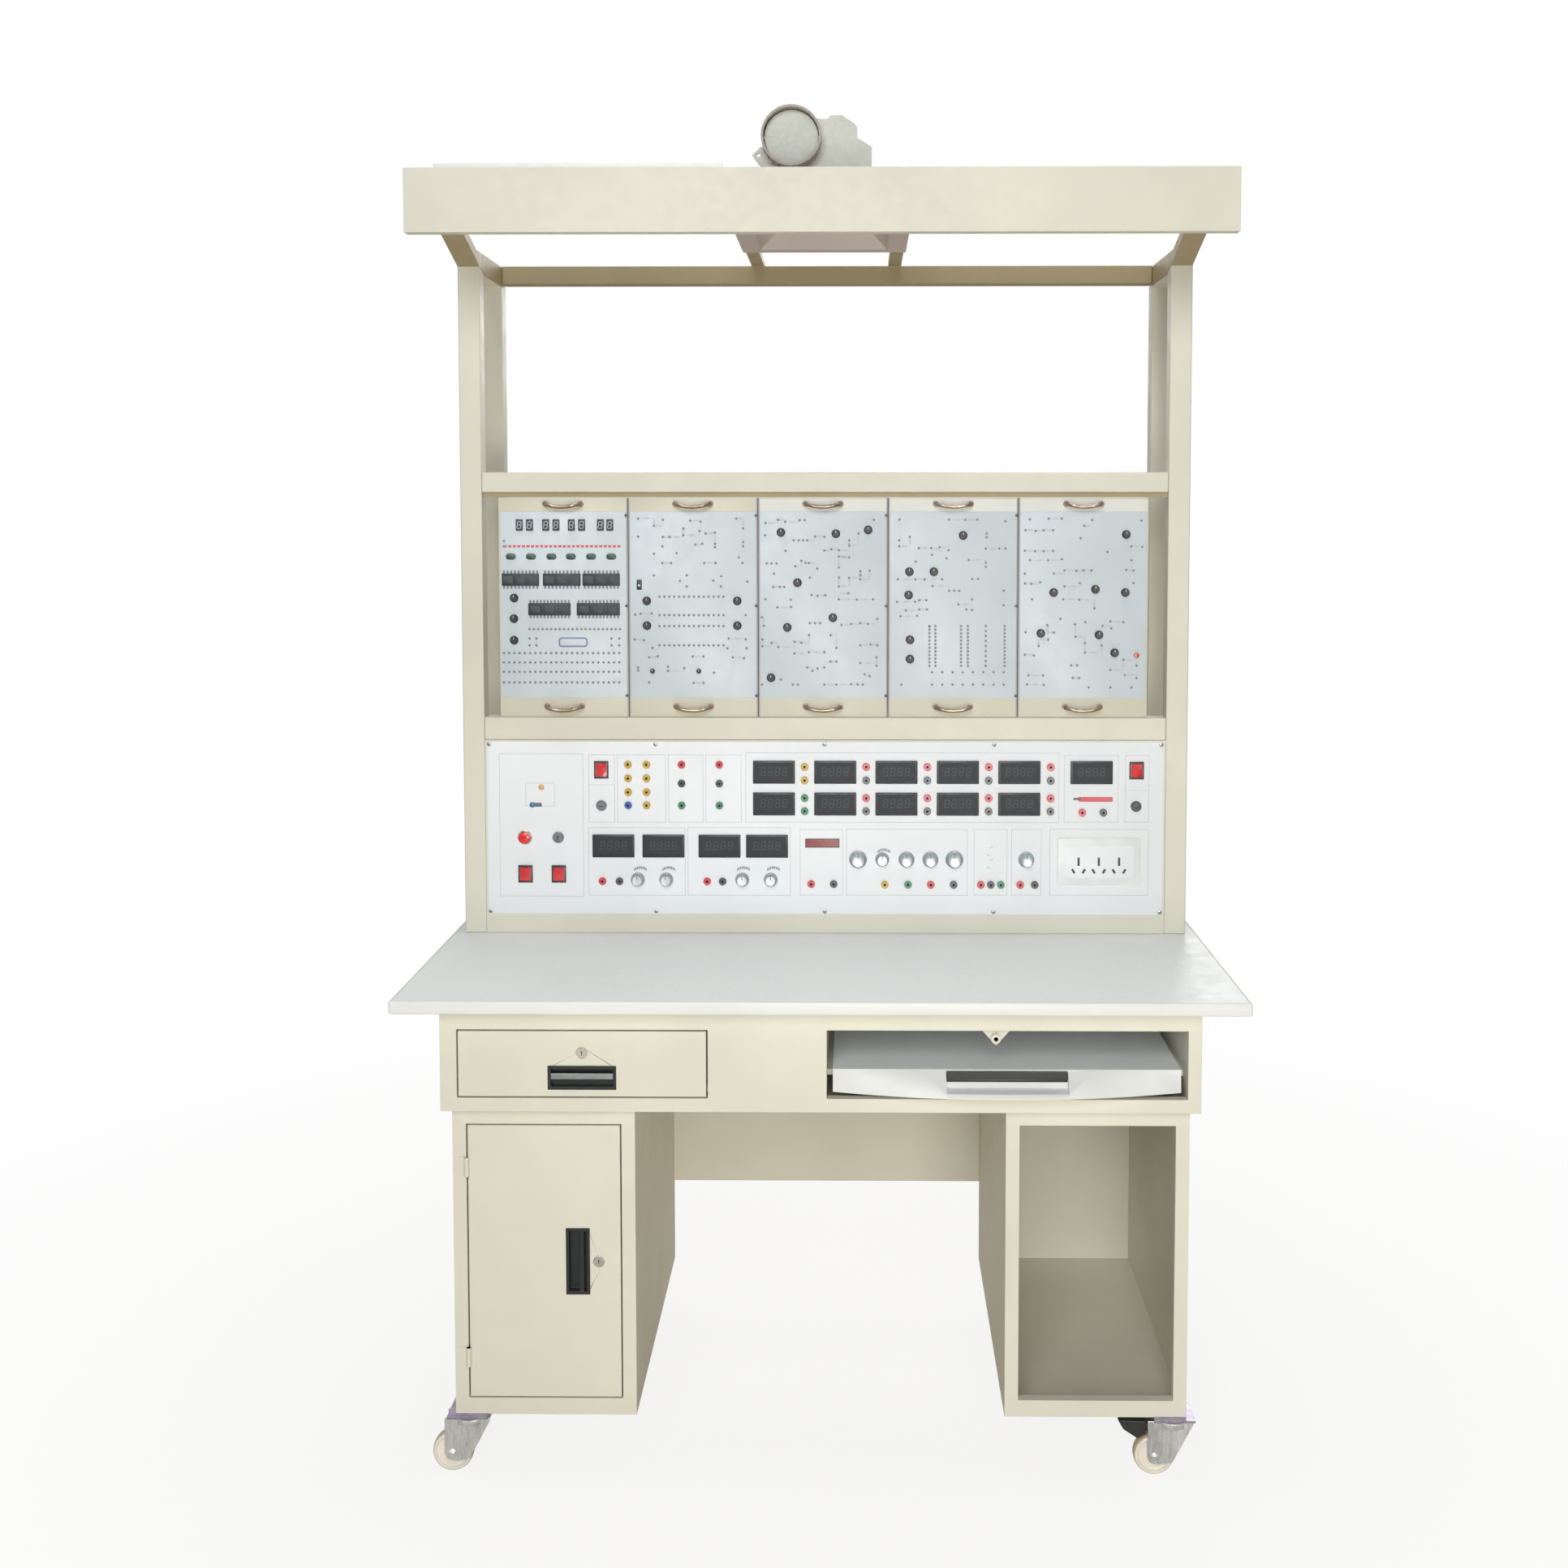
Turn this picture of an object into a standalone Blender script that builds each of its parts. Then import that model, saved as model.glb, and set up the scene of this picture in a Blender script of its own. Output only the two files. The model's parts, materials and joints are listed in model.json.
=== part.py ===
"""Electronics trainer bench: a desk on castors with an instrument panel, five plug-in
circuit modules, a canopy board with a lamp, and a fume extractor.

Frame: X to the right, Y to the back, Z up, the floor at Z = 0, the worktop centred on X and Y.
All lengths are in metres.
"""
import math

import bmesh
import bpy
from mathutils import Matrix, Vector

# Clearances
SEAT_GAP = 0.0003
RUNNING_GAP = 0.001
CUT_OVERRUN = 0.004
WELD_DEPTH = 0.004
MERGE_DISTANCE = 0.00001

# Worktop
WORKTOP_WIDTH = 1.400
WORKTOP_DEPTH = 0.700
WORKTOP_THICKNESS = 0.022
WORKTOP_EDGE_RADIUS = 0.004

# Sheet metal
SHEET = 0.002
FRONT_FOLD = 0.018

# Castors
CASTOR_HEIGHT = 0.105
CASTOR_INSET = 0.021
CASTOR_PLATE_SIZE = 0.068
CASTOR_PLATE_THICKNESS = 0.003
RACEWAY_RADIUS = 0.027
RACEWAY_HEIGHT = 0.0065
CROWN_RADIUS = 0.025
CROWN_HEIGHT = 0.011
WHEEL_RADIUS = 0.034
WHEEL_WIDTH = 0.024
WHEEL_HUB_RADIUS = 0.013
WHEEL_RIM_DEPTH = 0.004
WHEEL_EDGE = 0.004
CASTOR_TRAIL = 0.030
AXLE_RADIUS = 0.004
CHEEK_THICKNESS = 0.003
CHEEK_FOOT_RADIUS = 0.013
CHEEK_LEAD = 0.034
CHEEK_REAR = 0.012
CHEEK_TOE = 0.030
PEDAL_LENGTH = 0.046
PEDAL_WIDTH = 0.030
PEDAL_TONGUE_HEIGHT = 0.012
PEDAL_STEP = 0.0035
PEDAL_PIVOT_INSET = 0.004
PEDAL_TONGUE_LAP = 0.008
PEDAL_HEADROOM = 0.006

# Cabinets under the desk
CABINET_WIDTH = 0.303
CABINET_HEIGHT = 0.522
CABINET_DEPTH = 0.608
CABINET_INSET = 0.015
CABINET_SETBACK = 0.018
CABINET_STILE = 0.0225
CABINET_TOP_RAIL = 0.027
CABINET_BOTTOM_RAIL = 0.028
DOOR_GAP = 0.0025
DOOR_SKIN = 0.002

# Door furniture and drawer pull
PULL_LENGTH = 0.113
PULL_HEIGHT = 0.040
PULL_FLANGE = 0.003
PULL_PROUD = 0.0015
PULL_CUP_DEPTH = 0.014
PULL_WALL = 0.002
PULL_BAR_HEIGHT = 0.010
PULL_BAR_DEPTH = 0.004
PULL_BAR_RISE = 0.002
LOCK_FACE_RADIUS = 0.009
LOCK_FACE_HEIGHT = 0.003
LOCK_BARREL_RADIUS = 0.0075
LOCK_CAM_WIDTH = 0.012
LOCK_CAM_THICKNESS = 0.002
DOOR_CAM_LENGTH = 0.044
DRAWER_CAM_LENGTH = 0.040
DOOR_PULL_X_SHARE = 0.719
DOOR_PULL_Z_SHARE = 0.502
DOOR_LOCK_X_SHARE = 0.857
DRAWER_PULL_Z_SHARE = 0.30
DRAWER_LOCK_Z_SHARE = 0.665
HINGE_RADIUS = 0.004
HINGE_LENGTH = 0.032
HINGE_LEAF_WIDTH = 0.012
HINGE_LEAF_THICKNESS = 0.0015
HINGE_UPPER_SHARE = 0.85
HINGE_LOWER_SHARE = 0.15

# Modesty panel
MODESTY_DROP = 0.356
MODESTY_FOLD = 0.018

# Desk frame under the worktop
APRON_WIDTH = 1.250
APRON_HEIGHT = 0.171
APRON_SETBACK = 0.033
DRAWER_WIDTH = 0.413
DRAWER_HEIGHT = 0.114
DRAWER_DEPTH = 0.420
DRAWER_LEFT_STILE = 0.0275
OPENING_BOTTOM_RAIL = 0.023
DRAWER_BOX_DROP = 0.012
DRAWER_BOX_SIDE_SPACE = 0.012
DRAWER_BOX_LIFT = 0.016
RUNNER_LIP = 0.008
RUNNER_HEIGHT = 0.010
TRAY_OPENING_WIDTH = 0.592
TRAY_OPENING_RIGHT_STILE = 0.022

# Keyboard tray
TRAY_SIDE_SPACE = 0.010
TRAY_DEPTH = 0.400
TRAY_THICKNESS = 0.012
TRAY_FACE_HEIGHT = 0.037
TRAY_RISE = 0.010
TRAY_RECESS = 0.010
TRAY_BOW = 0.0425
TRAY_CORNER_LEAN = 0.004
TRAY_FACE_FOOT = 0.036
TRAY_BOW_STEPS = 12
TRAY_GRIP_WIDTH = 0.200
TRAY_GRIP_HEIGHT = 0.029
TRAY_GRIP_DEPTH = 0.0405
TRAY_GRIP_DROP = 0.0015
TRAY_STRIP_HEIGHT = 0.013
TRAY_STRIP_DEPTH = 0.004
CATCH_WIDTH = 0.050
CATCH_DROP = 0.027
CATCH_SHIFT = 0.018
CATCH_THICKNESS = 0.003
CATCH_HOLE_RADIUS = 0.0035

# Upper frame
FRAME_WIDTH = 1.354
FRAME_DEPTH = 0.243
FRAME_HEIGHT = 1.272
FRAME_REAR_SETBACK = 0.001
POST_SIZE = 0.040
RAIL_DEPTH = 0.040
MIDDLE_RAIL_BOTTOM = 0.366
MIDDLE_RAIL_HEIGHT = 0.042
UPPER_RAIL_BOTTOM = 0.828
UPPER_RAIL_HEIGHT = 0.037
CROSSBAR_HEIGHT = 0.035
ARM_THICKNESS = 0.023
ARM_SLOPE = math.radians(17.0)
ARM_ROOT_DROP = 0.0285

# Canopy board and lamp
FASCIA_WIDTH = 1.400
FASCIA_HEIGHT = 0.1076
FASCIA_RETURN = 0.025
FASCIA_REACH = 0.288
FASCIA_ARM_COVER = 0.0135
BATTEN_DEPTH = 0.040
BATTEN_HEIGHT = 0.024
BATTEN_ARM_LAP = 0.022
BATTEN_HOOD_SPACE = 0.015
BATTEN_RISE = 0.012
TUBE_RADIUS = 0.008
HOLDER_INSET = 0.027
HOLDER_WIDTH = 0.012
HOLDER_DEPTH = 0.020
HOLDER_DROP = 0.038
TUBE_DROP = 0.025

# Fume extractor
BAR_WIDTH = 0.025
BAR_THICKNESS = 0.013
HOOD_WIDTH = 0.300
HOOD_DEPTH = 0.265
HOOD_HEIGHT = 0.100
HOOD_DROP = 0.003
HOOD_FRONT_CLEARANCE = 0.007
HOOD_WALL = 0.003
HOOD_FUNNEL_HEIGHT = 0.060
HOOD_THROAT = 0.110
BLOWER_DEPTH = 0.090
BLOWER_WIDTH = 0.186
BLOWER_HEIGHT = 0.1213
BLOWER_LEFT = -0.100
BLOWER_FOOT_HEIGHT = 0.0363
BLOWER_SETBACK = 0.140
DUCT_X = -0.0555
DUCT_RADIUS = 0.053
DUCT_LIFT = 0.0268
DUCT_WALL = 0.004
DUCT_LENGTH = 0.035
DUCT_BORE_DEPTH = 0.080
DAMPER_SETBACK = 0.020
DAMPER_THICKNESS = 0.002
DAMPER_CLEARANCE = 0.0015
SPINDLE_RADIUS = 0.002
LUG_REACH = 0.034
LUG_LIFT = 0.033
LUG_THICKNESS = 0.006
LUG_HEIGHT = 0.034
LUG_HOLE_RADIUS = 0.0035
MOTOR_RADIUS = 0.038
MOTOR_LENGTH = 0.070
MOTOR_NOSE_RADIUS = 0.016
MOTOR_NOSE_LENGTH = 0.008
MOTOR_X = 0.010

# Instrument case and panel
CASE_DEPTH = 0.200
CASE_WINDOW_MARGIN = 0.020
CASE_FOOT = 0.035
PANEL_SIDE_SPACE = 0.004
PANEL_TOP_SPACE = 0.003
PANEL_FOOT = 0.037
PANEL_THICKNESS = 0.002
GLAND_RADIUS = 0.012
GLAND_LENGTH = 0.018
GLAND_X_SHARE = 0.06
GLAND_Z_SHARE = 0.20
METER_SPACE = 0.0106
METER_HEIGHT = 0.043
METER_PROUD = 0.004
METER_BEZEL = 0.004
METER_RECESS = 0.0015
DISPLAY_WIDTH = 0.064
DISPLAY_HEIGHT = 0.0167
JACK_RADIUS = 0.007
JACK_PROUD = 0.005
SCREW_RADIUS = 0.004
SCREW_PROUD = 0.002
SCREW_INSET = 0.005
FUSE_RADIUS = 0.010
FUSE_PROUD = 0.010
SOCKET_PLATE_WIDTH = 0.156
SOCKET_PLATE_HEIGHT = 0.089
SOCKET_PLATE_PROUD = 0.004
KNOB_HEIGHT = 0.016
KNOB_CROWN_SHARE = 0.82
KNOB_SKIRT_SHARE = 0.30
KNOB_EDGE = 0.0015
KNOB_POINTER_WIDTH = 0.002
KNOB_POINTER_DEPTH = 0.0008
KNOB_POINTER_SHARE = 0.33
ROCKER_FRAME_WIDTH = 0.0268
ROCKER_FRAME_HEIGHT = 0.0327
ROCKER_FRAME_PROUD = 0.003
ROCKER_WIDTH = 0.020
ROCKER_HEIGHT = 0.025
ROCKER_DEPTH = 0.008
ROCKER_CLEARANCE = 0.0008
ROCKER_TILT = math.radians(7.0)
BUTTON_RADIUS = 0.0106
BUTTON_PROUD = 0.012
BUTTON_COLLAR_RADIUS = 0.0135
BUTTON_COLLAR_PROUD = 0.003
KEY_RADIUS = 0.0106
KEY_PROUD = 0.006
KEY_SLOT_WIDTH = 0.002
KEY_SLOT_LENGTH = 0.010
KEY_SLOT_DEPTH = 0.003

# Plug-in circuit modules
MODULE_COUNT = 5
MODULE_SIDE_SPACE = 0.032
MODULE_GAP = 0.001
MODULE_TOP_SPACE = 0.010
MODULE_DEPTH = 0.060
MODULE_SHELL = 0.003
MODULE_SETBACK = 0.006
MODULE_ROW_OFFSET = -0.003
MODULE_STRIP = 0.026
MODULE_FOOT_STRIP = 0.036
BOARD_PROUD = 0.0015
BOARD_SIDE_MARGIN = 0.001
HANDLE_SPAN = 0.070
HANDLE_REACH = 0.020
HANDLE_DROP = 0.008
HANDLE_RADIUS = 0.004
HANDLE_LEVEL_SHARE = 0.45
TRIMMER_RADIUS = 0.008
TRIMMER_PROUD = 0.008

# Levels and planes worked out from the sizes above
CABINET_BOTTOM = CASTOR_HEIGHT
APRON_BOTTOM = CABINET_BOTTOM + CABINET_HEIGHT
APRON_TOP = APRON_BOTTOM + APRON_HEIGHT
WORKTOP_TOP = APRON_TOP + WORKTOP_THICKNESS
WORKTOP_FRONT = -WORKTOP_DEPTH / 2
WORKTOP_REAR = WORKTOP_DEPTH / 2
APRON_FRONT = WORKTOP_FRONT + APRON_SETBACK
CABINET_FRONT = APRON_FRONT + CABINET_SETBACK
CABINET_REAR = CABINET_FRONT + CABINET_DEPTH
CABINET_OUTER = APRON_WIDTH / 2 - CABINET_INSET
CABINET_INNER = CABINET_OUTER - CABINET_WIDTH
FRAME_REAR = WORKTOP_REAR - FRAME_REAR_SETBACK
FRAME_FRONT = FRAME_REAR - FRAME_DEPTH
FRAME_TOP = WORKTOP_TOP + FRAME_HEIGHT
POST_INNER = FRAME_WIDTH / 2 - POST_SIZE
MIDDLE_RAIL_TOP = WORKTOP_TOP + MIDDLE_RAIL_BOTTOM + MIDDLE_RAIL_HEIGHT
ARM_ROOT = FRAME_TOP - ARM_ROOT_DROP
FASCIA_FRONT = FRAME_FRONT - FASCIA_REACH
ARM_END = FASCIA_FRONT + SHEET + SEAT_GAP
ARM_END_LOW = ARM_ROOT + (FRAME_FRONT - ARM_END) * math.tan(ARM_SLOPE)
ARM_END_HIGH = ARM_END_LOW + ARM_THICKNESS
FASCIA_TOP = ARM_END_HIGH + FASCIA_ARM_COVER
BAR_TOP = FRAME_TOP + BAR_THICKNESS
BATTEN_RIGHT_END = -HOOD_WIDTH / 2 - BATTEN_HOOD_SPACE
BATTEN_LENGTH = BATTEN_RIGHT_END + FRAME_WIDTH / 2 - BATTEN_ARM_LAP
BAR_SPACING = HOOD_WIDTH - (HOOD_WALL + SEAT_GAP) * 2 - BAR_WIDTH
HOOD_LIP = BAR_WIDTH + HOOD_WALL * 2
HOOD_BASE = FRAME_TOP - HOOD_DROP
HOOD_TOP = HOOD_BASE + HOOD_HEIGHT
HOOD_FRONT = FASCIA_FRONT + FASCIA_RETURN + HOOD_FRONT_CLEARANCE
BLOWER_BASE = HOOD_TOP + SEAT_GAP
BLOWER_FRONT = HOOD_FRONT + BLOWER_SETBACK
DUCT_Z = BLOWER_BASE + DUCT_RADIUS + DUCT_LIFT
PANEL_WIDTH = (POST_INNER - PANEL_SIDE_SPACE) * 2
PANEL_HEIGHT = MIDDLE_RAIL_BOTTOM - PANEL_FOOT - PANEL_TOP_SPACE
PANEL_LEFT = -PANEL_WIDTH / 2
PANEL_BOTTOM = WORKTOP_TOP + PANEL_FOOT
PANEL_BACK = FRAME_FRONT - SEAT_GAP
PANEL_FACE = PANEL_BACK - PANEL_THICKNESS
MODULE_PITCH = (POST_INNER - MODULE_SIDE_SPACE) * 2 / MODULE_COUNT
MODULE_WIDTH = MODULE_PITCH - MODULE_GAP
MODULE_HEIGHT = UPPER_RAIL_BOTTOM - MIDDLE_RAIL_BOTTOM - MIDDLE_RAIL_HEIGHT - MODULE_TOP_SPACE
MODULE_FACE = FRAME_FRONT + MODULE_SETBACK
MODULE_BOTTOM = MIDDLE_RAIL_TOP + SEAT_GAP
DRAWER_LEFT = -APRON_WIDTH / 2 + DRAWER_LEFT_STILE
DRAWER_RIGHT = DRAWER_LEFT + DRAWER_WIDTH
OPENING_BOTTOM = APRON_BOTTOM + OPENING_BOTTOM_RAIL
OPENING_TOP = OPENING_BOTTOM + DRAWER_HEIGHT
TRAY_OPENING_RIGHT = APRON_WIDTH / 2 - TRAY_OPENING_RIGHT_STILE
TRAY_OPENING_LEFT = TRAY_OPENING_RIGHT - TRAY_OPENING_WIDTH
TRAY_CENTRE = (TRAY_OPENING_LEFT + TRAY_OPENING_RIGHT) / 2
TRAY_WIDTH = TRAY_OPENING_WIDTH - TRAY_SIDE_SPACE * 2
TRAY_TOP = OPENING_BOTTOM + TRAY_RISE + TRAY_FACE_HEIGHT

# Places on the instrument panel, as shares of its width and height from its lower left corner
METER_SHARES = (
    (0.4252, 0.8248), (0.5157, 0.8248), (0.6061, 0.8248), (0.6967, 0.8248), (0.7873, 0.8248),
    (0.4252, 0.6414), (0.5157, 0.6414), (0.6061, 0.6414), (0.6967, 0.6414), (0.7873, 0.6414),
    (0.8937, 0.8248), (0.1870, 0.3957), (0.2612, 0.3957), (0.3443, 0.3957), (0.4147, 0.3957),
)
METER_WIDTH = (METER_SHARES[-1][0] - METER_SHARES[-2][0]) * PANEL_WIDTH - METER_SPACE
DISPLAY_PLACE_SHARES = (0.4966, 0.4135)
JACK_SHARES = (
    (0.2094, 0.868), (0.2094, 0.788), (0.2094, 0.708), (0.2094, 0.632),
    (0.2367, 0.868), (0.2367, 0.788), (0.2367, 0.708), (0.2367, 0.632),
    (0.2886, 0.868), (0.2886, 0.759), (0.2886, 0.632), (0.3444, 0.868), (0.3444, 0.759), (0.3444, 0.632),
    (0.4705, 0.856), (0.4705, 0.778), (0.4705, 0.676), (0.4705, 0.600),
    (0.5614, 0.856), (0.5614, 0.778), (0.5614, 0.676), (0.5614, 0.600),
    (0.6517, 0.856), (0.6517, 0.778), (0.6517, 0.676), (0.6517, 0.600),
    (0.7421, 0.856), (0.7421, 0.778), (0.7421, 0.676), (0.7421, 0.600),
    (0.8334, 0.856), (0.8334, 0.778), (0.8334, 0.676), (0.8334, 0.600),
    (0.8802, 0.594), (0.9114, 0.594),
    (0.1704, 0.191), (0.1957, 0.191), (0.3259, 0.191), (0.3488, 0.191), (0.4801, 0.177), (0.5134, 0.177),
    (0.5891, 0.1745), (0.6235, 0.1745), (0.6572, 0.1745), (0.6910, 0.1745), (0.7312, 0.1745),
    (0.7460, 0.1745), (0.7608, 0.1745), (0.7894, 0.1745), (0.8110, 0.1745),
)
FUSE_SHARES = ((0.1696, 0.6298), (0.9597, 0.6298))
SOCKET_SHARES = (0.9051, 0.3113)
ROCKER_SHARES = {
    "power_rocker_left": (0.0560, 0.2322), "power_rocker_right": (0.1055, 0.2322),
    "supply_rocker_left": (0.1698, 0.8368), "supply_rocker_right": (0.9600, 0.8368),
}
BUTTON_SHARES = (0.0557, 0.4451)
KEY_SHARES = (0.1051, 0.4451)
KNOB_SHARES = (
    (0.2229, 0.2009), (0.2651, 0.2009), (0.3779, 0.2009), (0.4201, 0.2009), (0.5494, 0.3202),
    (0.5853, 0.3202), (0.6212, 0.3202), (0.6565, 0.3202), (0.6920, 0.3202), (0.7983, 0.3202),
)
SMALL_KNOB_RADIUS = 0.0129
MEDIUM_KNOB_RADIUS = 0.0148
LARGE_KNOB_RADIUS = 0.0165
KNOB_RADII = (
    SMALL_KNOB_RADIUS, SMALL_KNOB_RADIUS, SMALL_KNOB_RADIUS, SMALL_KNOB_RADIUS, LARGE_KNOB_RADIUS,
    SMALL_KNOB_RADIUS, MEDIUM_KNOB_RADIUS, MEDIUM_KNOB_RADIUS, LARGE_KNOB_RADIUS, MEDIUM_KNOB_RADIUS,
)

# Trimmer knobs on each module, as shares of the board's width and height from its lower left corner
TRIMMER_SHARES = (
    ((0.107, 0.537), (0.104, 0.426), (0.104, 0.310)),
    ((0.132, 0.522), (0.849, 0.522), (0.132, 0.389), (0.849, 0.389)),
    ((0.168, 0.889), (0.602, 0.882), (0.857, 0.902), (0.298, 0.620), (0.217, 0.380), (0.578, 0.432),
     (0.087, 0.109)),
    ((0.578, 0.873), (0.155, 0.679), (0.348, 0.679), (0.149, 0.554), (0.161, 0.314), (0.161, 0.210)),
    ((0.835, 0.878), (0.267, 0.568), (0.596, 0.585), (0.832, 0.568), (0.168, 0.349), (0.627, 0.341),
     (0.752, 0.245)),
)

# Outlines, as shares of the named sizes of the pieces that they belong to
BLOWER_OUTLINE_SHARES = (
    (0.24, 0.0), (1.0, 0.0), (1.0, 0.546), (0.900, 0.640), (0.862, 0.672), (0.862, 0.830),
    (0.836, 0.880), (0.717, 1.0), (0.612, 1.0), (0.575, 0.945), (0.478, 0.955), (0.24, 0.955),
)
PEDAL_OUTLINE_SHARES = ((0.0, 0.95), (1.0, 1.0), (0.80, 0.50), (0.30, 0.02), (0.0, 0.25))
LUG_OUTLINE_SHARES = ((1.0, 0.0), (0.42, 0.0), (0.0, 0.58), (0.42, 1.0), (1.0, 1.0))
CHEEK_CORNER_SHARE = 0.7
LUG_HOLE_ACROSS_SHARE = 0.33
LUG_HOLE_UP_SHARE = 0.58
ROCKER_VALLEY_SHARE = 0.55
HANDLE_PATH_SHARES = (
    (-1.0, -0.2, 0.0), (-0.97, 0.55, 0.05), (-0.72, 0.95, 0.45), (-0.3, 1.0, 0.95),
    (0.3, 1.0, 0.95), (0.72, 0.95, 0.45), (0.97, 0.55, 0.05), (1.0, -0.2, 0.0),
)
WHEEL_SEGMENTS = 28
KNOB_SEGMENTS = 16
PIN_SEGMENTS = 12
JACK_SEGMENTS = 8
DUCT_SEGMENTS = 28


def clear_scene():
    """Remove the objects that a new file starts with."""
    for obj in list(bpy.data.objects):
        bpy.data.objects.remove(obj, do_unlink=True)


def new_collection(name):
    collection = bpy.data.collections.new(name)
    bpy.context.scene.collection.children.link(collection)
    return collection


def make_material(name, colour, roughness, metallic=0.0):
    """Plain Principled material of one colour."""
    material = bpy.data.materials.new(name)
    material.use_nodes = True
    shader = material.node_tree.nodes["Principled BSDF"]
    shader.inputs["Base Color"].default_value = (*colour, 1.0)
    shader.inputs["Roughness"].default_value = roughness
    shader.inputs["Metallic"].default_value = metallic
    return material


def add_object(name, mesh):
    obj = bpy.data.objects.new(name, mesh)
    bpy.context.scene.collection.objects.link(obj)
    return obj


def mesh_from(bm, name):
    bmesh.ops.recalc_face_normals(bm, faces=bm.faces)
    mesh = bpy.data.meshes.new(name)
    bm.to_mesh(mesh)
    bm.free()
    return mesh


def block(name, low, high):
    """Box between two corners."""
    low = Vector(low)
    high = Vector(high)
    bm = bmesh.new()
    bmesh.ops.create_cube(bm, size=1.0)
    bmesh.ops.scale(bm, vec=high - low, verts=bm.verts)
    bmesh.ops.translate(bm, vec=(low + high) / 2, verts=bm.verts)
    return add_object(name, mesh_from(bm, name))


AXIS_TURNS = {
    "X": Matrix.Rotation(math.pi / 2, 4, "Y"),
    "Y": Matrix.Rotation(-math.pi / 2, 4, "X"),
    "Z": Matrix.Identity(4),
}


def rod(name, radius, start, length, axis="Y", segments=PIN_SEGMENTS):
    """Cylinder from a start point along a positive axis."""
    bm = bmesh.new()
    bmesh.ops.create_cone(
        bm, cap_ends=True, segments=segments, radius1=radius, radius2=radius, depth=length)
    bmesh.ops.translate(bm, vec=(0, 0, length / 2), verts=bm.verts)
    bmesh.ops.transform(bm, matrix=Matrix.Translation(start) @ AXIS_TURNS[axis], verts=bm.verts)
    return add_object(name, mesh_from(bm, name))


def turned(name, profile, centre, axis="Y", segments=KNOB_SEGMENTS):
    """Closed profile of (radius, height) points screwed once round, along a positive axis."""
    mesh = bpy.data.meshes.new(name)
    points = [(radius, 0.0, height) for radius, height in profile]
    edges = [(i, (i + 1) % len(points)) for i in range(len(points))]
    if profile[0][0] == 0 and profile[-1][0] == 0:
        edges = edges[:-1]
    mesh.from_pydata(points, edges, [])
    obj = add_object(name, mesh)
    screw = obj.modifiers.new("Screw", "SCREW")
    screw.steps = segments
    screw.render_steps = segments
    screw.use_merge_vertices = True
    screw.merge_threshold = MERGE_DISTANCE
    apply_modifiers(obj)
    bm = bmesh.new()
    bm.from_mesh(obj.data)
    bmesh.ops.remove_doubles(bm, verts=bm.verts, dist=MERGE_DISTANCE)
    bmesh.ops.transform(bm, matrix=Matrix.Translation(centre) @ AXIS_TURNS[axis], verts=bm.verts)
    bmesh.ops.recalc_face_normals(bm, faces=bm.faces)
    bm.to_mesh(obj.data)
    bm.free()
    return obj


def slab(name, outline, low, high, axis):
    """Flat outline extruded from low to high along X or Y; the outline holds (Y, Z) or (X, Z) points."""
    curve = bpy.data.curves.new(name, "CURVE")
    curve.dimensions = "2D"
    curve.fill_mode = "BOTH"
    curve.extrude = (high - low) / 2
    spline = curve.splines.new("POLY")
    spline.points.add(len(outline) - 1)
    for point, (across, up) in zip(spline.points, outline):
        point.co = (across, up, 0.0, 1.0)
    spline.use_cyclic_u = True
    if axis == "X":
        turn = Matrix(((0, 0, 1, 0), (1, 0, 0, 0), (0, 1, 0, 0), (0, 0, 0, 1)))
        shift = Matrix.Translation(((low + high) / 2, 0, 0))
    else:
        turn = Matrix(((1, 0, 0, 0), (0, 0, -1, 0), (0, 1, 0, 0), (0, 0, 0, 1)))
        shift = Matrix.Translation((0, (low + high) / 2, 0))
    return mesh_from_curve(name, curve, shift @ turn)


def mesh_from_curve(name, curve, matrix):
    """Turn a curve into a welded, closed mesh object placed by a matrix."""
    guide = add_object(name + "_guide", curve)
    graph = bpy.context.evaluated_depsgraph_get()
    mesh = bpy.data.meshes.new_from_object(guide.evaluated_get(graph))
    bpy.data.objects.remove(guide, do_unlink=True)
    bm = bmesh.new()
    bm.from_mesh(mesh)
    bmesh.ops.remove_doubles(bm, verts=bm.verts, dist=MERGE_DISTANCE)
    bmesh.ops.transform(bm, matrix=matrix, verts=bm.verts)
    bmesh.ops.recalc_face_normals(bm, faces=bm.faces)
    bm.to_mesh(mesh)
    bm.free()
    return add_object(name, mesh)


def bent_wire(name, points, radius):
    """Round bar through a few points, with filled ends."""
    curve = bpy.data.curves.new(name, "CURVE")
    curve.dimensions = "3D"
    curve.bevel_depth = radius
    curve.bevel_resolution = 1
    curve.use_fill_caps = True
    spline = curve.splines.new("POLY")
    spline.points.add(len(points) - 1)
    for point, place in zip(spline.points, points):
        point.co = (*place, 1.0)
    return mesh_from_curve(name, curve, Matrix.Identity(4))


def apply_modifiers(obj):
    """Replace an object's mesh by its evaluated one."""
    graph = bpy.context.evaluated_depsgraph_get()
    mesh = bpy.data.meshes.new_from_object(obj.evaluated_get(graph))
    obj.modifiers.clear()
    obj.data = mesh


def gather(shapes):
    """Join separate shapes that don't touch into one object."""
    bm = bmesh.new()
    for shape in shapes:
        bm.from_mesh(shape.data)
    mesh = bpy.data.meshes.new("gathered")
    bm.to_mesh(mesh)
    bm.free()
    for shape in shapes:
        bpy.data.objects.remove(shape, do_unlink=True)
    return add_object("gathered", mesh)


def combine(base, shapes, operation):
    tool = gather(shapes) if len(shapes) > 1 else shapes[0]
    boolean = base.modifiers.new(operation.title(), "BOOLEAN")
    boolean.operation = operation
    boolean.solver = "EXACT"
    boolean.object = tool
    apply_modifiers(base)
    bpy.data.objects.remove(tool, do_unlink=True)
    return base


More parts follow.
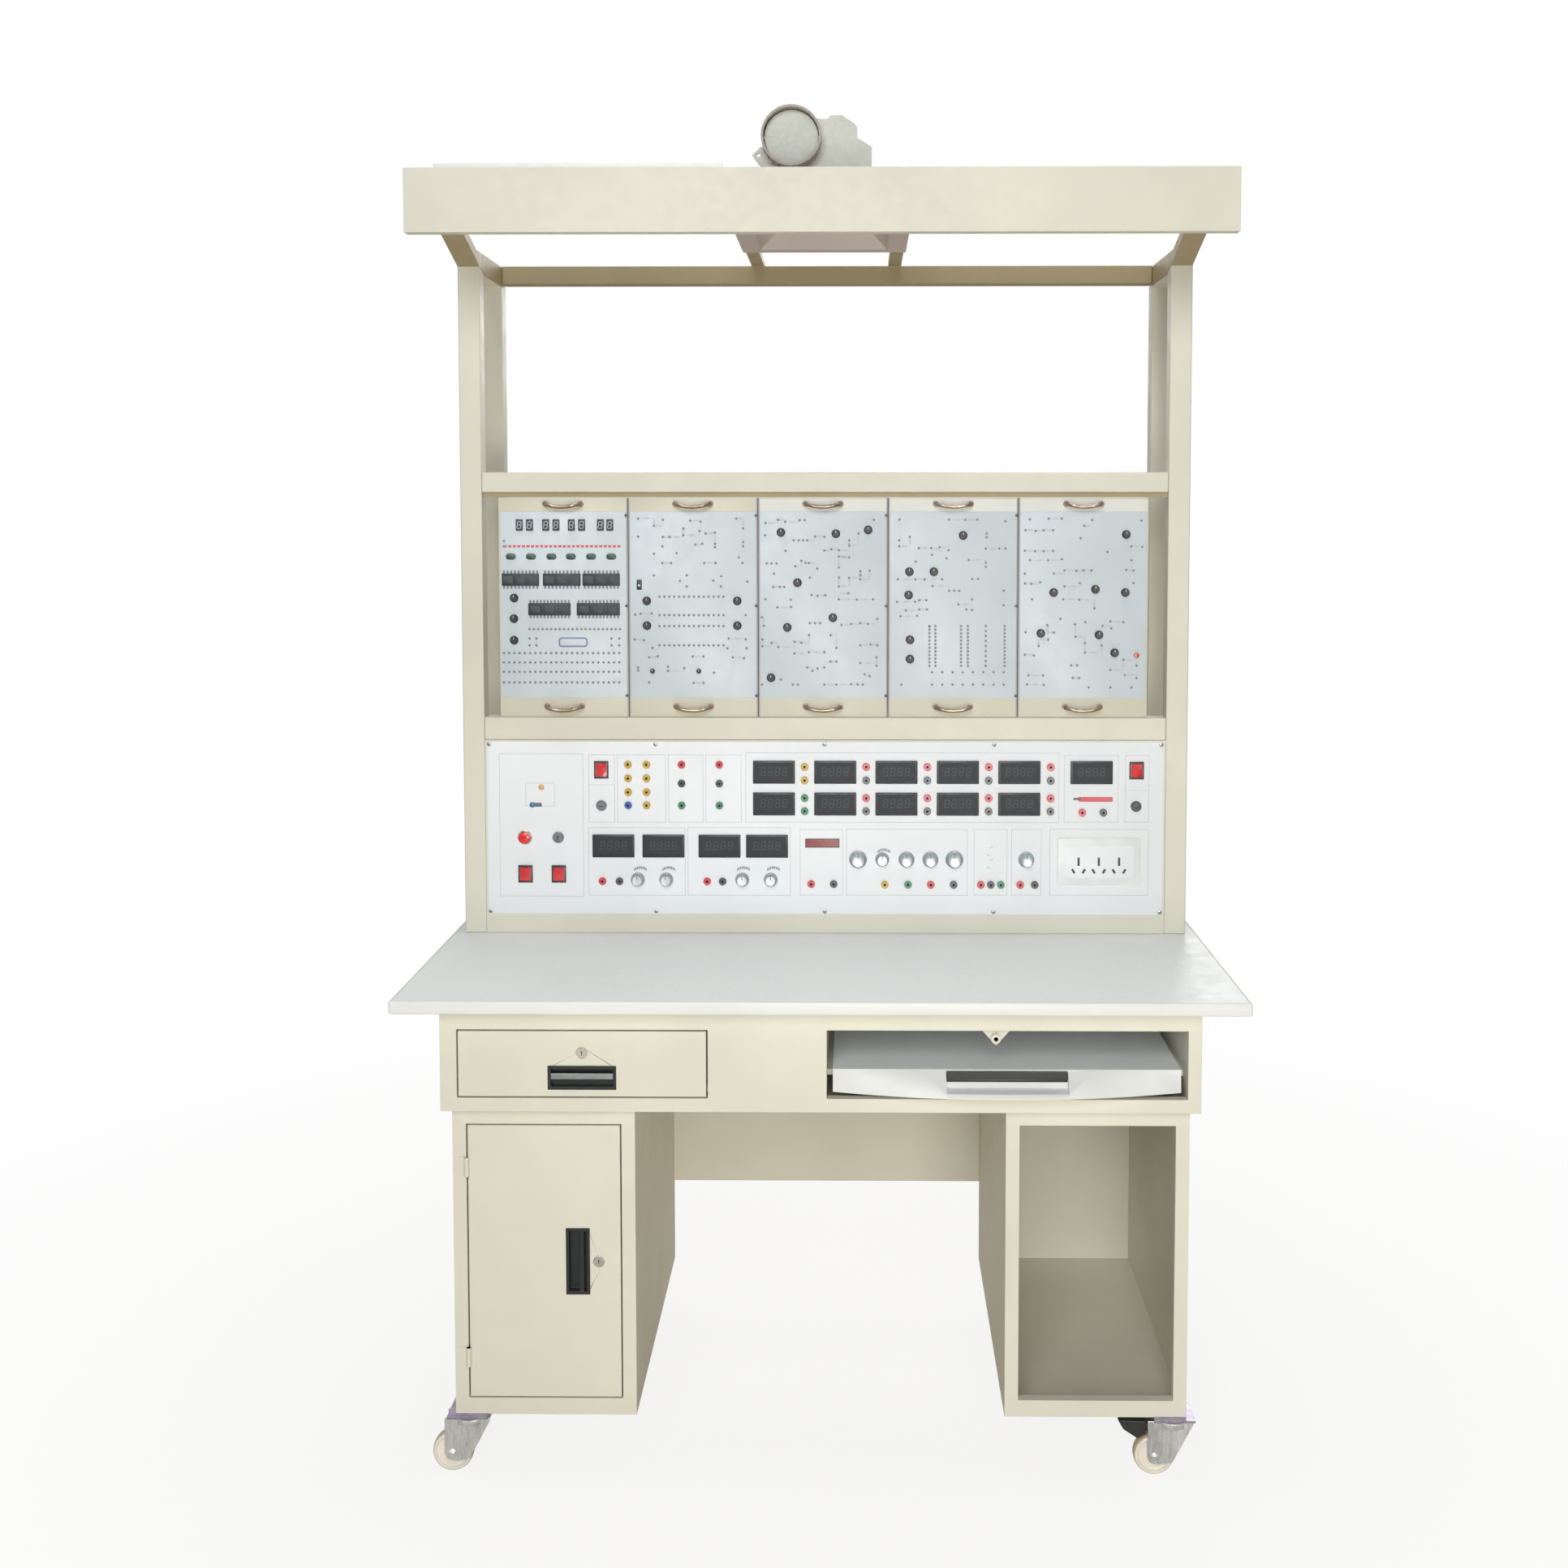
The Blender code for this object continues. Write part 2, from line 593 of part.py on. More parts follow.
def fuse(base, *shapes):
    return combine(base, list(shapes), "UNION")


def cut(base, *shapes):
    return combine(base, list(shapes), "DIFFERENCE")


def finish(obj, material, collection, origin=None, smooth=False):
    """Give a finished piece its material, its collection and its origin."""
    obj.data.materials.clear()
    obj.data.materials.append(material)
    for holder in list(obj.users_collection):
        holder.objects.unlink(obj)
    collection.objects.link(obj)
    if origin is not None:
        obj.data.transform(Matrix.Translation(-Vector(origin)))
        obj.location = origin
    if smooth:
        obj.data.shade_smooth()
        obj.data.set_sharp_from_angle(angle=math.radians(35.0))
    return obj


# Desk

def worktop():
    half = WORKTOP_WIDTH / 2
    top = block(
        "worktop", (-half, WORKTOP_FRONT, APRON_TOP), (half, WORKTOP_REAR, WORKTOP_TOP))
    bevel = top.modifiers.new("Edge", "BEVEL")
    bevel.width = WORKTOP_EDGE_RADIUS
    bevel.segments = 2
    apply_modifiers(top)
    return top


def drawer_runners():
    """Two ledges that carry the drawer box, one on each side of its opening."""
    front = APRON_FRONT + FRONT_FOLD + RUNNING_GAP
    rear = front + DRAWER_DEPTH
    level = OPENING_BOTTOM + DRAWER_BOX_LIFT - SEAT_GAP
    box_left = DRAWER_LEFT + DRAWER_BOX_SIDE_SPACE
    box_right = DRAWER_RIGHT - DRAWER_BOX_SIDE_SPACE
    left = block(
        "runner_left", (DRAWER_LEFT - WELD_DEPTH, front, level - RUNNER_HEIGHT),
        (box_left + RUNNER_LIP, rear, level))
    right = block(
        "runner_right", (box_right - RUNNER_LIP, front, level - RUNNER_HEIGHT),
        (DRAWER_RIGHT + WELD_DEPTH, rear, level))
    return left, right


def tray_slides():
    """Two ledges that carry the keyboard tray by its edges."""
    front = APRON_FRONT + TRAY_RECESS + TRAY_FACE_FOOT + RUNNING_GAP
    rear = front + TRAY_DEPTH
    level = TRAY_TOP - TRAY_THICKNESS - SEAT_GAP
    tray_left = TRAY_CENTRE - TRAY_WIDTH / 2
    tray_right = TRAY_CENTRE + TRAY_WIDTH / 2
    left = block(
        "slide_left", (TRAY_OPENING_LEFT - WELD_DEPTH, front, level - RUNNER_HEIGHT),
        (tray_left + RUNNER_LIP, rear, level))
    right = block(
        "slide_right", (tray_right - RUNNER_LIP, front, level - RUNNER_HEIGHT),
        (TRAY_OPENING_RIGHT + WELD_DEPTH, rear, level))
    return left, right


def partition(name, left, right):
    """Upright wall inside the desk frame, behind its front."""
    return block(
        name, (left, APRON_FRONT + FRONT_FOLD - WELD_DEPTH, APRON_BOTTOM + SHEET - WELD_DEPTH / 2),
        (right, CABINET_REAR - SHEET / 2, APRON_TOP - SEAT_GAP))


def desk_frame():
    """Sheet metal box under the worktop with a drawer opening and a keyboard opening."""
    half = APRON_WIDTH / 2
    top = APRON_TOP - SEAT_GAP
    frame = block("desk_frame", (-half, APRON_FRONT, APRON_BOTTOM), (half, CABINET_REAR, top))
    cut(frame, block(
        "inside", (-half + SHEET, APRON_FRONT + FRONT_FOLD, APRON_BOTTOM + SHEET),
        (half - SHEET, CABINET_REAR - SHEET, top + CUT_OVERRUN)))
    front = APRON_FRONT - CUT_OVERRUN
    back = APRON_FRONT + FRONT_FOLD + CUT_OVERRUN
    cut(
        frame,
        block("drawer_hole", (DRAWER_LEFT, front, OPENING_BOTTOM), (DRAWER_RIGHT, back, OPENING_TOP)),
        block(
            "tray_hole", (TRAY_OPENING_LEFT, front, OPENING_BOTTOM),
            (TRAY_OPENING_RIGHT, back, OPENING_TOP)))
    fuse(
        frame,
        partition("wall_drawer_left", DRAWER_LEFT - WELD_DEPTH, DRAWER_LEFT),
        partition("wall_drawer_right", DRAWER_RIGHT, DRAWER_RIGHT + WELD_DEPTH),
        partition("wall_tray_left", TRAY_OPENING_LEFT - WELD_DEPTH, TRAY_OPENING_LEFT),
        partition("wall_tray_right", TRAY_OPENING_RIGHT, TRAY_OPENING_RIGHT + WELD_DEPTH))
    fuse(frame, *drawer_runners(), *tray_slides())
    return fuse(frame, tray_catch())


def tray_catch():
    """Hasp lug that hangs from the top edge of the keyboard opening."""
    front = APRON_FRONT + FRONT_FOLD / 2
    centre = TRAY_CENTRE - CATCH_SHIFT
    outline = (
        (centre - CATCH_WIDTH / 2, OPENING_TOP + WELD_DEPTH),
        (centre - CATCH_WIDTH / 2, OPENING_TOP),
        (centre, OPENING_TOP - CATCH_DROP),
        (centre + CATCH_WIDTH / 2, OPENING_TOP),
        (centre + CATCH_WIDTH / 2, OPENING_TOP + WELD_DEPTH),
    )
    lug = slab("catch", outline, front, front + CATCH_THICKNESS, "Y")
    hole = rod(
        "catch_hole", CATCH_HOLE_RADIUS,
        (centre, front - CUT_OVERRUN, OPENING_TOP - CATCH_DROP / 2), CATCH_THICKNESS + CUT_OVERRUN * 2,
        segments=JACK_SEGMENTS)
    return cut(lug, hole)


def drawer():
    """Drawer front with its box behind, open on top."""
    low = OPENING_BOTTOM + DOOR_GAP
    high = OPENING_TOP - DOOR_GAP
    left = DRAWER_LEFT + DOOR_GAP
    right = DRAWER_RIGHT - DOOR_GAP
    back = APRON_FRONT + FRONT_FOLD
    piece = block("drawer", (left, APRON_FRONT, low), (right, back, high))
    box_left = DRAWER_LEFT + DRAWER_BOX_SIDE_SPACE
    box_right = DRAWER_RIGHT - DRAWER_BOX_SIDE_SPACE
    floor = OPENING_BOTTOM + DRAWER_BOX_LIFT
    box_top = high - DRAWER_BOX_DROP
    rear = APRON_FRONT + DRAWER_DEPTH
    box = block("drawer_box", (box_left, back - WELD_DEPTH, floor), (box_right, rear, box_top))
    cut(box, block(
        "drawer_inside", (box_left + SHEET, back, floor + SHEET),
        (box_right - SHEET, rear - SHEET, box_top + CUT_OVERRUN)))
    fuse(piece, box)
    pull_x, pull_z = drawer_pull_place()
    cut(piece, pull_hole(pull_x, pull_z, PULL_LENGTH, PULL_HEIGHT, APRON_FRONT))
    lock_z = drawer_lock_height()
    return cut(piece, lock_hole(pull_x, lock_z, APRON_FRONT))


def drawer_pull_place():
    return (DRAWER_LEFT + DRAWER_RIGHT) / 2, OPENING_BOTTOM + DRAWER_HEIGHT * DRAWER_PULL_Z_SHARE


def drawer_lock_height():
    return OPENING_BOTTOM + DRAWER_HEIGHT * DRAWER_LOCK_Z_SHARE


def pull_hole(x, z, width, height, face):
    """Hole in a front that takes the cup of a flush pull."""
    across = width / 2 - PULL_FLANGE
    up = height / 2 - PULL_FLANGE
    return block(
        "pull_hole", (x - across, face - CUT_OVERRUN, z - up),
        (x + across, face + PULL_CUP_DEPTH + SEAT_GAP, z + up))


def lock_hole(x, z, face):
    return rod(
        "lock_hole", LOCK_BARREL_RADIUS + RUNNING_GAP, (x, face - CUT_OVERRUN, z),
        FRONT_FOLD + CUT_OVERRUN * 2)


def flush_pull(name, x, z, width, height, face):
    """Cup shaped pull with a thin flange and a bright grip bar across its mouth."""
    front = face - PULL_PROUD
    pull = block(
        name, (x - width / 2, front, z - height / 2), (x + width / 2, face - SEAT_GAP, z + height / 2))
    across = width / 2 - PULL_FLANGE - SEAT_GAP
    up = height / 2 - PULL_FLANGE - SEAT_GAP
    fuse(pull, block(
        "cup", (x - across, face - PULL_PROUD / 2, z - up), (x + across, face + PULL_CUP_DEPTH, z + up)))
    cut(pull, block(
        "cup_inside", (x - across + PULL_WALL, front - CUT_OVERRUN, z - up + PULL_WALL),
        (x + across - PULL_WALL, face + PULL_CUP_DEPTH - PULL_WALL, z + up - PULL_WALL)))
    if width > height:
        low = (x - across, face, z - PULL_BAR_HEIGHT / 2 + PULL_BAR_RISE)
        high = (x + across, face + PULL_BAR_DEPTH, z + PULL_BAR_HEIGHT / 2 + PULL_BAR_RISE)
    else:
        low = (x + PULL_BAR_RISE, face, z - up)
        high = (x + PULL_BAR_HEIGHT, face + PULL_BAR_DEPTH, z + up)
    return fuse(pull, block("grip", low, high))


def cam_lock(name, x, z, face, cam_length, pointing):
    """Lock cylinder through a front, with a cam at its back that points sideways or down."""
    front = face - LOCK_FACE_HEIGHT - SEAT_GAP
    back = face + FRONT_FOLD + RUNNING_GAP
    lock = rod(name, LOCK_FACE_RADIUS, (x, front, z), LOCK_FACE_HEIGHT, segments=KNOB_SEGMENTS)
    start = face - LOCK_FACE_HEIGHT / 2
    fuse(lock, rod("barrel", LOCK_BARREL_RADIUS, (x, start, z), back + LOCK_CAM_THICKNESS - start))
    half = LOCK_CAM_WIDTH / 2
    down = cam_length if pointing == "down" else half
    right = half if pointing == "down" else cam_length
    fuse(lock, block("cam", (x - half, back, z - down), (x + right, back + LOCK_CAM_THICKNESS, z + half)))
    across = KEY_SLOT_WIDTH / 2
    up = KEY_SLOT_LENGTH / 2
    return cut(lock, block(
        "key_slot", (x - across, front - CUT_OVERRUN, z - up), (x + across, face, z + up)))


# Keyboard tray

def tray_bow(share):
    """How far the tray's lower edge stands forward at a share of the width from the centre."""
    return TRAY_CORNER_LEAN + (TRAY_BOW - TRAY_CORNER_LEAN) * (1 - (share * 2) ** 2)


def keyboard_tray():
    """Flat tray with a front face that leans out to a bowed lower edge, and a finger recess in it."""
    crease = APRON_FRONT + TRAY_RECESS
    tray = tray_shell(crease, crease + TRAY_DEPTH)
    grip_top = TRAY_TOP - TRAY_GRIP_DROP
    grip_low = grip_top - TRAY_GRIP_HEIGHT
    half = TRAY_GRIP_WIDTH / 2
    return cut(tray, block(
        "grip", (TRAY_CENTRE - half, crease - TRAY_BOW - CUT_OVERRUN, grip_low),
        (TRAY_CENTRE + half, tray_grip_back(), grip_top)))


def tray_grip_back():
    return APRON_FRONT + TRAY_RECESS - TRAY_BOW + TRAY_GRIP_DEPTH


def tray_shell(crease, rear):
    """Tray and its leaning front face, lofted along X from cross sections."""
    foot = TRAY_TOP - TRAY_FACE_HEIGHT
    under = TRAY_TOP - TRAY_THICKNESS
    bm = bmesh.new()
    rings = []
    for step in range(TRAY_BOW_STEPS + 1):
        share = step / TRAY_BOW_STEPS - 0.5
        x = TRAY_CENTRE + share * TRAY_WIDTH
        lip = crease - tray_bow(share)
        section = (
            (crease, TRAY_TOP), (lip, foot), (lip + TRAY_FACE_FOOT, foot), (crease + TRAY_FACE_FOOT, under),
            (rear, under), (rear, TRAY_TOP))
        rings.append([bm.verts.new((x, y, z)) for y, z in section])
    for first, second in zip(rings, rings[1:]):
        for i in range(len(first)):
            j = (i + 1) % len(first)
            bm.faces.new((first[i], first[j], second[j], second[i]))
    bm.faces.new(rings[0])
    bm.faces.new(list(reversed(rings[-1])))
    return add_object("keyboard_tray", mesh_from(bm, "keyboard_tray"))


def tray_handle():
    """Dark strip along the top of the finger recess."""
    back = tray_grip_back() - SEAT_GAP
    top = TRAY_TOP - TRAY_GRIP_DROP - SEAT_GAP
    half = TRAY_GRIP_WIDTH / 2 - SEAT_GAP
    return block(
        "tray_handle", (TRAY_CENTRE - half, back - TRAY_STRIP_DEPTH, top - TRAY_STRIP_HEIGHT),
        (TRAY_CENTRE + half, back, top))


# Cabinets

def castor_plate(x, y):
    """Plate and upper raceway of a castor, welded under a cabinet."""
    half = CASTOR_PLATE_SIZE / 2
    bottom = CASTOR_HEIGHT - CASTOR_PLATE_THICKNESS
    plate = block(
        "plate", (x - half, y - half, bottom), (x + half, y + half, CASTOR_HEIGHT + SHEET / 2))
    race = rod(
        "race", RACEWAY_RADIUS, (x, y, bottom - RACEWAY_HEIGHT), RACEWAY_HEIGHT + CASTOR_PLATE_THICKNESS / 2,
        axis="Z", segments=KNOB_SEGMENTS)
    return fuse(plate, race)


def castor_places(side):
    """Swivel axes of the two castors under one cabinet."""
    x = side * (CABINET_OUTER - CASTOR_INSET)
    return (x, CABINET_FRONT + CASTOR_INSET), (x, CABINET_REAR - CASTOR_INSET)


def cabinet_sides(side):
    """Left and right faces of a cabinet."""
    return (-CABINET_OUTER, -CABINET_INNER) if side < 0 else (CABINET_INNER, CABINET_OUTER)


def cabinet_opening(side):
    left, right = cabinet_sides(side)
    return (
        left + CABINET_STILE, right - CABINET_STILE,
        CABINET_BOTTOM + CABINET_BOTTOM_RAIL, APRON_BOTTOM - CABINET_TOP_RAIL)


def cabinet(name, side):
    """Open fronted sheet metal cabinet with its two castor plates."""
    left, right = cabinet_sides(side)
    top = APRON_BOTTOM - SEAT_GAP
    body = block(name, (left, CABINET_FRONT, CABINET_BOTTOM), (right, CABINET_REAR, top))
    cut(body, block(
        "inside", (left + SHEET, CABINET_FRONT + FRONT_FOLD, CABINET_BOTTOM + SHEET),
        (right - SHEET, CABINET_REAR - SHEET, top - SHEET)))
    open_left, open_right, low, high = cabinet_opening(side)
    cut(body, block(
        "mouth", (open_left, CABINET_FRONT - CUT_OVERRUN, low),
        (open_right, CABINET_FRONT + FRONT_FOLD + CUT_OVERRUN, high)))
    return fuse(body, *[castor_plate(x, y) for x, y in castor_places(side)])


def door_box():
    """Left, right, bottom and top of the cabinet door."""
    open_left, open_right, low, high = cabinet_opening(-1)
    return open_left + DOOR_GAP, open_right - DOOR_GAP, low + DOOR_GAP, high - DOOR_GAP


def door_pull_place():
    left, right, low, high = door_box()
    return left + (right - left) * DOOR_PULL_X_SHARE, low + (high - low) * DOOR_PULL_Z_SHARE


def door_lock_place():
    left, right, low, high = door_box()
    return left + (right - left) * DOOR_LOCK_X_SHARE, low + (high - low) * DOOR_PULL_Z_SHARE


def cabinet_door():
    """Folded tray door with holes for its pull and its lock."""
    left, right, low, high = door_box()
    front = CABINET_FRONT
    door = block("cabinet_door", (left, front, low), (right, front + FRONT_FOLD, high))
    cut(door, block(
        "fold", (left + DOOR_SKIN, front + DOOR_SKIN, low + DOOR_SKIN),
        (right - DOOR_SKIN, front + FRONT_FOLD + CUT_OVERRUN, high - DOOR_SKIN)))
    pull_x, pull_z = door_pull_place()
    lock_x, lock_z = door_lock_place()
    return cut(
        door, pull_hole(pull_x, pull_z, PULL_HEIGHT, PULL_LENGTH, front), lock_hole(lock_x, lock_z, front))


def hinge_axis():
    """X and Y of the door's hinge line, in the gap at its left edge and just proud of it."""
    return door_box()[0] - DOOR_GAP / 2, CABINET_FRONT - SEAT_GAP - HINGE_RADIUS


def door_hinge(name, share):
    """Hinge barrel with the leaf that is fixed to the cabinet."""
    x, y = hinge_axis()
    low, high = door_box()[2:]
    start = low + (high - low) * share - HINGE_LENGTH / 2
    barrel = rod(name, HINGE_RADIUS, (x, y, start), HINGE_LENGTH, axis="Z")
    leaf = block(
        "leaf", (x - HINGE_LEAF_WIDTH, CABINET_FRONT - SEAT_GAP - HINGE_LEAF_THICKNESS, start),
        (x, CABINET_FRONT - SEAT_GAP, start + HINGE_LENGTH))
    return fuse(barrel, leaf)


def modesty_panel():
    """Folded panel across the back of the knee space."""
    half = CABINET_INNER - SEAT_GAP
    top = APRON_BOTTOM - SEAT_GAP
    panel = block(
        "modesty_panel", (-half, CABINET_REAR - MODESTY_FOLD, top - MODESTY_DROP), (half, CABINET_REAR, top))
    return cut(panel, block(
        "fold", (-half + SHEET, CABINET_REAR - MODESTY_FOLD + SHEET, top - MODESTY_DROP + SHEET),
        (half - SHEET, CABINET_REAR + CUT_OVERRUN, top - SHEET)))


# Castors, modelled round their swivel axis and trailing towards -X

def fork_top():
    return CASTOR_HEIGHT - CASTOR_PLATE_THICKNESS - RACEWAY_HEIGHT - SEAT_GAP


def pedal_axis():
    """X and Z of a brake pedal's pivot, from its castor's swivel axis."""
    return -CASTOR_TRAIL - CHEEK_REAR + PEDAL_PIVOT_INSET, fork_top() - CROWN_HEIGHT


def cheek(name, low, high):
    """One side plate of a fork."""
    top = fork_top()
    foot = CHEEK_FOOT_RADIUS
    rear = -CASTOR_TRAIL - CHEEK_REAR
    corner = foot * CHEEK_CORNER_SHARE
    toe = -CASTOR_TRAIL + CHEEK_TOE
    outline = (
        (CHEEK_LEAD, top), (rear, top), (rear, WHEEL_RADIUS), (-CASTOR_TRAIL - corner, WHEEL_RADIUS - corner),
        (-CASTOR_TRAIL, WHEEL_RADIUS - foot), (-CASTOR_TRAIL + corner, WHEEL_RADIUS - foot),
        (toe, WHEEL_RADIUS - corner), (CHEEK_LEAD, top - CROWN_HEIGHT / 2),
    )
    return slab(name, outline, low, high, "Y")


def castor_fork(name):
    """Fork with its crown, two cheeks and the axle bolt."""
    inner = WHEEL_WIDTH / 2 + RUNNING_GAP
    outer = inner + CHEEK_THICKNESS
    top = fork_top()
    fork = rod(name, CROWN_RADIUS, (0, 0, top - CROWN_HEIGHT), CROWN_HEIGHT, axis="Z", segments=KNOB_SEGMENTS)
    fuse(fork, cheek("near", -outer, -inner), cheek("far", inner, outer))
    bolt_end = outer + AXLE_RADIUS
    return fuse(fork, rod(
        "axle", AXLE_RADIUS, (-CASTOR_TRAIL, -bolt_end, WHEEL_RADIUS), bolt_end * 2, segments=PIN_SEGMENTS))


def castor_wheel(name):
    """Wheel with a dished side and a bore for the axle."""
    half = WHEEL_WIDTH / 2
    bore = AXLE_RADIUS + SEAT_GAP
    rim = WHEEL_RADIUS - WHEEL_RIM_DEPTH
    web = half - WHEEL_RIM_DEPTH
    profile = (
        (bore, half), (WHEEL_HUB_RADIUS, half), (WHEEL_HUB_RADIUS, web), (rim - WHEEL_EDGE, web),
        (rim - WHEEL_EDGE, half), (rim, half), (WHEEL_RADIUS, half - WHEEL_EDGE),
        (WHEEL_RADIUS, WHEEL_EDGE - half), (rim, -half), (rim - WHEEL_EDGE, -half),
        (rim - WHEEL_EDGE, -web), (WHEEL_HUB_RADIUS, -web), (WHEEL_HUB_RADIUS, -half), (bore, -half),
    )
    return turned(name, profile, (-CASTOR_TRAIL, 0, WHEEL_RADIUS), segments=WHEEL_SEGMENTS)


def brake_pedal(name):
    """Wedge shaped pedal with a tongue held between the cheeks."""
    pivot_x, pivot_z = pedal_axis()
    start = -CASTOR_TRAIL - CHEEK_REAR - PEDAL_STEP
    top = CASTOR_HEIGHT - CASTOR_PLATE_THICKNESS - PEDAL_HEADROOM
    low = WHEEL_RADIUS * 2 - PEDAL_STEP
    outline = [
        (start - along * PEDAL_LENGTH, low + up * (top - low)) for along, up in PEDAL_OUTLINE_SHARES]
    half = PEDAL_WIDTH / 2
    pedal = slab(name, outline, -half, half, "Y")
    across = WHEEL_WIDTH / 2 + RUNNING_GAP - SEAT_GAP
    tongue = block(
        "tongue", (start - PEDAL_TONGUE_LAP, -across, pivot_z - PEDAL_TONGUE_HEIGHT / 2),
        (pivot_x + PEDAL_PIVOT_INSET, across, pivot_z + PEDAL_TONGUE_HEIGHT / 2))
    return fuse(pedal, tongue)


# Upper frame

def side_frame(name, side):
    """Two posts, top and bottom rails and the sloping canopy arm, all in one flat outline."""
    inner = side * POST_INNER
    outer = side * FRAME_WIDTH / 2
    low, high = min(inner, outer), max(inner, outer)
    foot = WORKTOP_TOP + SEAT_GAP
    meet = FRAME_FRONT - (FRAME_TOP - ARM_ROOT - ARM_THICKNESS) / math.tan(ARM_SLOPE)
    outline = (
        (FRAME_FRONT, foot), (FRAME_REAR, foot), (FRAME_REAR, FRAME_TOP), (meet, FRAME_TOP),
        (ARM_END, ARM_END_HIGH), (ARM_END, ARM_END_LOW), (FRAME_FRONT, ARM_ROOT),
    )
    frame = slab(name, outline, low, high, "X")
    return cut(frame, block(
        "window", (low - CUT_OVERRUN, FRAME_FRONT + POST_SIZE, foot + POST_SIZE),
        (high + CUT_OVERRUN, FRAME_REAR - POST_SIZE, FRAME_TOP - POST_SIZE)))


def front_rail(name, bottom, height):
    half = POST_INNER - SEAT_GAP
    low = WORKTOP_TOP + bottom
    return block(name, (-half, FRAME_FRONT, low), (half, FRAME_FRONT + RAIL_DEPTH, low + height))


def extractor_bars():
    """Places of the two flat bars that carry the extractor hood, as (left, right) pairs."""
    centre = BAR_SPACING / 2
    half = BAR_WIDTH / 2
    return (-centre - half, -centre + half), (centre - half, centre + half)


def rear_crossbar():
    """Rail between the rear posts with the two bars that reach forward into the hood."""
    half = POST_INNER - SEAT_GAP
    bar = block(
        "rear_crossbar", (-half, FRAME_REAR - POST_SIZE, FRAME_TOP - CROSSBAR_HEIGHT),
        (half, FRAME_REAR, FRAME_TOP))
    carriers = [
        block("carrier", (left, HOOD_FRONT + HOOD_WALL + SEAT_GAP, FRAME_TOP), (right, FRAME_REAR, BAR_TOP))
        for left, right in extractor_bars()]
    roots = [
        block(
            "root", (left, FRAME_REAR - POST_SIZE + WELD_DEPTH, FRAME_TOP - WELD_DEPTH),
            (right, FRAME_REAR - WELD_DEPTH, FRAME_TOP + WELD_DEPTH))
        for left, right in extractor_bars()]
    fuse(bar, *roots)
    return fuse(bar, *carriers)


def fascia():
    """Canopy board: a long shallow tray, open to the back."""
    half = FASCIA_WIDTH / 2
    bottom = FASCIA_TOP - FASCIA_HEIGHT
    board = block(
        "fascia", (-half, FASCIA_FRONT, bottom), (half, FASCIA_FRONT + FASCIA_RETURN, FASCIA_TOP))
    return cut(board, block(
        "fold", (-half + SHEET, FASCIA_FRONT + SHEET, bottom + SHEET),
        (half - SHEET, FASCIA_FRONT + FASCIA_RETURN + CUT_OVERRUN, FASCIA_TOP - SHEET)))


def batten_box():
    """Corners of the lamp's batten, seated on the fascia's upper return."""
    front = FASCIA_FRONT + FASCIA_RETURN + SEAT_GAP
    top = FASCIA_TOP + BATTEN_RISE
    return (
        (BATTEN_RIGHT_END - BATTEN_LENGTH, front, top - BATTEN_HEIGHT),
        (BATTEN_RIGHT_END, front + BATTEN_DEPTH, top))


def lamp_batten():
    """Batten with its two lamp holders."""
    low, high = batten_box()
    batten = block("lamp_batten", low, high)
    middle = (low[1] + high[1]) / 2
    holders = []
    for x in (low[0] + HOLDER_INSET, high[0] - HOLDER_INSET - HOLDER_WIDTH):
        holders.append(block(
            "holder", (x, middle - HOLDER_DEPTH / 2, low[2] - HOLDER_DROP),
            (x + HOLDER_WIDTH, middle + HOLDER_DEPTH / 2, low[2] + WELD_DEPTH)))
    return fuse(batten, *holders)


def lamp_tube():
    low, high = batten_box()
    start = low[0] + HOLDER_INSET + HOLDER_WIDTH + SEAT_GAP
    end = high[0] - HOLDER_INSET - HOLDER_WIDTH - SEAT_GAP
    return rod(
        "lamp_tube", TUBE_RADIUS, (start, (low[1] + high[1]) / 2, low[2] - TUBE_DROP), end - start, axis="X")


# Fume extractor

def extractor_hood():
    """Box with a downward funnel, a throat up to its top, and a pocket at each side for a bar."""
    half = HOOD_WIDTH / 2
    base = HOOD_BASE
    back = HOOD_FRONT + HOOD_DEPTH
    hood = block("extractor_hood", (-half, HOOD_FRONT, base), (half, back, HOOD_TOP))
    middle = (HOOD_FRONT + back) / 2
    mouth = (HOOD_WIDTH - HOOD_LIP * 2, HOOD_DEPTH - HOOD_LIP * 2)
    throat = (HOOD_THROAT, HOOD_THROAT)
    cut(hood, funnel("funnel", middle, base - CUT_OVERRUN, base + HOOD_FUNNEL_HEIGHT, mouth, throat))
    for left, right in extractor_bars():
        cut(hood, block(
            "pocket", (left - SEAT_GAP, HOOD_FRONT + HOOD_WALL, FRAME_TOP - SEAT_GAP),
            (right + SEAT_GAP, back + CUT_OVERRUN, BAR_TOP + SEAT_GAP)))
    return cut(hood, block(
        "throat", (-HOOD_THROAT / 2, middle - HOOD_THROAT / 2, base + HOOD_FUNNEL_HEIGHT - CUT_OVERRUN),
        (HOOD_THROAT / 2, middle + HOOD_THROAT / 2, HOOD_TOP - HOOD_WALL)))


def funnel(name, middle, low, high, mouth, throat):
    """Four sided taper from a wide mouth below to a throat above."""
    bm = bmesh.new()
    bmesh.ops.create_cube(bm, size=1.0)
    for vert in bm.verts:
        width, depth = mouth if vert.co.z < 0 else throat
        vert.co.x *= width
        vert.co.y = middle + vert.co.y * depth
        vert.co.z = low if vert.co.z < 0 else high
    return add_object(name, mesh_from(bm, name))


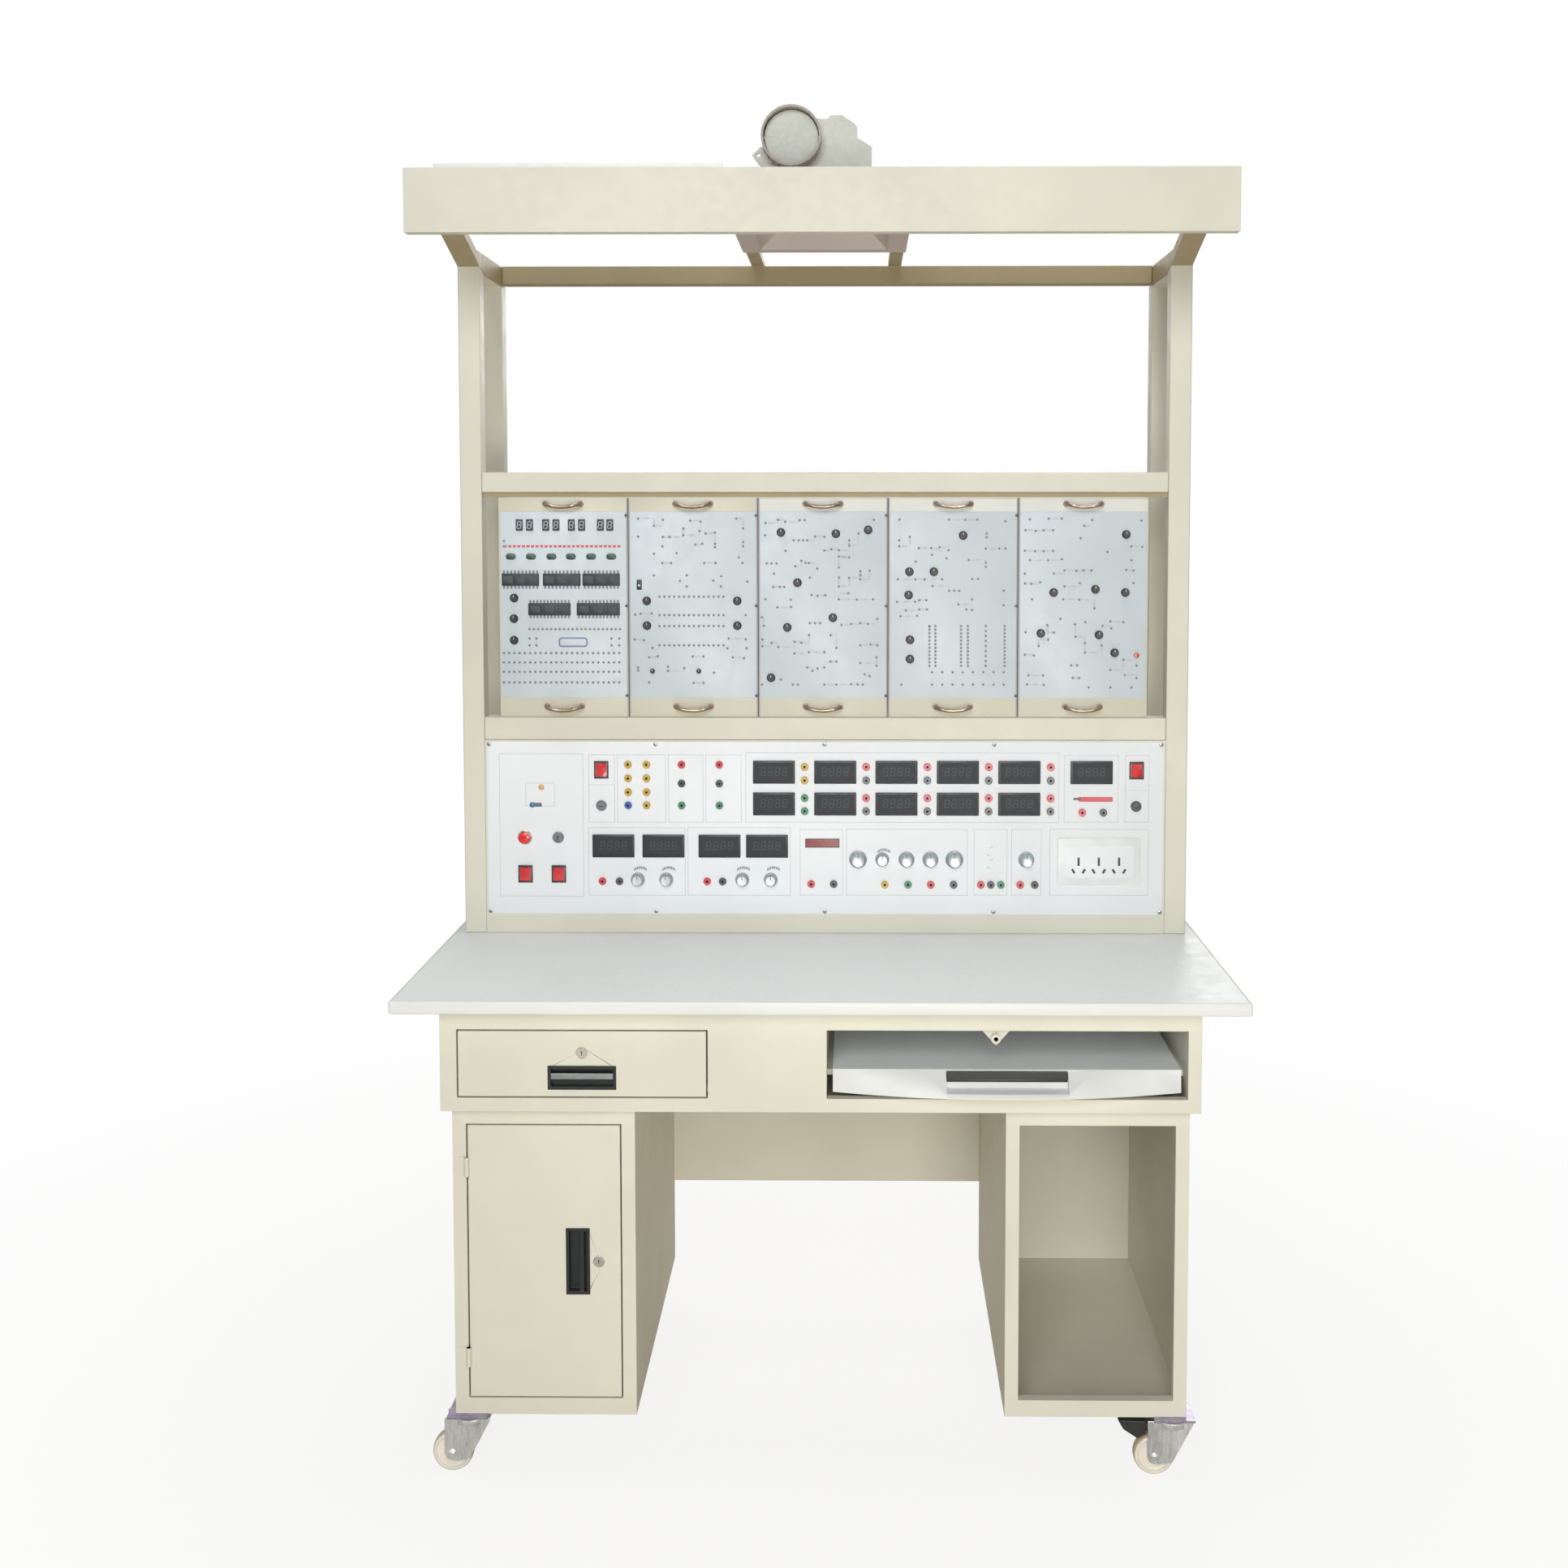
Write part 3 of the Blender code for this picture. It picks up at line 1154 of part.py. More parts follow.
def blower_housing():
    """Scroll of the fan with its duct collar, its foot and a fixing lug."""
    back = BLOWER_FRONT + BLOWER_DEPTH
    outline = [
        (BLOWER_LEFT + across * BLOWER_WIDTH, BLOWER_BASE + up * BLOWER_HEIGHT)
        for across, up in BLOWER_OUTLINE_SHARES]
    housing = slab("blower_housing", outline, BLOWER_FRONT, back, "Y")
    drum_radius = DUCT_RADIUS - DUCT_WALL / 2
    fuse(housing, rod(
        "drum", drum_radius, (DUCT_X, BLOWER_FRONT + WELD_DEPTH / 2, DUCT_Z), BLOWER_DEPTH - WELD_DEPTH,
        segments=DUCT_SEGMENTS))
    fuse(housing, block(
        "foot", (BLOWER_LEFT, BLOWER_FRONT + WELD_DEPTH, BLOWER_BASE),
        (DUCT_X + DUCT_RADIUS / 2, back - WELD_DEPTH, BLOWER_BASE + BLOWER_FOOT_HEIGHT)))
    fuse(housing, rod(
        "collar", DUCT_RADIUS, (DUCT_X, BLOWER_FRONT - DUCT_LENGTH, DUCT_Z), DUCT_LENGTH + WELD_DEPTH,
        segments=DUCT_SEGMENTS))
    fuse(housing, blower_lug())
    return cut(housing, rod(
        "bore", DUCT_RADIUS - DUCT_WALL, (DUCT_X, BLOWER_FRONT - DUCT_LENGTH - CUT_OVERRUN, DUCT_Z),
        DUCT_BORE_DEPTH + CUT_OVERRUN, segments=DUCT_SEGMENTS))


def blower_lug():
    """Pointed fixing lug with a hole at the left of the duct collar."""
    right = DUCT_X - DUCT_RADIUS + LUG_REACH / 2
    left = right - LUG_REACH
    front = BLOWER_FRONT + WELD_DEPTH
    bottom = BLOWER_BASE + LUG_LIFT
    outline = [
        (left + across * LUG_REACH, bottom + up * LUG_HEIGHT)
        for across, up in LUG_OUTLINE_SHARES]
    lug = slab("lug", outline, front, front + LUG_THICKNESS, "Y")
    return cut(lug, rod(
        "lug_hole", LUG_HOLE_RADIUS,
        (left + LUG_REACH * LUG_HOLE_ACROSS_SHARE, front - CUT_OVERRUN,
         bottom + LUG_HEIGHT * LUG_HOLE_UP_SHARE),
        LUG_THICKNESS + CUT_OVERRUN * 2, segments=JACK_SEGMENTS))


def blower_motor():
    """Motor can with a bearing nose, behind the scroll."""
    start = BLOWER_FRONT + BLOWER_DEPTH + SEAT_GAP
    centre = (MOTOR_X, start, BLOWER_BASE + MOTOR_RADIUS + WELD_DEPTH)
    motor = rod("blower_motor", MOTOR_RADIUS, centre, MOTOR_LENGTH, segments=KNOB_SEGMENTS)
    nose = (MOTOR_X, start + MOTOR_LENGTH - WELD_DEPTH, BLOWER_BASE + MOTOR_RADIUS + WELD_DEPTH)
    return fuse(motor, rod("nose", MOTOR_NOSE_RADIUS, nose, MOTOR_NOSE_LENGTH + WELD_DEPTH))


def damper_centre():
    return DUCT_X, BLOWER_FRONT - DUCT_LENGTH + DAMPER_SETBACK, DUCT_Z


def duct_damper():
    """Butterfly disc on a level spindle inside the duct collar."""
    x, y, z = damper_centre()
    bore = DUCT_RADIUS - DUCT_WALL
    disc = rod(
        "duct_damper", bore - DAMPER_CLEARANCE, (x, y - DAMPER_THICKNESS / 2, z), DAMPER_THICKNESS,
        segments=DUCT_SEGMENTS)
    reach = bore * math.cos(math.pi / DUCT_SEGMENTS) - SEAT_GAP
    return fuse(disc, rod(
        "spindle", SPINDLE_RADIUS, (x - reach, y, z), reach * 2, axis="X", segments=JACK_SEGMENTS))


# Instrument case and panel

def instrument_case():
    """Box behind the instrument panel, open at the front where the panel covers it."""
    half = POST_INNER - SEAT_GAP
    foot = WORKTOP_TOP + SEAT_GAP
    top = WORKTOP_TOP + MIDDLE_RAIL_BOTTOM - SEAT_GAP
    back = FRAME_FRONT + CASE_DEPTH
    case = block("instrument_case", (-half, FRAME_FRONT, foot), (half, back, top))
    cut(case, block(
        "inside", (-half + SHEET, FRAME_FRONT + SHEET, foot + SHEET),
        (half - SHEET, back - SHEET, top - SHEET)))
    margin = CASE_WINDOW_MARGIN
    cut(case, block(
        "window", (-half + margin, FRAME_FRONT - CUT_OVERRUN, foot + CASE_FOOT + margin),
        (half - margin, FRAME_FRONT + SHEET + CUT_OVERRUN, top - margin)))
    place = (
        -half + half * 2 * GLAND_X_SHARE, back - SHEET / 2, foot + (top - foot) * GLAND_Z_SHARE)
    return fuse(case, rod("gland", GLAND_RADIUS, place, GLAND_LENGTH))


def panel_point(shares):
    """X and Z of a place on the instrument panel."""
    across, up = shares
    return PANEL_LEFT + across * PANEL_WIDTH, PANEL_BOTTOM + up * PANEL_HEIGHT


def face_block(name, shares, width, height, proud):
    x, z = panel_point(shares)
    return block(
        name, (x - width / 2, PANEL_FACE - proud, z - height / 2),
        (x + width / 2, PANEL_FACE + PANEL_THICKNESS / 2, z + height / 2))


def face_recess(shares, width, height, proud, depth):
    x, z = panel_point(shares)
    front = PANEL_FACE - proud
    return block(
        "recess", (x - width / 2, front - CUT_OVERRUN, z - height / 2),
        (x + width / 2, front + depth, z + height / 2))


def face_rod(name, place, radius, proud, segments=JACK_SEGMENTS):
    x, z = place
    return rod(
        name, radius, (x, PANEL_FACE - proud, z), proud + PANEL_THICKNESS / 2, segments=segments)


def panel_screw_places():
    """Ten fixing screws: five along the top edge and five along the bottom edge."""
    places = []
    for step in range(5):
        x = PANEL_LEFT + SCREW_INSET + (PANEL_WIDTH - SCREW_INSET * 2) * step / 4
        places.append((x, PANEL_BOTTOM + PANEL_HEIGHT - SCREW_INSET))
        places.append((x, PANEL_BOTTOM + SCREW_INSET))
    return places


def instrument_panel():
    """Panel plate with its meters, jacks, fuse holders, switch frames, screws and socket plate."""
    panel = block(
        "instrument_panel", (PANEL_LEFT, PANEL_FACE, PANEL_BOTTOM),
        (-PANEL_LEFT, PANEL_BACK, PANEL_BOTTOM + PANEL_HEIGHT))
    raised = [face_block("meter", shares, METER_WIDTH, METER_HEIGHT, METER_PROUD) for shares in METER_SHARES]
    raised.append(face_block("display", DISPLAY_PLACE_SHARES, DISPLAY_WIDTH, DISPLAY_HEIGHT, METER_PROUD))
    raised += [
        face_block("rocker_frame", shares, ROCKER_FRAME_WIDTH, ROCKER_FRAME_HEIGHT, ROCKER_FRAME_PROUD)
        for shares in ROCKER_SHARES.values()]
    raised.append(face_block(
        "sockets", SOCKET_SHARES, SOCKET_PLATE_WIDTH, SOCKET_PLATE_HEIGHT, SOCKET_PLATE_PROUD))
    raised += [face_rod("jack", panel_point(shares), JACK_RADIUS, JACK_PROUD) for shares in JACK_SHARES]
    raised += [
        face_rod("fuse", panel_point(shares), FUSE_RADIUS, FUSE_PROUD, PIN_SEGMENTS)
        for shares in FUSE_SHARES]
    raised += [face_rod("screw", place, SCREW_RADIUS, SCREW_PROUD) for place in panel_screw_places()]
    raised.append(face_rod(
        "collar", panel_point(BUTTON_SHARES), BUTTON_COLLAR_RADIUS, BUTTON_COLLAR_PROUD, KNOB_SEGMENTS))
    fuse(panel, *raised)
    hollows = [
        face_recess(
            shares, METER_WIDTH - METER_BEZEL * 2, METER_HEIGHT - METER_BEZEL * 2, METER_PROUD, METER_RECESS)
        for shares in METER_SHARES]
    hollows += [rocker_hole(shares) for shares in ROCKER_SHARES.values()]
    hollows.append(button_hole())
    return cut(panel, *hollows)


def rocker_hole(shares):
    x, z = panel_point(shares)
    across = ROCKER_WIDTH / 2 + ROCKER_CLEARANCE
    up = rocker_reach() + ROCKER_CLEARANCE
    return block(
        "rocker_hole", (x - across, PANEL_FACE - ROCKER_FRAME_PROUD - CUT_OVERRUN, z - up),
        (x + across, PANEL_BACK + CUT_OVERRUN, z + up))


def rocker_reach():
    """Half height of a rocker's sweep round its pivot."""
    return math.hypot(ROCKER_HEIGHT / 2, ROCKER_DEPTH / 2)


def button_hole():
    x, z = panel_point(BUTTON_SHARES)
    return rod(
        "button_hole", BUTTON_RADIUS + SEAT_GAP, (x, PANEL_FACE - BUTTON_COLLAR_PROUD - CUT_OVERRUN, z),
        BUTTON_COLLAR_PROUD + PANEL_THICKNESS + CUT_OVERRUN * 2, segments=KNOB_SEGMENTS)


def rocker_centre(name):
    x, z = panel_point(ROCKER_SHARES[name])
    return x, PANEL_FACE - ROCKER_FRAME_PROUD + ROCKER_DEPTH / 4, z


def rocker(name):
    """Rocker with two facets, resting with its lower end pressed in."""
    x, y, z = rocker_centre(name)
    half = ROCKER_HEIGHT / 2
    depth = ROCKER_DEPTH / 2
    valley = -depth * ROCKER_VALLEY_SHARE
    outline = ((depth, -half), (depth, half), (-depth, half), (valley, 0.0), (-depth, -half))
    tilt = Matrix.Rotation(ROCKER_TILT, 2)
    turned_outline = [tilt @ Vector(point) for point in outline]
    placed = [(y + point.x, z + point.y) for point in turned_outline]
    return slab(name, placed, x - ROCKER_WIDTH / 2, x + ROCKER_WIDTH / 2, "X")


def stop_button():
    """Red push button sliding in its collar."""
    x, z = panel_point(BUTTON_SHARES)
    length = BUTTON_PROUD + PANEL_THICKNESS / 2
    return rod(
        "stop_button", BUTTON_RADIUS, (x, PANEL_FACE - BUTTON_PROUD, z), length, segments=KNOB_SEGMENTS)


def key_switch():
    """Key barrel with its slot."""
    x, z = panel_point(KEY_SHARES)
    front = PANEL_FACE - SEAT_GAP - KEY_PROUD
    barrel = rod("key_switch", KEY_RADIUS, (x, front, z), KEY_PROUD, segments=KNOB_SEGMENTS)
    return cut(barrel, block(
        "key_slot", (x - KEY_SLOT_WIDTH / 2, front - CUT_OVERRUN, z - KEY_SLOT_LENGTH / 2),
        (x + KEY_SLOT_WIDTH / 2, front + KEY_SLOT_DEPTH, z + KEY_SLOT_LENGTH / 2)))


def control_knob(name, place, radius):
    """Turned knob with a skirt and a slightly narrower crown; its height runs out of the panel."""
    x, z = place
    crown = radius * KNOB_CROWN_SHARE
    skirt = KNOB_HEIGHT * KNOB_SKIRT_SHARE
    profile = (
        (0.0, 0.0), (crown - KNOB_EDGE, 0.0), (crown, KNOB_EDGE), (crown, KNOB_HEIGHT - skirt),
        (radius, KNOB_HEIGHT - skirt / 2), (radius, KNOB_HEIGHT), (0.0, KNOB_HEIGHT))
    front = PANEL_FACE - SEAT_GAP - KNOB_HEIGHT
    knob = turned(name, profile, (x, front, z))
    half = KNOB_POINTER_WIDTH / 2
    return cut(knob, block(
        "pointer", (x - half, front - CUT_OVERRUN, z + crown * KNOB_POINTER_SHARE),
        (x + half, front + KNOB_POINTER_DEPTH, z + crown + CUT_OVERRUN)))


# Circuit modules

def module_left(index):
    middle = MODULE_ROW_OFFSET + (index - (MODULE_COUNT - 1) / 2) * MODULE_PITCH
    return middle - MODULE_WIDTH / 2


def bow_handle(middle, level):
    """Bow handle with both ends in the module's face and a drop in its middle."""
    points = [
        (middle + across * HANDLE_SPAN / 2, MODULE_FACE - out * HANDLE_REACH, level - drop * HANDLE_DROP)
        for across, out, drop in HANDLE_PATH_SHARES]
    return bent_wire("handle", points, HANDLE_RADIUS)


def circuit_module(index):
    """Plug-in box with a raised board, its trimmer knobs and two bow handles."""
    left = module_left(index)
    right = left + MODULE_WIDTH
    top = MODULE_BOTTOM + MODULE_HEIGHT
    back = MODULE_FACE + MODULE_DEPTH
    module = block(f"module_{index + 1}", (left, MODULE_FACE, MODULE_BOTTOM), (right, back, top))
    cut(module, block(
        "inside", (left + MODULE_SHELL, MODULE_FACE + MODULE_SHELL * 2, MODULE_BOTTOM + MODULE_SHELL),
        (right - MODULE_SHELL, back + CUT_OVERRUN, top - MODULE_SHELL)))
    board_low = MODULE_BOTTOM + MODULE_FOOT_STRIP
    board_high = top - MODULE_STRIP
    board_left = left + BOARD_SIDE_MARGIN
    board_width = MODULE_WIDTH - BOARD_SIDE_MARGIN * 2
    fuse(module, block(
        "board", (board_left, MODULE_FACE - BOARD_PROUD, board_low),
        (board_left + board_width, MODULE_FACE + MODULE_SHELL, board_high)))
    knobs = []
    for across, up in TRIMMER_SHARES[index % len(TRIMMER_SHARES)]:
        place = (
            board_left + across * board_width, MODULE_FACE - BOARD_PROUD - TRIMMER_PROUD,
            board_low + up * (board_high - board_low))
        length = TRIMMER_PROUD + MODULE_SHELL
        knobs.append(rod("trimmer", TRIMMER_RADIUS, place, length, segments=JACK_SEGMENTS))
    fuse(module, *knobs)
    middle = (left + right) / 2
    return fuse(
        module, bow_handle(middle, top - MODULE_STRIP * HANDLE_LEVEL_SHARE),
        bow_handle(middle, MODULE_BOTTOM + MODULE_FOOT_STRIP * (1 - HANDLE_LEVEL_SHARE)))


# Putting the bench together

def place_castors(collection, zinc, nylon, black):
    """Four castors; the two on the right have brake pedals."""
    names = {(-1, 0): "front_left", (-1, 1): "rear_left", (1, 0): "front_right", (1, 1): "rear_right"}
    for (side, row), corner in names.items():
        x, y = castor_places(side)[row]
        fork = finish(castor_fork("castor_fork_" + corner), zinc, collection, smooth=True)
        fork.location = (x, y, 0)
        wheel = castor_wheel("castor_wheel_" + corner)
        finish(wheel, nylon, collection, origin=(-CASTOR_TRAIL, 0, WHEEL_RADIUS), smooth=True)
        wheel.parent = fork
        if side > 0:
            pivot_x, pivot_z = pedal_axis()
            pedal = finish(
                brake_pedal("brake_pedal_" + corner), black, collection, origin=(pivot_x, 0, pivot_z))
            pedal.parent = fork


def place_desk(collection, cream, white, black, steel):
    finish(worktop(), white, collection)
    finish(desk_frame(), cream, collection)
    finish(modesty_panel(), cream, collection)
    box = finish(drawer(), cream, collection, origin=(0, APRON_FRONT, OPENING_BOTTOM))
    pull_x, pull_z = drawer_pull_place()
    pull = flush_pull("drawer_pull", pull_x, pull_z, PULL_LENGTH, PULL_HEIGHT, APRON_FRONT)
    finish(pull, black, collection)
    pull.parent = box
    pull.matrix_parent_inverse = Matrix.Translation(-box.location)
    lock_z = drawer_lock_height()
    lock = cam_lock("drawer_lock", pull_x, lock_z, APRON_FRONT, DRAWER_CAM_LENGTH, "side")
    finish(lock, steel, collection, origin=(pull_x, APRON_FRONT, lock_z))
    lock.parent = box
    lock.matrix_parent_inverse = Matrix.Translation(-box.location)
    tray = finish(keyboard_tray(), white, collection, origin=(TRAY_CENTRE, APRON_FRONT, TRAY_TOP))
    strip = finish(tray_handle(), black, collection)
    strip.parent = tray
    strip.matrix_parent_inverse = Matrix.Translation(-tray.location)


def place_cabinets(collection, cream, black, steel):
    finish(cabinet("left_cabinet", -1), cream, collection)
    finish(cabinet("right_cabinet", 1), cream, collection)
    axis_x, axis_y = hinge_axis()
    door = finish(cabinet_door(), cream, collection, origin=(axis_x, axis_y, CABINET_BOTTOM))
    pull_x, pull_z = door_pull_place()
    pull = flush_pull("door_pull", pull_x, pull_z, PULL_HEIGHT, PULL_LENGTH, CABINET_FRONT)
    finish(pull, black, collection)
    lock_x, lock_z = door_lock_place()
    lock = cam_lock("door_lock", lock_x, lock_z, CABINET_FRONT, DOOR_CAM_LENGTH, "down")
    finish(lock, steel, collection, origin=(lock_x, CABINET_FRONT, lock_z))
    for piece in (pull, lock):
        piece.parent = door
        piece.matrix_parent_inverse = Matrix.Translation(-door.location)
    finish(door_hinge("door_hinge_upper", HINGE_UPPER_SHARE), steel, collection, smooth=True)
    finish(door_hinge("door_hinge_lower", HINGE_LOWER_SHARE), steel, collection, smooth=True)


def place_upper_frame(collection, cream, white, glass, grey, steel):
    finish(side_frame("side_frame_left", -1), cream, collection)
    finish(side_frame("side_frame_right", 1), cream, collection)
    finish(front_rail("middle_rail", MIDDLE_RAIL_BOTTOM, MIDDLE_RAIL_HEIGHT), cream, collection)
    finish(front_rail("upper_rail", UPPER_RAIL_BOTTOM, UPPER_RAIL_HEIGHT), cream, collection)
    finish(rear_crossbar(), cream, collection)
    finish(fascia(), cream, collection)
    finish(lamp_batten(), white, collection)
    finish(lamp_tube(), glass, collection, smooth=True)
    finish(extractor_hood(), grey, collection)
    finish(blower_housing(), grey, collection, smooth=True)
    finish(blower_motor(), steel, collection, smooth=True)
    finish(duct_damper(), grey, collection, origin=damper_centre(), smooth=True)


def place_instruments(collection, cream, white, red, grey, steel):
    finish(instrument_case(), cream, collection)
    finish(instrument_panel(), white, collection)
    for name in ROCKER_SHARES:
        finish(rocker(name), red, collection, origin=rocker_centre(name))
    x, z = panel_point(BUTTON_SHARES)
    finish(stop_button(), red, collection, origin=(x, PANEL_FACE, z), smooth=True)
    x, z = panel_point(KEY_SHARES)
    finish(key_switch(), steel, collection, origin=(x, PANEL_FACE, z), smooth=True)
    for index, (shares, radius) in enumerate(zip(KNOB_SHARES, KNOB_RADII)):
        place = panel_point(shares)
        knob = control_knob(f"knob_{index + 1}", place, radius)
        finish(knob, grey, collection, origin=(place[0], PANEL_FACE, place[1]), smooth=True)


def main():
    clear_scene()
    collection = new_collection("electronics_trainer_bench")
    cream = make_material("cream_paint", (0.72, 0.70, 0.58), 0.45)
    white = make_material("white_laminate", (0.80, 0.82, 0.83), 0.40)
    black = make_material("black_plastic", (0.03, 0.03, 0.035), 0.45)
    grey = make_material("grey_plastic", (0.60, 0.62, 0.60), 0.50)
    red = make_material("red_plastic", (0.70, 0.04, 0.04), 0.30)
    steel = make_material("plated_steel", (0.62, 0.62, 0.64), 0.30, 1.0)
    nylon = make_material("nylon", (0.85, 0.82, 0.74), 0.45)
    glass = make_material("lamp_glass", (0.92, 0.92, 0.90), 0.20)
    board = make_material("module_board", (0.76, 0.80, 0.82), 0.50)
    place_desk(collection, cream, white, black, steel)
    place_cabinets(collection, cream, black, steel)
    place_castors(collection, steel, nylon, black)
    place_upper_frame(collection, cream, white, glass, grey, steel)
    place_instruments(collection, cream, white, red, grey, steel)
    for index in range(MODULE_COUNT):
        finish(circuit_module(index), board, collection)


main()
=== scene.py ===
"""Looks of the electronics trainer bench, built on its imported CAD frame."""
import json
import math
import bmesh
import bpy
from mathutils import Matrix, Vector


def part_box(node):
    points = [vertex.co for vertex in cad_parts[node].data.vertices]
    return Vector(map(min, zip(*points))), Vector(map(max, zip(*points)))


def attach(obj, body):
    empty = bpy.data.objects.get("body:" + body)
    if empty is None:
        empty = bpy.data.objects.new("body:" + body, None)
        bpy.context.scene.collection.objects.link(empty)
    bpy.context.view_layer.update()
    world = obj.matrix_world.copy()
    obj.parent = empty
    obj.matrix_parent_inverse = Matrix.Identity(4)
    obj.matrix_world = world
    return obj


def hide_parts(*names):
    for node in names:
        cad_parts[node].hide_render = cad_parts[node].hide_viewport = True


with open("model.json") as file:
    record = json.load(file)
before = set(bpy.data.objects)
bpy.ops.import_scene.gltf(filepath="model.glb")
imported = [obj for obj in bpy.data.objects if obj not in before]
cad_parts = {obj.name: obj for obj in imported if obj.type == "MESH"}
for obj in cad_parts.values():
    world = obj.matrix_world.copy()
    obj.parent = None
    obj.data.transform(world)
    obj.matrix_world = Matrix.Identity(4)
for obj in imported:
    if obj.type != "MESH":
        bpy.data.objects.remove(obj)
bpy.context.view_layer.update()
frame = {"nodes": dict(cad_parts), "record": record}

# Camera, as fitted to the photograph
PHOTO_SIDE = 1932
SENSOR = 36.0
LENS = 39.46
SHIFT_X = -0.0355
SHIFT_Y = -0.1116
EYE = Vector((0.0599, -3.0870, 1.6159))
LOOK = (math.radians(86.69), 0.0, math.radians(0.57))

# Clearances
MERGE = 0.00001
PRINT_PROUD = 0.00012
SUNK = 0.0006
ROOTED = 0.0004
LEAN_LIMIT = 0.5
SHARP_ANGLE = 28.0
FLAT_ANGLE = 0.5
SAME_WAY = 0.99995
LEVEL_MERGE_ANGLE = 0.6

# Directions
FRONT = Vector((0.0, -1.0, 0.0))
UP = Vector((0.0, 0.0, 1.0))
RIGHT = Vector((1.0, 0.0, 0.0))

# Instrument panel, with places as shares of its width and height from its lower left corner
PANEL_THICKNESS = 0.002
PANEL_CORNER = 0.006
METER_SIZE = (0.0785, 0.043)
METER_PROUD = 0.004
METER_BEZEL = 0.0035
METER_RECESS = 0.0015
WINDOW_ROUND_SHARE = 0.28
METER_SHARES = (
    (0.4252, 0.8248), (0.5157, 0.8248), (0.6061, 0.8248), (0.6967, 0.8248), (0.7873, 0.8248),
    (0.4252, 0.6414), (0.5157, 0.6414), (0.6061, 0.6414), (0.6967, 0.6414), (0.7873, 0.6414),
    (0.8937, 0.8248), (0.1870, 0.3957), (0.2612, 0.3957), (0.3443, 0.3957), (0.4147, 0.3957),
)
DISPLAY_SHARES = (0.4966, 0.4135)
DISPLAY_SIZE = (0.064, 0.0167)
DISPLAY_PROUD = 0.0015
JACK_SHARES = {
    "yellow": (
        (0.2094, 0.868), (0.2094, 0.788), (0.2094, 0.708), (0.2367, 0.868), (0.2367, 0.788), (0.2367, 0.708),
        (0.2367, 0.632), (0.4705, 0.856), (0.4705, 0.778), (0.5891, 0.1745)),
    "blue": ((0.2094, 0.632),),
    "green": (
        (0.2886, 0.632), (0.3444, 0.632), (0.4705, 0.676), (0.4705, 0.600), (0.6235, 0.1745),
        (0.7608, 0.1745)),
    "red": (
        (0.2886, 0.868), (0.3444, 0.868), (0.5614, 0.856), (0.5614, 0.676), (0.6517, 0.856), (0.6517, 0.676),
        (0.7421, 0.856), (0.7421, 0.676), (0.8334, 0.856), (0.8334, 0.676), (0.8802, 0.594), (0.1704, 0.191),
        (0.3259, 0.191), (0.4801, 0.177), (0.6572, 0.1745), (0.7312, 0.1745), (0.7894, 0.1745)),
    "black": (
        (0.2886, 0.759), (0.3444, 0.759), (0.5614, 0.778), (0.5614, 0.600), (0.6517, 0.778), (0.6517, 0.600),
        (0.7421, 0.778), (0.7421, 0.600), (0.8334, 0.778), (0.8334, 0.600), (0.9114, 0.594), (0.1957, 0.191),
        (0.3488, 0.191), (0.5134, 0.177), (0.6910, 0.1745), (0.7460, 0.1745), (0.8110, 0.1745)),
}
JACK_TINTS = {
    "yellow": (0.62, 0.38, 0.03), "blue": (0.02, 0.09, 0.42), "green": (0.02, 0.22, 0.10),
    "red": (0.66, 0.02, 0.04), "black": (0.035, 0.038, 0.042),
}
PANEL_JACK = {
    "radius": 0.007, "height": 0.005, "chamfer": 0.0009, "bore_radius": 0.0024, "bore_depth": 0.004,
    "sides": 24}
FUSE_SHARES = ((0.1696, 0.6298), (0.9597, 0.6298))
FUSE_RADIUS = 0.010
FUSE_PROUD = 0.010
SOCKET_SHARES = (0.9051, 0.3113)
SOCKET_SIZE = (0.156, 0.089)
SOCKET_PROUD = 0.004
OUTLET_PITCH = 0.0378
OUTLET_SLOT_WIDTH = 0.0042
OUTLET_SLOT_HALF = 0.0058
OUTLET_PAIR_REACH = 0.0098
OUTLET_PAIR_DROP = 0.0180
ROCKERS = {
    "power_rocker_left": (0.0560, 0.2322), "power_rocker_right": (0.1055, 0.2322),
    "supply_rocker_left": (0.1698, 0.8368), "supply_rocker_right": (0.9600, 0.8368),
}
ROCKER_FRAME = (0.0268, 0.0327)
ROCKER_FRAME_PROUD = 0.003
ROCKER_OPENING = (0.0218, 0.0268)
BUTTON_SHARES = (0.0557, 0.4451)
BUTTON_COLLAR = 0.0135
PANEL_SCREW = {"radius": 0.004, "height": 0.0012, "crown": 0.0008, "slot": 0.0009, "sides": 24}
SCREW_INSET = 0.005
SCREW_MIDDLE_SHARES = (0.25, 0.5, 0.75)

# Printed lines round the panel's groups, as pixels of the photograph: left, top, right, bottom
PANEL_GROUP_PIXELS = (
    (617, 929, 718, 1104), (726, 930, 757, 1013), (761, 930, 820, 1013), (824, 930, 866, 1013),
    (870, 930, 913, 1013), (919, 928, 1305, 1013), (1311, 931, 1378, 1013), (1386, 931, 1416, 1013),
    (726, 1020, 844, 1103), (848, 1020, 974, 1103), (986, 1022, 1038, 1103), (1043, 1022, 1192, 1103),
    (1200, 1022, 1241, 1103), (1246, 1022, 1283, 1103), (1293, 1022, 1415, 1103),
)
PANEL_DIVIDER_PIXELS = ((726, 967, 757), (1386, 974, 1416))
LAMP_SQUARE_PIXELS = (648, 965, 683, 993)
AMBER_LAMP_PIXEL = (667, 970)
BLUE_LAMP_PIXEL = (656, 991.5)
LAMP_RADIUS = 0.0056
DIAL_MARK_PIXELS = ((789, 1070), (824, 1070), (916, 1070), (953, 1070), (1089, 1048))
DIAL_STEPS = 4
DIAL_PITCH = 0.0027
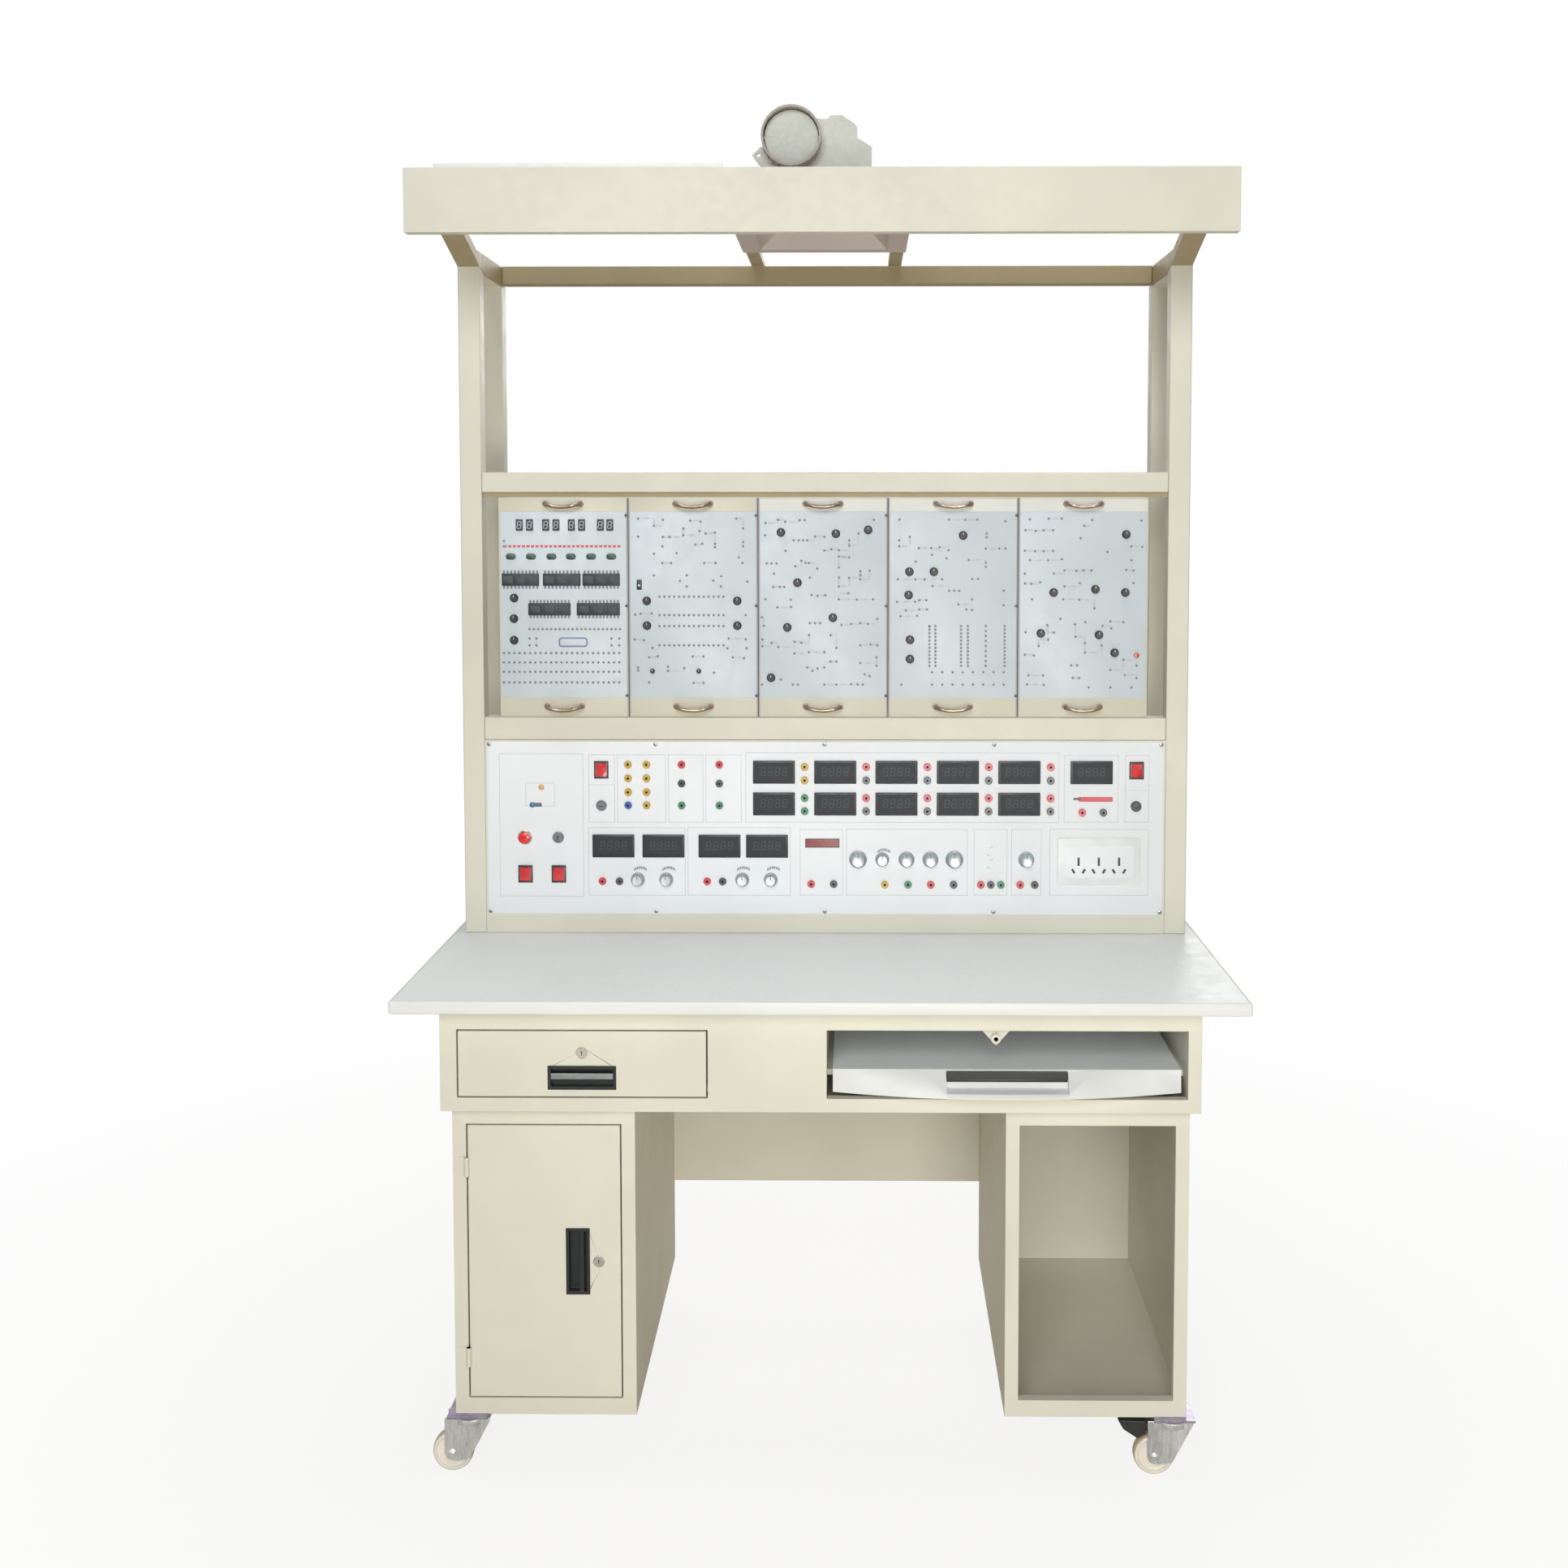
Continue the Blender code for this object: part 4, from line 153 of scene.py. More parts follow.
DIAL_SAG = 0.00022
DIAL_TICK = 0.0034
DIAL_LINE = 0.0017
RED_BAR_PIXELS = (1332, 982, 1368, 988)
GREY_MARK_PIXELS = ((1324, 983, 1330, 986), (661, 989, 665, 994))
SWITCH_MARK_PIXELS = (1216, 1045, 1224, 1068)
PRINT_LINE = 0.0008

# Circuit modules
MODULE_COUNT = 5
MODULE_SHELL = 0.003
BOARD_PROUD = 0.0015
MODULE_STRIP = 0.026
MODULE_FOOT_STRIP = 0.036
BOARD_SIDE_MARGIN = 0.0028
MODULE_SETBACK = 0.006
FIRST_WHITE_MODULE = 2
SEAM_WIDTH = 0.0022
SEAM_INSET = 0.0002
SEAM_SCREW_INSET = 0.0030
SEAM_SCREW = {"radius": 0.0027, "height": 0.0010, "crown": 0.0006, "slot": 0.0006, "sides": 16}
SEAM_SCREW_PIXELS = (635, 746, 856)
HANDLE_SPAN = 0.066
HANDLE_REACH = 0.020
HANDLE_DROP = 0.0055
HANDLE_RADIUS = 0.0036
HANDLE_LEVEL_SHARE = 0.45
HANDLE_PATH_SHARES = (
    (-1.0, -0.2, 0.0), (-0.97, 0.55, 0.05), (-0.72, 0.95, 0.45), (-0.3, 1.0, 0.95),
    (0.3, 1.0, 0.95), (0.72, 0.95, 0.45), (0.97, 0.55, 0.05), (1.0, -0.2, 0.0),
)
TRIMMER_RADIUS = 0.008
SMALL_TRIMMER_RADIUS = 0.0046
SMALL_TRIMMER_PIXELS = ((), ((804, 827), (861, 827)), (), (), ())
TRIMMER_PROUD = 0.008
TRIMMER_SHARES = (
    ((0.107, 0.537), (0.104, 0.426), (0.104, 0.310)),
    ((0.132, 0.522), (0.849, 0.522), (0.132, 0.389), (0.849, 0.389)),
    ((0.168, 0.889), (0.602, 0.882), (0.857, 0.902), (0.298, 0.620), (0.217, 0.380), (0.578, 0.432),
     (0.087, 0.109)),
    ((0.578, 0.873), (0.155, 0.679), (0.348, 0.679), (0.149, 0.554), (0.161, 0.314), (0.161, 0.210)),
    ((0.835, 0.878), (0.267, 0.568), (0.596, 0.585), (0.832, 0.568), (0.168, 0.349), (0.627, 0.341),
     (0.752, 0.245)),
)

# Test sockets on the boards, in pixels of an enlargement of the photograph, with the corner and scale of each
BOARD_SHEETS = (
    (600, 630, 4.752), (600, 630, 4.752), (920, 630, 4.752), (920, 630, 4.752), (1160, 630, 5.6))
BOARD_MARK_PIXELS = (
    ((100, 175), (100, 205)),
    ((885, 42), (978, 85), (1030, 50), (1190, 55), (1250, 60), (1460, 42), (1500, 100), (885, 148),
     (1030, 150), (1070, 150), (1150, 100), (1150, 140), (1245, 115), (1280, 130), (1335, 125),
     (1335, 190), (1335, 210), (1500, 180), (1500, 205), (1028, 205), (1220, 195), (1260, 190),
     (978, 248), (1110, 245), (1475, 270), (1028, 303), (1078, 303), (1272, 303), (1338, 303),
     (1497, 303), (978, 375), (1170, 375), (1372, 380), (1130, 408), (1325, 405), (1525, 412),
     (1170, 440), (1370, 440), (868, 605), (900, 600), (965, 598), (1515, 608), (865, 750), (920, 755),
     (1415, 745), (1515, 750), (970, 800), (1408, 802), (1520, 802), (950, 855), (1000, 850), (1205, 850),
     (1268, 850), (1440, 855), (1505, 860), (885, 915), (885, 932), (1060, 910), (1060, 935), (1155, 918),
     (1330, 945), (1210, 1005), (1268, 1005), (950, 1002)),
    ((110, 68), (183, 50), (225, 62), (310, 52), (340, 52), (745, 50), (108, 140), (275, 170), (305, 170),
     (330, 170), (355, 170), (400, 148), (455, 150), (228, 232), (455, 230), (495, 222), (540, 228),
     (600, 170), (600, 200), (655, 130), (118, 305), (145, 305), (175, 305), (285, 322), (320, 290),
     (345, 303), (365, 303), (413, 335), (540, 265), (600, 270), (540, 328), (160, 365), (370, 388),
     (540, 388), (540, 440), (600, 390), (665, 350), (665, 375), (665, 398), (720, 348), (155, 443),
     (195, 443), (220, 443), (110, 515), (258, 518), (380, 490), (415, 495), (460, 492), (595, 480),
     (540, 515), (645, 517), (740, 515), (180, 562), (260, 560), (90, 620), (100, 670), (370, 655),
     (400, 655), (430, 655), (555, 665), (612, 660), (665, 655), (710, 660), (765, 630), (92, 750),
     (92, 790), (145, 770), (185, 795), (280, 765), (320, 770), (365, 725), (492, 725), (525, 800),
     (280, 832), (365, 825), (455, 825), (665, 785), (725, 780), (765, 785), (490, 880), (525, 880),
     (455, 915), (665, 888), (760, 855), (760, 905), (355, 915), (385, 935), (415, 920), (690, 955),
     (720, 965), (200, 985), (90, 1015), (270, 1015), (300, 1015), (455, 1015), (525, 1015), (610, 1012),
     (650, 1015), (680, 1015)),
    ((895, 48), (1185, 48), (1280, 50), (1350, 48), (1515, 58), (893, 170), (893, 205), (955, 150),
     (1405, 130), (1405, 152), (1008, 215), (1080, 215), (1130, 210), (1182, 228), (1085, 255),
     (1400, 218), (1480, 218), (1515, 218), (990, 295), (1170, 275), (1300, 285), (1400, 300),
     (1400, 325), (885, 398), (988, 398), (1042, 398), (1145, 398), (1320, 396), (1355, 396), (1088, 438),
     (1185, 465), (1215, 465), (1245, 465), (1505, 465), (880, 530), (985, 530), (1010, 520), (1052, 520),
     (1240, 545), (1320, 515), (1505, 550), (932, 580), (1010, 575), (1055, 575), (1285, 575),
     (1320, 578), (900, 615), (998, 612), (905, 1015)),
    ((610, 55), (740, 50), (830, 50), (985, 100), (1040, 60), (1380, 65), (580, 130), (650, 135),
     (705, 130), (770, 130), (960, 185), (575, 272), (645, 275), (705, 275), (770, 272), (610, 337),
     (735, 337), (830, 330), (1310, 242), (1385, 245), (1145, 280), (1310, 338), (575, 430), (775, 430),
     (848, 408), (930, 410), (980, 408), (1035, 408), (1275, 405), (1325, 408), (575, 498), (620, 500),
     (680, 490), (848, 518), (955, 495), (1325, 495), (625, 607), (840, 607), (950, 610), (1055, 670),
     (820, 742), (992, 765), (1165, 760), (1255, 765), (1110, 790), (1170, 808), (580, 835), (775, 837),
     (730, 785), (735, 885), (670, 930), (920, 780), (925, 865), (990, 910), (990, 975), (1105, 925),
     (575, 990), (637, 995), (895, 1063), (935, 1063), (1165, 1095), (1255, 1025), (1345, 1065),
     (600, 1132), (700, 1132), (905, 1150), (950, 1150), (1265, 1130), (1345, 1150), (590, 1195),
     (705, 1198), (1015, 1215), (1165, 1215), (1310, 1215)),
)
# Even rows of sockets, in the same pixels: first across, last across, height, count
BOARD_ROW_PIXELS = (
    ((250, 780, 690, 22), (100, 775, 830, 23), (100, 775, 885, 23), (100, 775, 940, 23), (100, 775, 1002, 23),
     (250, 290, 745, 2), (730, 775, 745, 2), (250, 290, 785, 2), (730, 775, 785, 2)),
    ((1010, 1385, 500, 14), (1010, 1385, 608, 14), (1010, 1385, 672, 14), (1010, 1385, 785, 14)),
    (),
    ((1085, 1505, 942, 8), (1085, 1505, 1015, 8), (1070, 1070, 675, 1)),
    (),
)
BOARD_COLUMN_PIXELS = (
    (), (), (),
    ((1070, 672, 905, 12), (1105, 672, 905, 12), (1255, 672, 905, 12), (1295, 672, 905, 12),
     (1400, 672, 905, 9), (1510, 672, 905, 12)),
    (),
)
BOARD_SOCKET = {
    "radius": 0.0025, "height": 0.0012, "chamfer": 0.0003, "bore_radius": 0.0010, "bore_depth": 0.0010,
    "sides": 10}
TRACE_WIDTH = 0.0006
TRACE_REACH = 0.034
SYMBOL_LENGTH = 0.0068
SYMBOL_WIDTH = 0.0030
SYMBOL_ROOM = 1.7


def photo_point(pixel, depth):
    """Where the line of sight through a pixel of the photograph meets the plane y = depth."""
    across = (pixel[0] / PHOTO_SIDE - 0.5 + SHIFT_X) * SENSOR / LENS
    up = (0.5 - pixel[1] / PHOTO_SIDE + SHIFT_Y) * SENSOR / LENS
    ray = Matrix.Rotation(LOOK[2], 3, "Z") @ Matrix.Rotation(LOOK[0], 3, "X") @ Vector((across, up, -1.0))
    return EYE + ray * ((depth - EYE.y) / ray.y)


def joint_point(name):
    """Place of a joint, as the record gives it."""
    joint = next(j for j in frame["record"]["behaviour"]["joints"] if j["name"] == name)
    return Vector(joint["pos_m"])


# Mesh helpers

def add_object(name, mesh, *materials):
    obj = bpy.data.objects.new(name, mesh)
    bpy.context.scene.collection.objects.link(obj)
    for material in materials:
        mesh.materials.append(material)
    return obj


def from_bmesh(name, bm, *materials, smooth_angle=35.0):
    """Object made of a bmesh, shaded smooth between its sharp edges."""
    bmesh.ops.recalc_face_normals(bm, faces=bm.faces)
    mesh = bpy.data.meshes.new(name)
    bm.to_mesh(mesh)
    bm.free()
    mesh.shade_smooth()
    mesh.set_sharp_from_angle(angle=math.radians(smooth_angle))
    return add_object(name, mesh, *materials)


def apply_modifiers(obj):
    """Turn the object's modifiers into plain mesh."""
    graph = bpy.context.evaluated_depsgraph_get()
    mesh = bpy.data.meshes.new_from_object(obj.evaluated_get(graph), depsgraph=graph)
    obj.modifiers.clear()
    obj.data = mesh
    return obj


def flat_directions(mesh):
    """Normals of the mesh's flat faces: those with only sharp or level edges."""
    bm = bmesh.new()
    bm.from_mesh(mesh)
    found = []
    for face in bm.faces:
        angles = [math.degrees(edge.calc_face_angle(0.0)) for edge in face.edges]
        flat = all(angle < FLAT_ANGLE or angle > SHARP_ANGLE for angle in angles)
        if flat and not any(face.normal.dot(known) > SAME_WAY for known in found):
            found.append(face.normal.copy())
    bm.free()
    return found


def steady_normals(obj, directions):
    """Own normal for each corner of a flat face, and where the shading leans far away from the face."""
    mesh = obj.data
    normals = [corner.vector.copy() for corner in mesh.corner_normals]
    for face in mesh.polygons:
        flat = any(face.normal.dot(direction) > SAME_WAY for direction in directions)
        for index in face.loop_indices:
            if flat or normals[index].dot(face.normal) < LEAN_LIMIT:
                normals[index] = face.normal.copy()
    mesh.normals_split_custom_set(normals)
    return obj


def soften(obj, width, steps=2):
    """Round every sharp edge a little, with flat faces kept flat up to the rounding."""
    directions = flat_directions(obj.data)
    bevel = obj.modifiers.new("edge", "BEVEL")
    bevel.width = width
    bevel.segments = steps
    bevel.limit_method = "ANGLE"
    bevel.angle_limit = math.radians(SHARP_ANGLE)
    bevel.miter_outer = "MITER_ARC"
    bevel.harden_normals = True
    obj.data.shade_smooth()
    return steady_normals(apply_modifiers(obj), directions)


def cad_copy(node, name, *materials):
    """Own copy of a CAD node, with its triangles joined into whole convex faces."""
    bm = bmesh.new()
    bm.from_mesh(frame["nodes"][node].data)
    bmesh.ops.remove_doubles(bm, verts=bm.verts, dist=MERGE)
    bmesh.ops.dissolve_limit(bm, angle_limit=math.radians(LEVEL_MERGE_ANGLE), verts=bm.verts, edges=bm.edges)
    bmesh.ops.connect_verts_concave(bm, faces=bm.faces)
    for face in bm.faces:
        face.material_index = 0
    mesh = bpy.data.meshes.new(name)
    bm.to_mesh(mesh)
    bm.free()
    return add_object(name, mesh, *materials)


def soft_copy(node, ending, finish, width, steps=2):
    """Own copy of a CAD node with its edges rounded, named after the node."""
    return soften(cad_copy(node, node + ending, finish), width, steps)


def add_box(bm, low, high, round_by=0.0, steps=2, material=0):
    """Box between two corners, with rounded edges. Returns its faces."""
    low, high = Vector(low), Vector(high)
    box = bmesh.new()
    bmesh.ops.create_cube(box, size=1.0)
    size = high - low
    middle = (low + high) / 2
    for vert in box.verts:
        vert.co = middle + Vector((vert.co.x * size.x, vert.co.y * size.y, vert.co.z * size.z))
    if round_by:
        bmesh.ops.bevel(
            box, geom=list(box.edges), offset=round_by, segments=steps, profile=0.5, affect="EDGES",
            clamp_overlap=True)
    for face in box.faces:
        face.material_index = material
    mesh = bpy.data.meshes.new("box")
    box.to_mesh(mesh)
    box.free()
    start = len(bm.faces)
    bm.from_mesh(mesh)
    bpy.data.meshes.remove(mesh)
    bm.faces.ensure_lookup_table()
    return bm.faces[start:]


def add_plate(bm, low, high, corner, edge, steps=5, material=0):
    """Plate in the XZ plane with round corners and a small edge radius in front."""
    low, high = Vector(low), Vector(high)
    rings = []
    for inset, depth in ((0.0, high.y), (0.0, low.y + edge), (edge * 0.3, low.y + edge * 0.3), (edge, low.y)):
        ring = []
        for across, up, start in ((1, 1, 0), (-1, 1, 90), (-1, -1, 180), (1, -1, 270)):
            centre_x = (high.x - corner if across > 0 else low.x + corner)
            centre_z = (high.z - corner if up > 0 else low.z + corner)
            for step in range(steps + 1):
                angle = math.radians(start + 90.0 * step / steps)
                radius = corner - inset
                ring.append(bm.verts.new((
                    centre_x + math.cos(angle) * radius, depth, centre_z + math.sin(angle) * radius)))
        rings.append(ring)
    faces = [bm.faces.new(rings[0]), bm.faces.new(rings[-1][::-1])]
    count = len(rings[0])
    for near, far in zip(rings, rings[1:]):
        for i in range(count):
            faces.append(bm.faces.new((near[i], near[(i + 1) % count], far[(i + 1) % count], far[i])))
    for face in faces:
        face.material_index = material
    return faces


def add_turned(bm, profile, centre, axis, segments=32, materials=(0,), flutes=None):
    """Closed body turned about an axis from (radius, along) points.

    flutes are their count, their depth, and the first and last point that they cut.
    """
    axis = Vector(axis).normalized()
    side = axis.orthogonal().normalized()
    other = axis.cross(side)
    centre = Vector(centre)
    rings = []
    for index, (radius, along) in enumerate(profile):
        if radius <= 0.0:
            rings.append([bm.verts.new(centre + axis * along)])
            continue
        ring = []
        for step in range(segments):
            angle = math.tau * step / segments
            here = radius
            if flutes and flutes[2] <= index <= flutes[3]:
                here -= flutes[1] * (0.5 + 0.5 * math.cos(angle * flutes[0]))
            outward = side * math.cos(angle) + other * math.sin(angle)
            ring.append(bm.verts.new(centre + axis * along + outward * here))
        rings.append(ring)
    for index, (near, far) in enumerate(zip(rings, rings[1:])):
        material = materials[min(index, len(materials) - 1)]
        for step in range(segments):
            following = (step + 1) % segments
            if len(near) == 1:
                corners = (near[0], far[following], far[step])
            elif len(far) == 1:
                corners = (near[step], near[following], far[0])
            else:
                corners = (near[step], near[following], far[following], far[step])
            bm.faces.new(corners).material_index = material
    for ring, material in ((rings[0], materials[0]), (rings[-1], materials[-1])):
        if len(ring) > 1:
            bm.faces.new(ring).material_index = material


def add_bar(bm, start, end, width, depth, material=0):
    """Thin printed bar between two points on a face that looks along -Y, sunk a little into it."""
    start, end = Vector(start), Vector(end)
    along = (end - start).normalized()
    across = along.cross(FRONT).normalized() * (width / 2)
    out, back = FRONT * PRINT_PROUD, -FRONT * depth
    start, end = start - along * (width / 2), end + along * (width / 2)
    ends = [
        [bm.verts.new(place + side + level) for side, level in
         ((across, out), (-across, out), (-across, back), (across, back))]
        for place in (start, end)]
    faces = [bm.faces.new(ends[0]), bm.faces.new(ends[1][::-1])]
    for i in range(4):
        faces.append(bm.faces.new((ends[0][i], ends[1][i], ends[1][(i + 1) % 4], ends[0][(i + 1) % 4])))
    for face in faces:
        face.material_index = material


def add_outline(bm, low, high, width, material=0):
    """Printed rectangle on a face that looks along -Y."""
    corners = [Vector((x, low.y, z)) for x, z in
               ((low.x, low.z), (high.x, low.z), (high.x, high.z), (low.x, high.z))]
    for start, end in zip(corners, corners[1:] + corners[:1]):
        add_bar(bm, start, end, width, SUNK, material)


def add_mark(bm, spot, half, foot, top, proud, sunk, material=1):
    """Bar on a face that looks along -Y: half its width, foot, top, and reach out and in."""
    add_box(bm, spot + Vector((-half, -proud, foot)), spot + Vector((half, sunk, top)), material=material)


def centred(spot, size, proud, sunk=SUNK):
    """Corners of a body of that width and height round a spot of a face that looks along -Y."""
    half = Vector((size[0] / 2, 0.0, size[1] / 2))
    return spot - half + FRONT * proud, spot + half - FRONT * sunk


def scaled(shares, radius, depth=1.0):
    """Profile given as shares of a radius and of a depth."""
    return [(across * radius, along * depth) for across, along in shares]


def rounded_bar(name, points, radius, material, steps=6):
    """Round bar along a smooth line through the points, with closed ends."""
    curve = bpy.data.curves.new(name, "CURVE")
    curve.dimensions = "3D"
    curve.bevel_depth = radius
    curve.bevel_resolution = 5
    curve.resolution_u = steps
    curve.use_fill_caps = True
    spline = curve.splines.new("BEZIER")
    spline.bezier_points.add(len(points) - 1)
    for point, place in zip(spline.bezier_points, points):
        point.co = place
        point.handle_left_type = point.handle_right_type = "AUTO"
    holder = bpy.data.objects.new(name, curve)
    bpy.context.scene.collection.objects.link(holder)
    graph = bpy.context.evaluated_depsgraph_get()
    mesh = bpy.data.meshes.new_from_object(holder.evaluated_get(graph), depsgraph=graph)
    bpy.data.objects.remove(holder)
    bpy.data.curves.remove(curve)
    mesh.materials.clear()
    return add_object(name, mesh, material)


def join(name, *objs):
    """One object from several, with their materials kept."""
    bm = bmesh.new()
    materials = []
    for obj in objs:
        slots = []
        for material in obj.data.materials:
            if material not in materials:
                materials.append(material)
            slots.append(materials.index(material))
        start = len(bm.faces)
        bm.from_mesh(obj.data)
        bm.faces.ensure_lookup_table()
        for face in bm.faces[start:]:
            face.material_index = slots[face.material_index] if slots else 0
        bpy.data.objects.remove(obj)
    mesh = bpy.data.meshes.new(name)
    bm.to_mesh(mesh)
    bm.free()
    return add_object(name, mesh, *materials)


def place(obj, body, slot, *nodes):
    """Give a finished piece its body and hide the CAD nodes that it stands for; slot is not used."""
    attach(obj, body)
    if nodes:
        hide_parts(*nodes)
    return obj


# Materials

def set_inputs(tree, node, inputs):
    """Give a node its inputs, each from a socket or as a plain value."""
    for label, value in inputs.items():
        if isinstance(value, bpy.types.NodeSocket):
            tree.links.new(value, node.inputs[label])
        else:
            node.inputs[label].default_value = value


def add_node(tree, kind, inputs=None, **settings):
    """Node with its settings and its inputs."""
    node = tree.nodes.new(kind)
    for setting, value in settings.items():
        setattr(node, setting, value)
    set_inputs(tree, node, inputs or {})
    return node


def new_material(name, colour, roughness, metallic=0.0):
    material = bpy.data.materials.new(name)
    material.use_nodes = True
    tree = material.node_tree
    shader = tree.nodes["Principled BSDF"]
    set_inputs(tree, shader, {"Base Color": (*colour, 1.0), "Roughness": roughness, "Metallic": metallic})
    return material, tree, shader


def grain(tree, size, detail=2.0, stretch=(1.0, 1.0, 1.0)):
    """Noise with features of about that size in metres, on the object's own coordinates."""
    origin = add_node(tree, "ShaderNodeTexCoord")
    mapping = add_node(tree, "ShaderNodeMapping", {
        "Vector": origin.outputs["Object"], "Scale": [1.0 / (size * s) for s in stretch]})
    noise = add_node(tree, "ShaderNodeTexNoise", {
        "Vector": mapping.outputs["Vector"], "Scale": 1.0, "Detail": detail})
    return noise.outputs["Fac"]


def spread(tree, value, low, high, start=0.35, end=0.65):
    """Map a noise value to a range."""
    return add_node(tree, "ShaderNodeMapRange", {
        "Value": value, "From Min": start, "From Max": end, "To Min": low, "To Max": high}).outputs["Result"]


def blend_colours(tree, factor, first, second):
    """Mix two colours; each may be a socket or a plain colour."""
    ends = {label: (*value, 1.0) if isinstance(value, tuple) else value
            for label, value in (("A", first), ("B", second))}
    return add_node(tree, "ShaderNodeMix", {"Factor": factor, **ends}, data_type="RGBA").outputs["Result"]


def relief_of(tree, value, depth):
    """Bump of that depth, from a noise value."""
    return add_node(tree, "ShaderNodeBump", {"Distance": depth, "Height": value}).outputs["Normal"]


def shade_of(colour, factor):
    return tuple(min(1.0, channel * factor) for channel in colour)


def shades_round(colour, darker, lighter):
    return shade_of(colour, 1.0 - darker), shade_of(colour, 1.0 + lighter)


def surface(name, colour, roughness, shades, patch, gloss, gloss_patch, skin=None, metallic=0.0, more=None):
    """Finish that drifts between two shades and about its roughness.

    patch and gloss_patch are the grains of those drifts, gloss how far the roughness falls and rises,
    and skin the grain and the depth of the relief.
    """
    material, tree, shader = new_material(name, colour, roughness, metallic)
    drift = spread(tree, grain(tree, *patch), 0.0, 1.0)
    set_inputs(tree, shader, {
        "Base Color": blend_colours(tree, drift, *shades),
        "Roughness": spread(tree, grain(tree, *gloss_patch), roughness - gloss[0], roughness + gloss[1])})
    if skin:
        set_inputs(tree, shader, {"Normal": relief_of(tree, grain(tree, *skin[0]), skin[1])})
    set_inputs(tree, shader, more or {})
    return material


# Grain sizes in metres, and other measures, of each kind of finish
PEEL_GLOSS_RATIO = 14.0
PLATE_PATCH = 0.012
PLATE_GLOSS_PATCH = 0.0022
PLATE_SKIN = 0.0016
PLATE_RELIEF = 0.000015
MOULD_PATCH = 0.05
MOULD_GLOSS_PATCH = 0.006
LENS_PATCH = 0.006
LENS_GLOSS_PATCH = 0.004
LENS_ROUGHNESS = 0.22
LAMINATE_FLECK = 0.0022
LAMINATE_CLOUD = 0.18
LAMINATE_GLOSS_PATCH = 0.03
LAMINATE_SKIN = 0.0012
LAMINATE_RELIEF = 0.00003
COLLAR_PATCH = 0.004
COLLAR_GLOSS_PATCH = 0.003
TUBE_PATCH = 0.02


def coated(name, colour, roughness, peel=0.0016, relief=0.00004, drift=0.035, patch=0.22):
    """Painted surface: slow drift in tone, patchy gloss and a fine skin."""
    return surface(
        name, colour, roughness, shades_round(colour, drift, drift), (patch, 3.0), gloss=(0.05, 0.06),
        gloss_patch=(peel * PEEL_GLOSS_RATIO, 3.0), skin=((peel, 2.0), relief))


def plated(name, colour, roughness, tint, brush=(1.0, 1.0, 1.0)):
    """Bright plated metal with patches of a second tint and faint marks."""
    return surface(
        name, colour, roughness, (colour, tint), (PLATE_PATCH, 4.0, brush), gloss=(0.07, 0.10),
        gloss_patch=(PLATE_GLOSS_PATCH, 3.0, brush), skin=((PLATE_SKIN, 2.0, brush), PLATE_RELIEF),
        metallic=1.0)


def moulded(name, colour, roughness, texture=0.0009, relief=0.00005, coat=0.0, drift=0.05):
    """Moulded plastic with a spark-eroded skin."""
    return surface(
        name, colour, roughness, shades_round(colour, drift, drift), (MOULD_PATCH, 3.0), gloss=(0.05, 0.05),
        gloss_patch=(MOULD_GLOSS_PATCH, 2.0), skin=((texture, 2.0), relief),
        more={"Coat Weight": coat, "Coat Roughness": 0.08})


def lens(name, colour, glow=0.0):
    """Translucent coloured plastic, glossy, with a slight cloudiness; glow is an emission, painted light on a
    part that is no lamp.
    """
    return surface(
        name, colour, LENS_ROUGHNESS, shades_round(colour, 0.12, 0.10), (LENS_PATCH, 3.0), gloss=(0.06, 0.08),
        gloss_patch=(LENS_GLOSS_PATCH, 2.0), more={
            "Subsurface Weight": 0.12, "Subsurface Scale": 0.002, "Coat Weight": 0.6, "Coat Roughness": 0.06,
            "Emission Color": (*colour, 1.0), "Emission Strength": glow})


def laminate(name, colour, roughness):
    """Matt laminate with a fine two-tone fleck and paler clouds."""
    material, tree, shader = new_material(name, colour, roughness)
    fleck = spread(tree, grain(tree, LAMINATE_FLECK, 4.0), 0.0, 1.0, 0.42, 0.60)
    cloud = spread(tree, grain(tree, LAMINATE_CLOUD, 3.0), 0.0, 0.35)
    ground = blend_colours(tree, fleck, *shades_round(colour, 0.05, 0.04))
    set_inputs(tree, shader, {
        "Base Color": blend_colours(tree, cloud, ground, shade_of(colour, 1.06)),
        "Roughness": spread(tree, grain(tree, LAMINATE_GLOSS_PATCH, 3.0), roughness - 0.06, roughness + 0.08),
        "Normal": relief_of(tree, grain(tree, LAMINATE_SKIN, 3.0), LAMINATE_RELIEF)})
    return material


def tinted_collar(name, colour, roughness, haze):
    """Socket plastic that takes its colour from each point's tint, a little hazed."""
    material, tree, shader = new_material(name, colour, roughness)
    tint = add_node(tree, "ShaderNodeAttribute", attribute_name="tint")
    cloud = spread(tree, grain(tree, COLLAR_PATCH, 3.0), 0.0, 0.16)
    set_inputs(tree, shader, {
        "Base Color": blend_colours(tree, cloud, tint.outputs["Color"], haze),
        "Roughness": spread(tree, grain(tree, COLLAR_GLOSS_PATCH, 2.0), roughness - 0.06, roughness + 0.08),
        "Coat Weight": 0.25, "Coat Roughness": 0.12})
    return material


def opal(name, colour, roughness, shades):
    """White glass with a soft gloss."""
    material, tree, shader = new_material(name, colour, roughness)
    cloud = spread(tree, grain(tree, TUBE_PATCH, 3.0), 0.0, 1.0)
    set_inputs(tree, shader, {
        "Base Color": blend_colours(tree, cloud, *shades), "Coat Weight": 0.8, "Coat Roughness": 0.04})
    return material


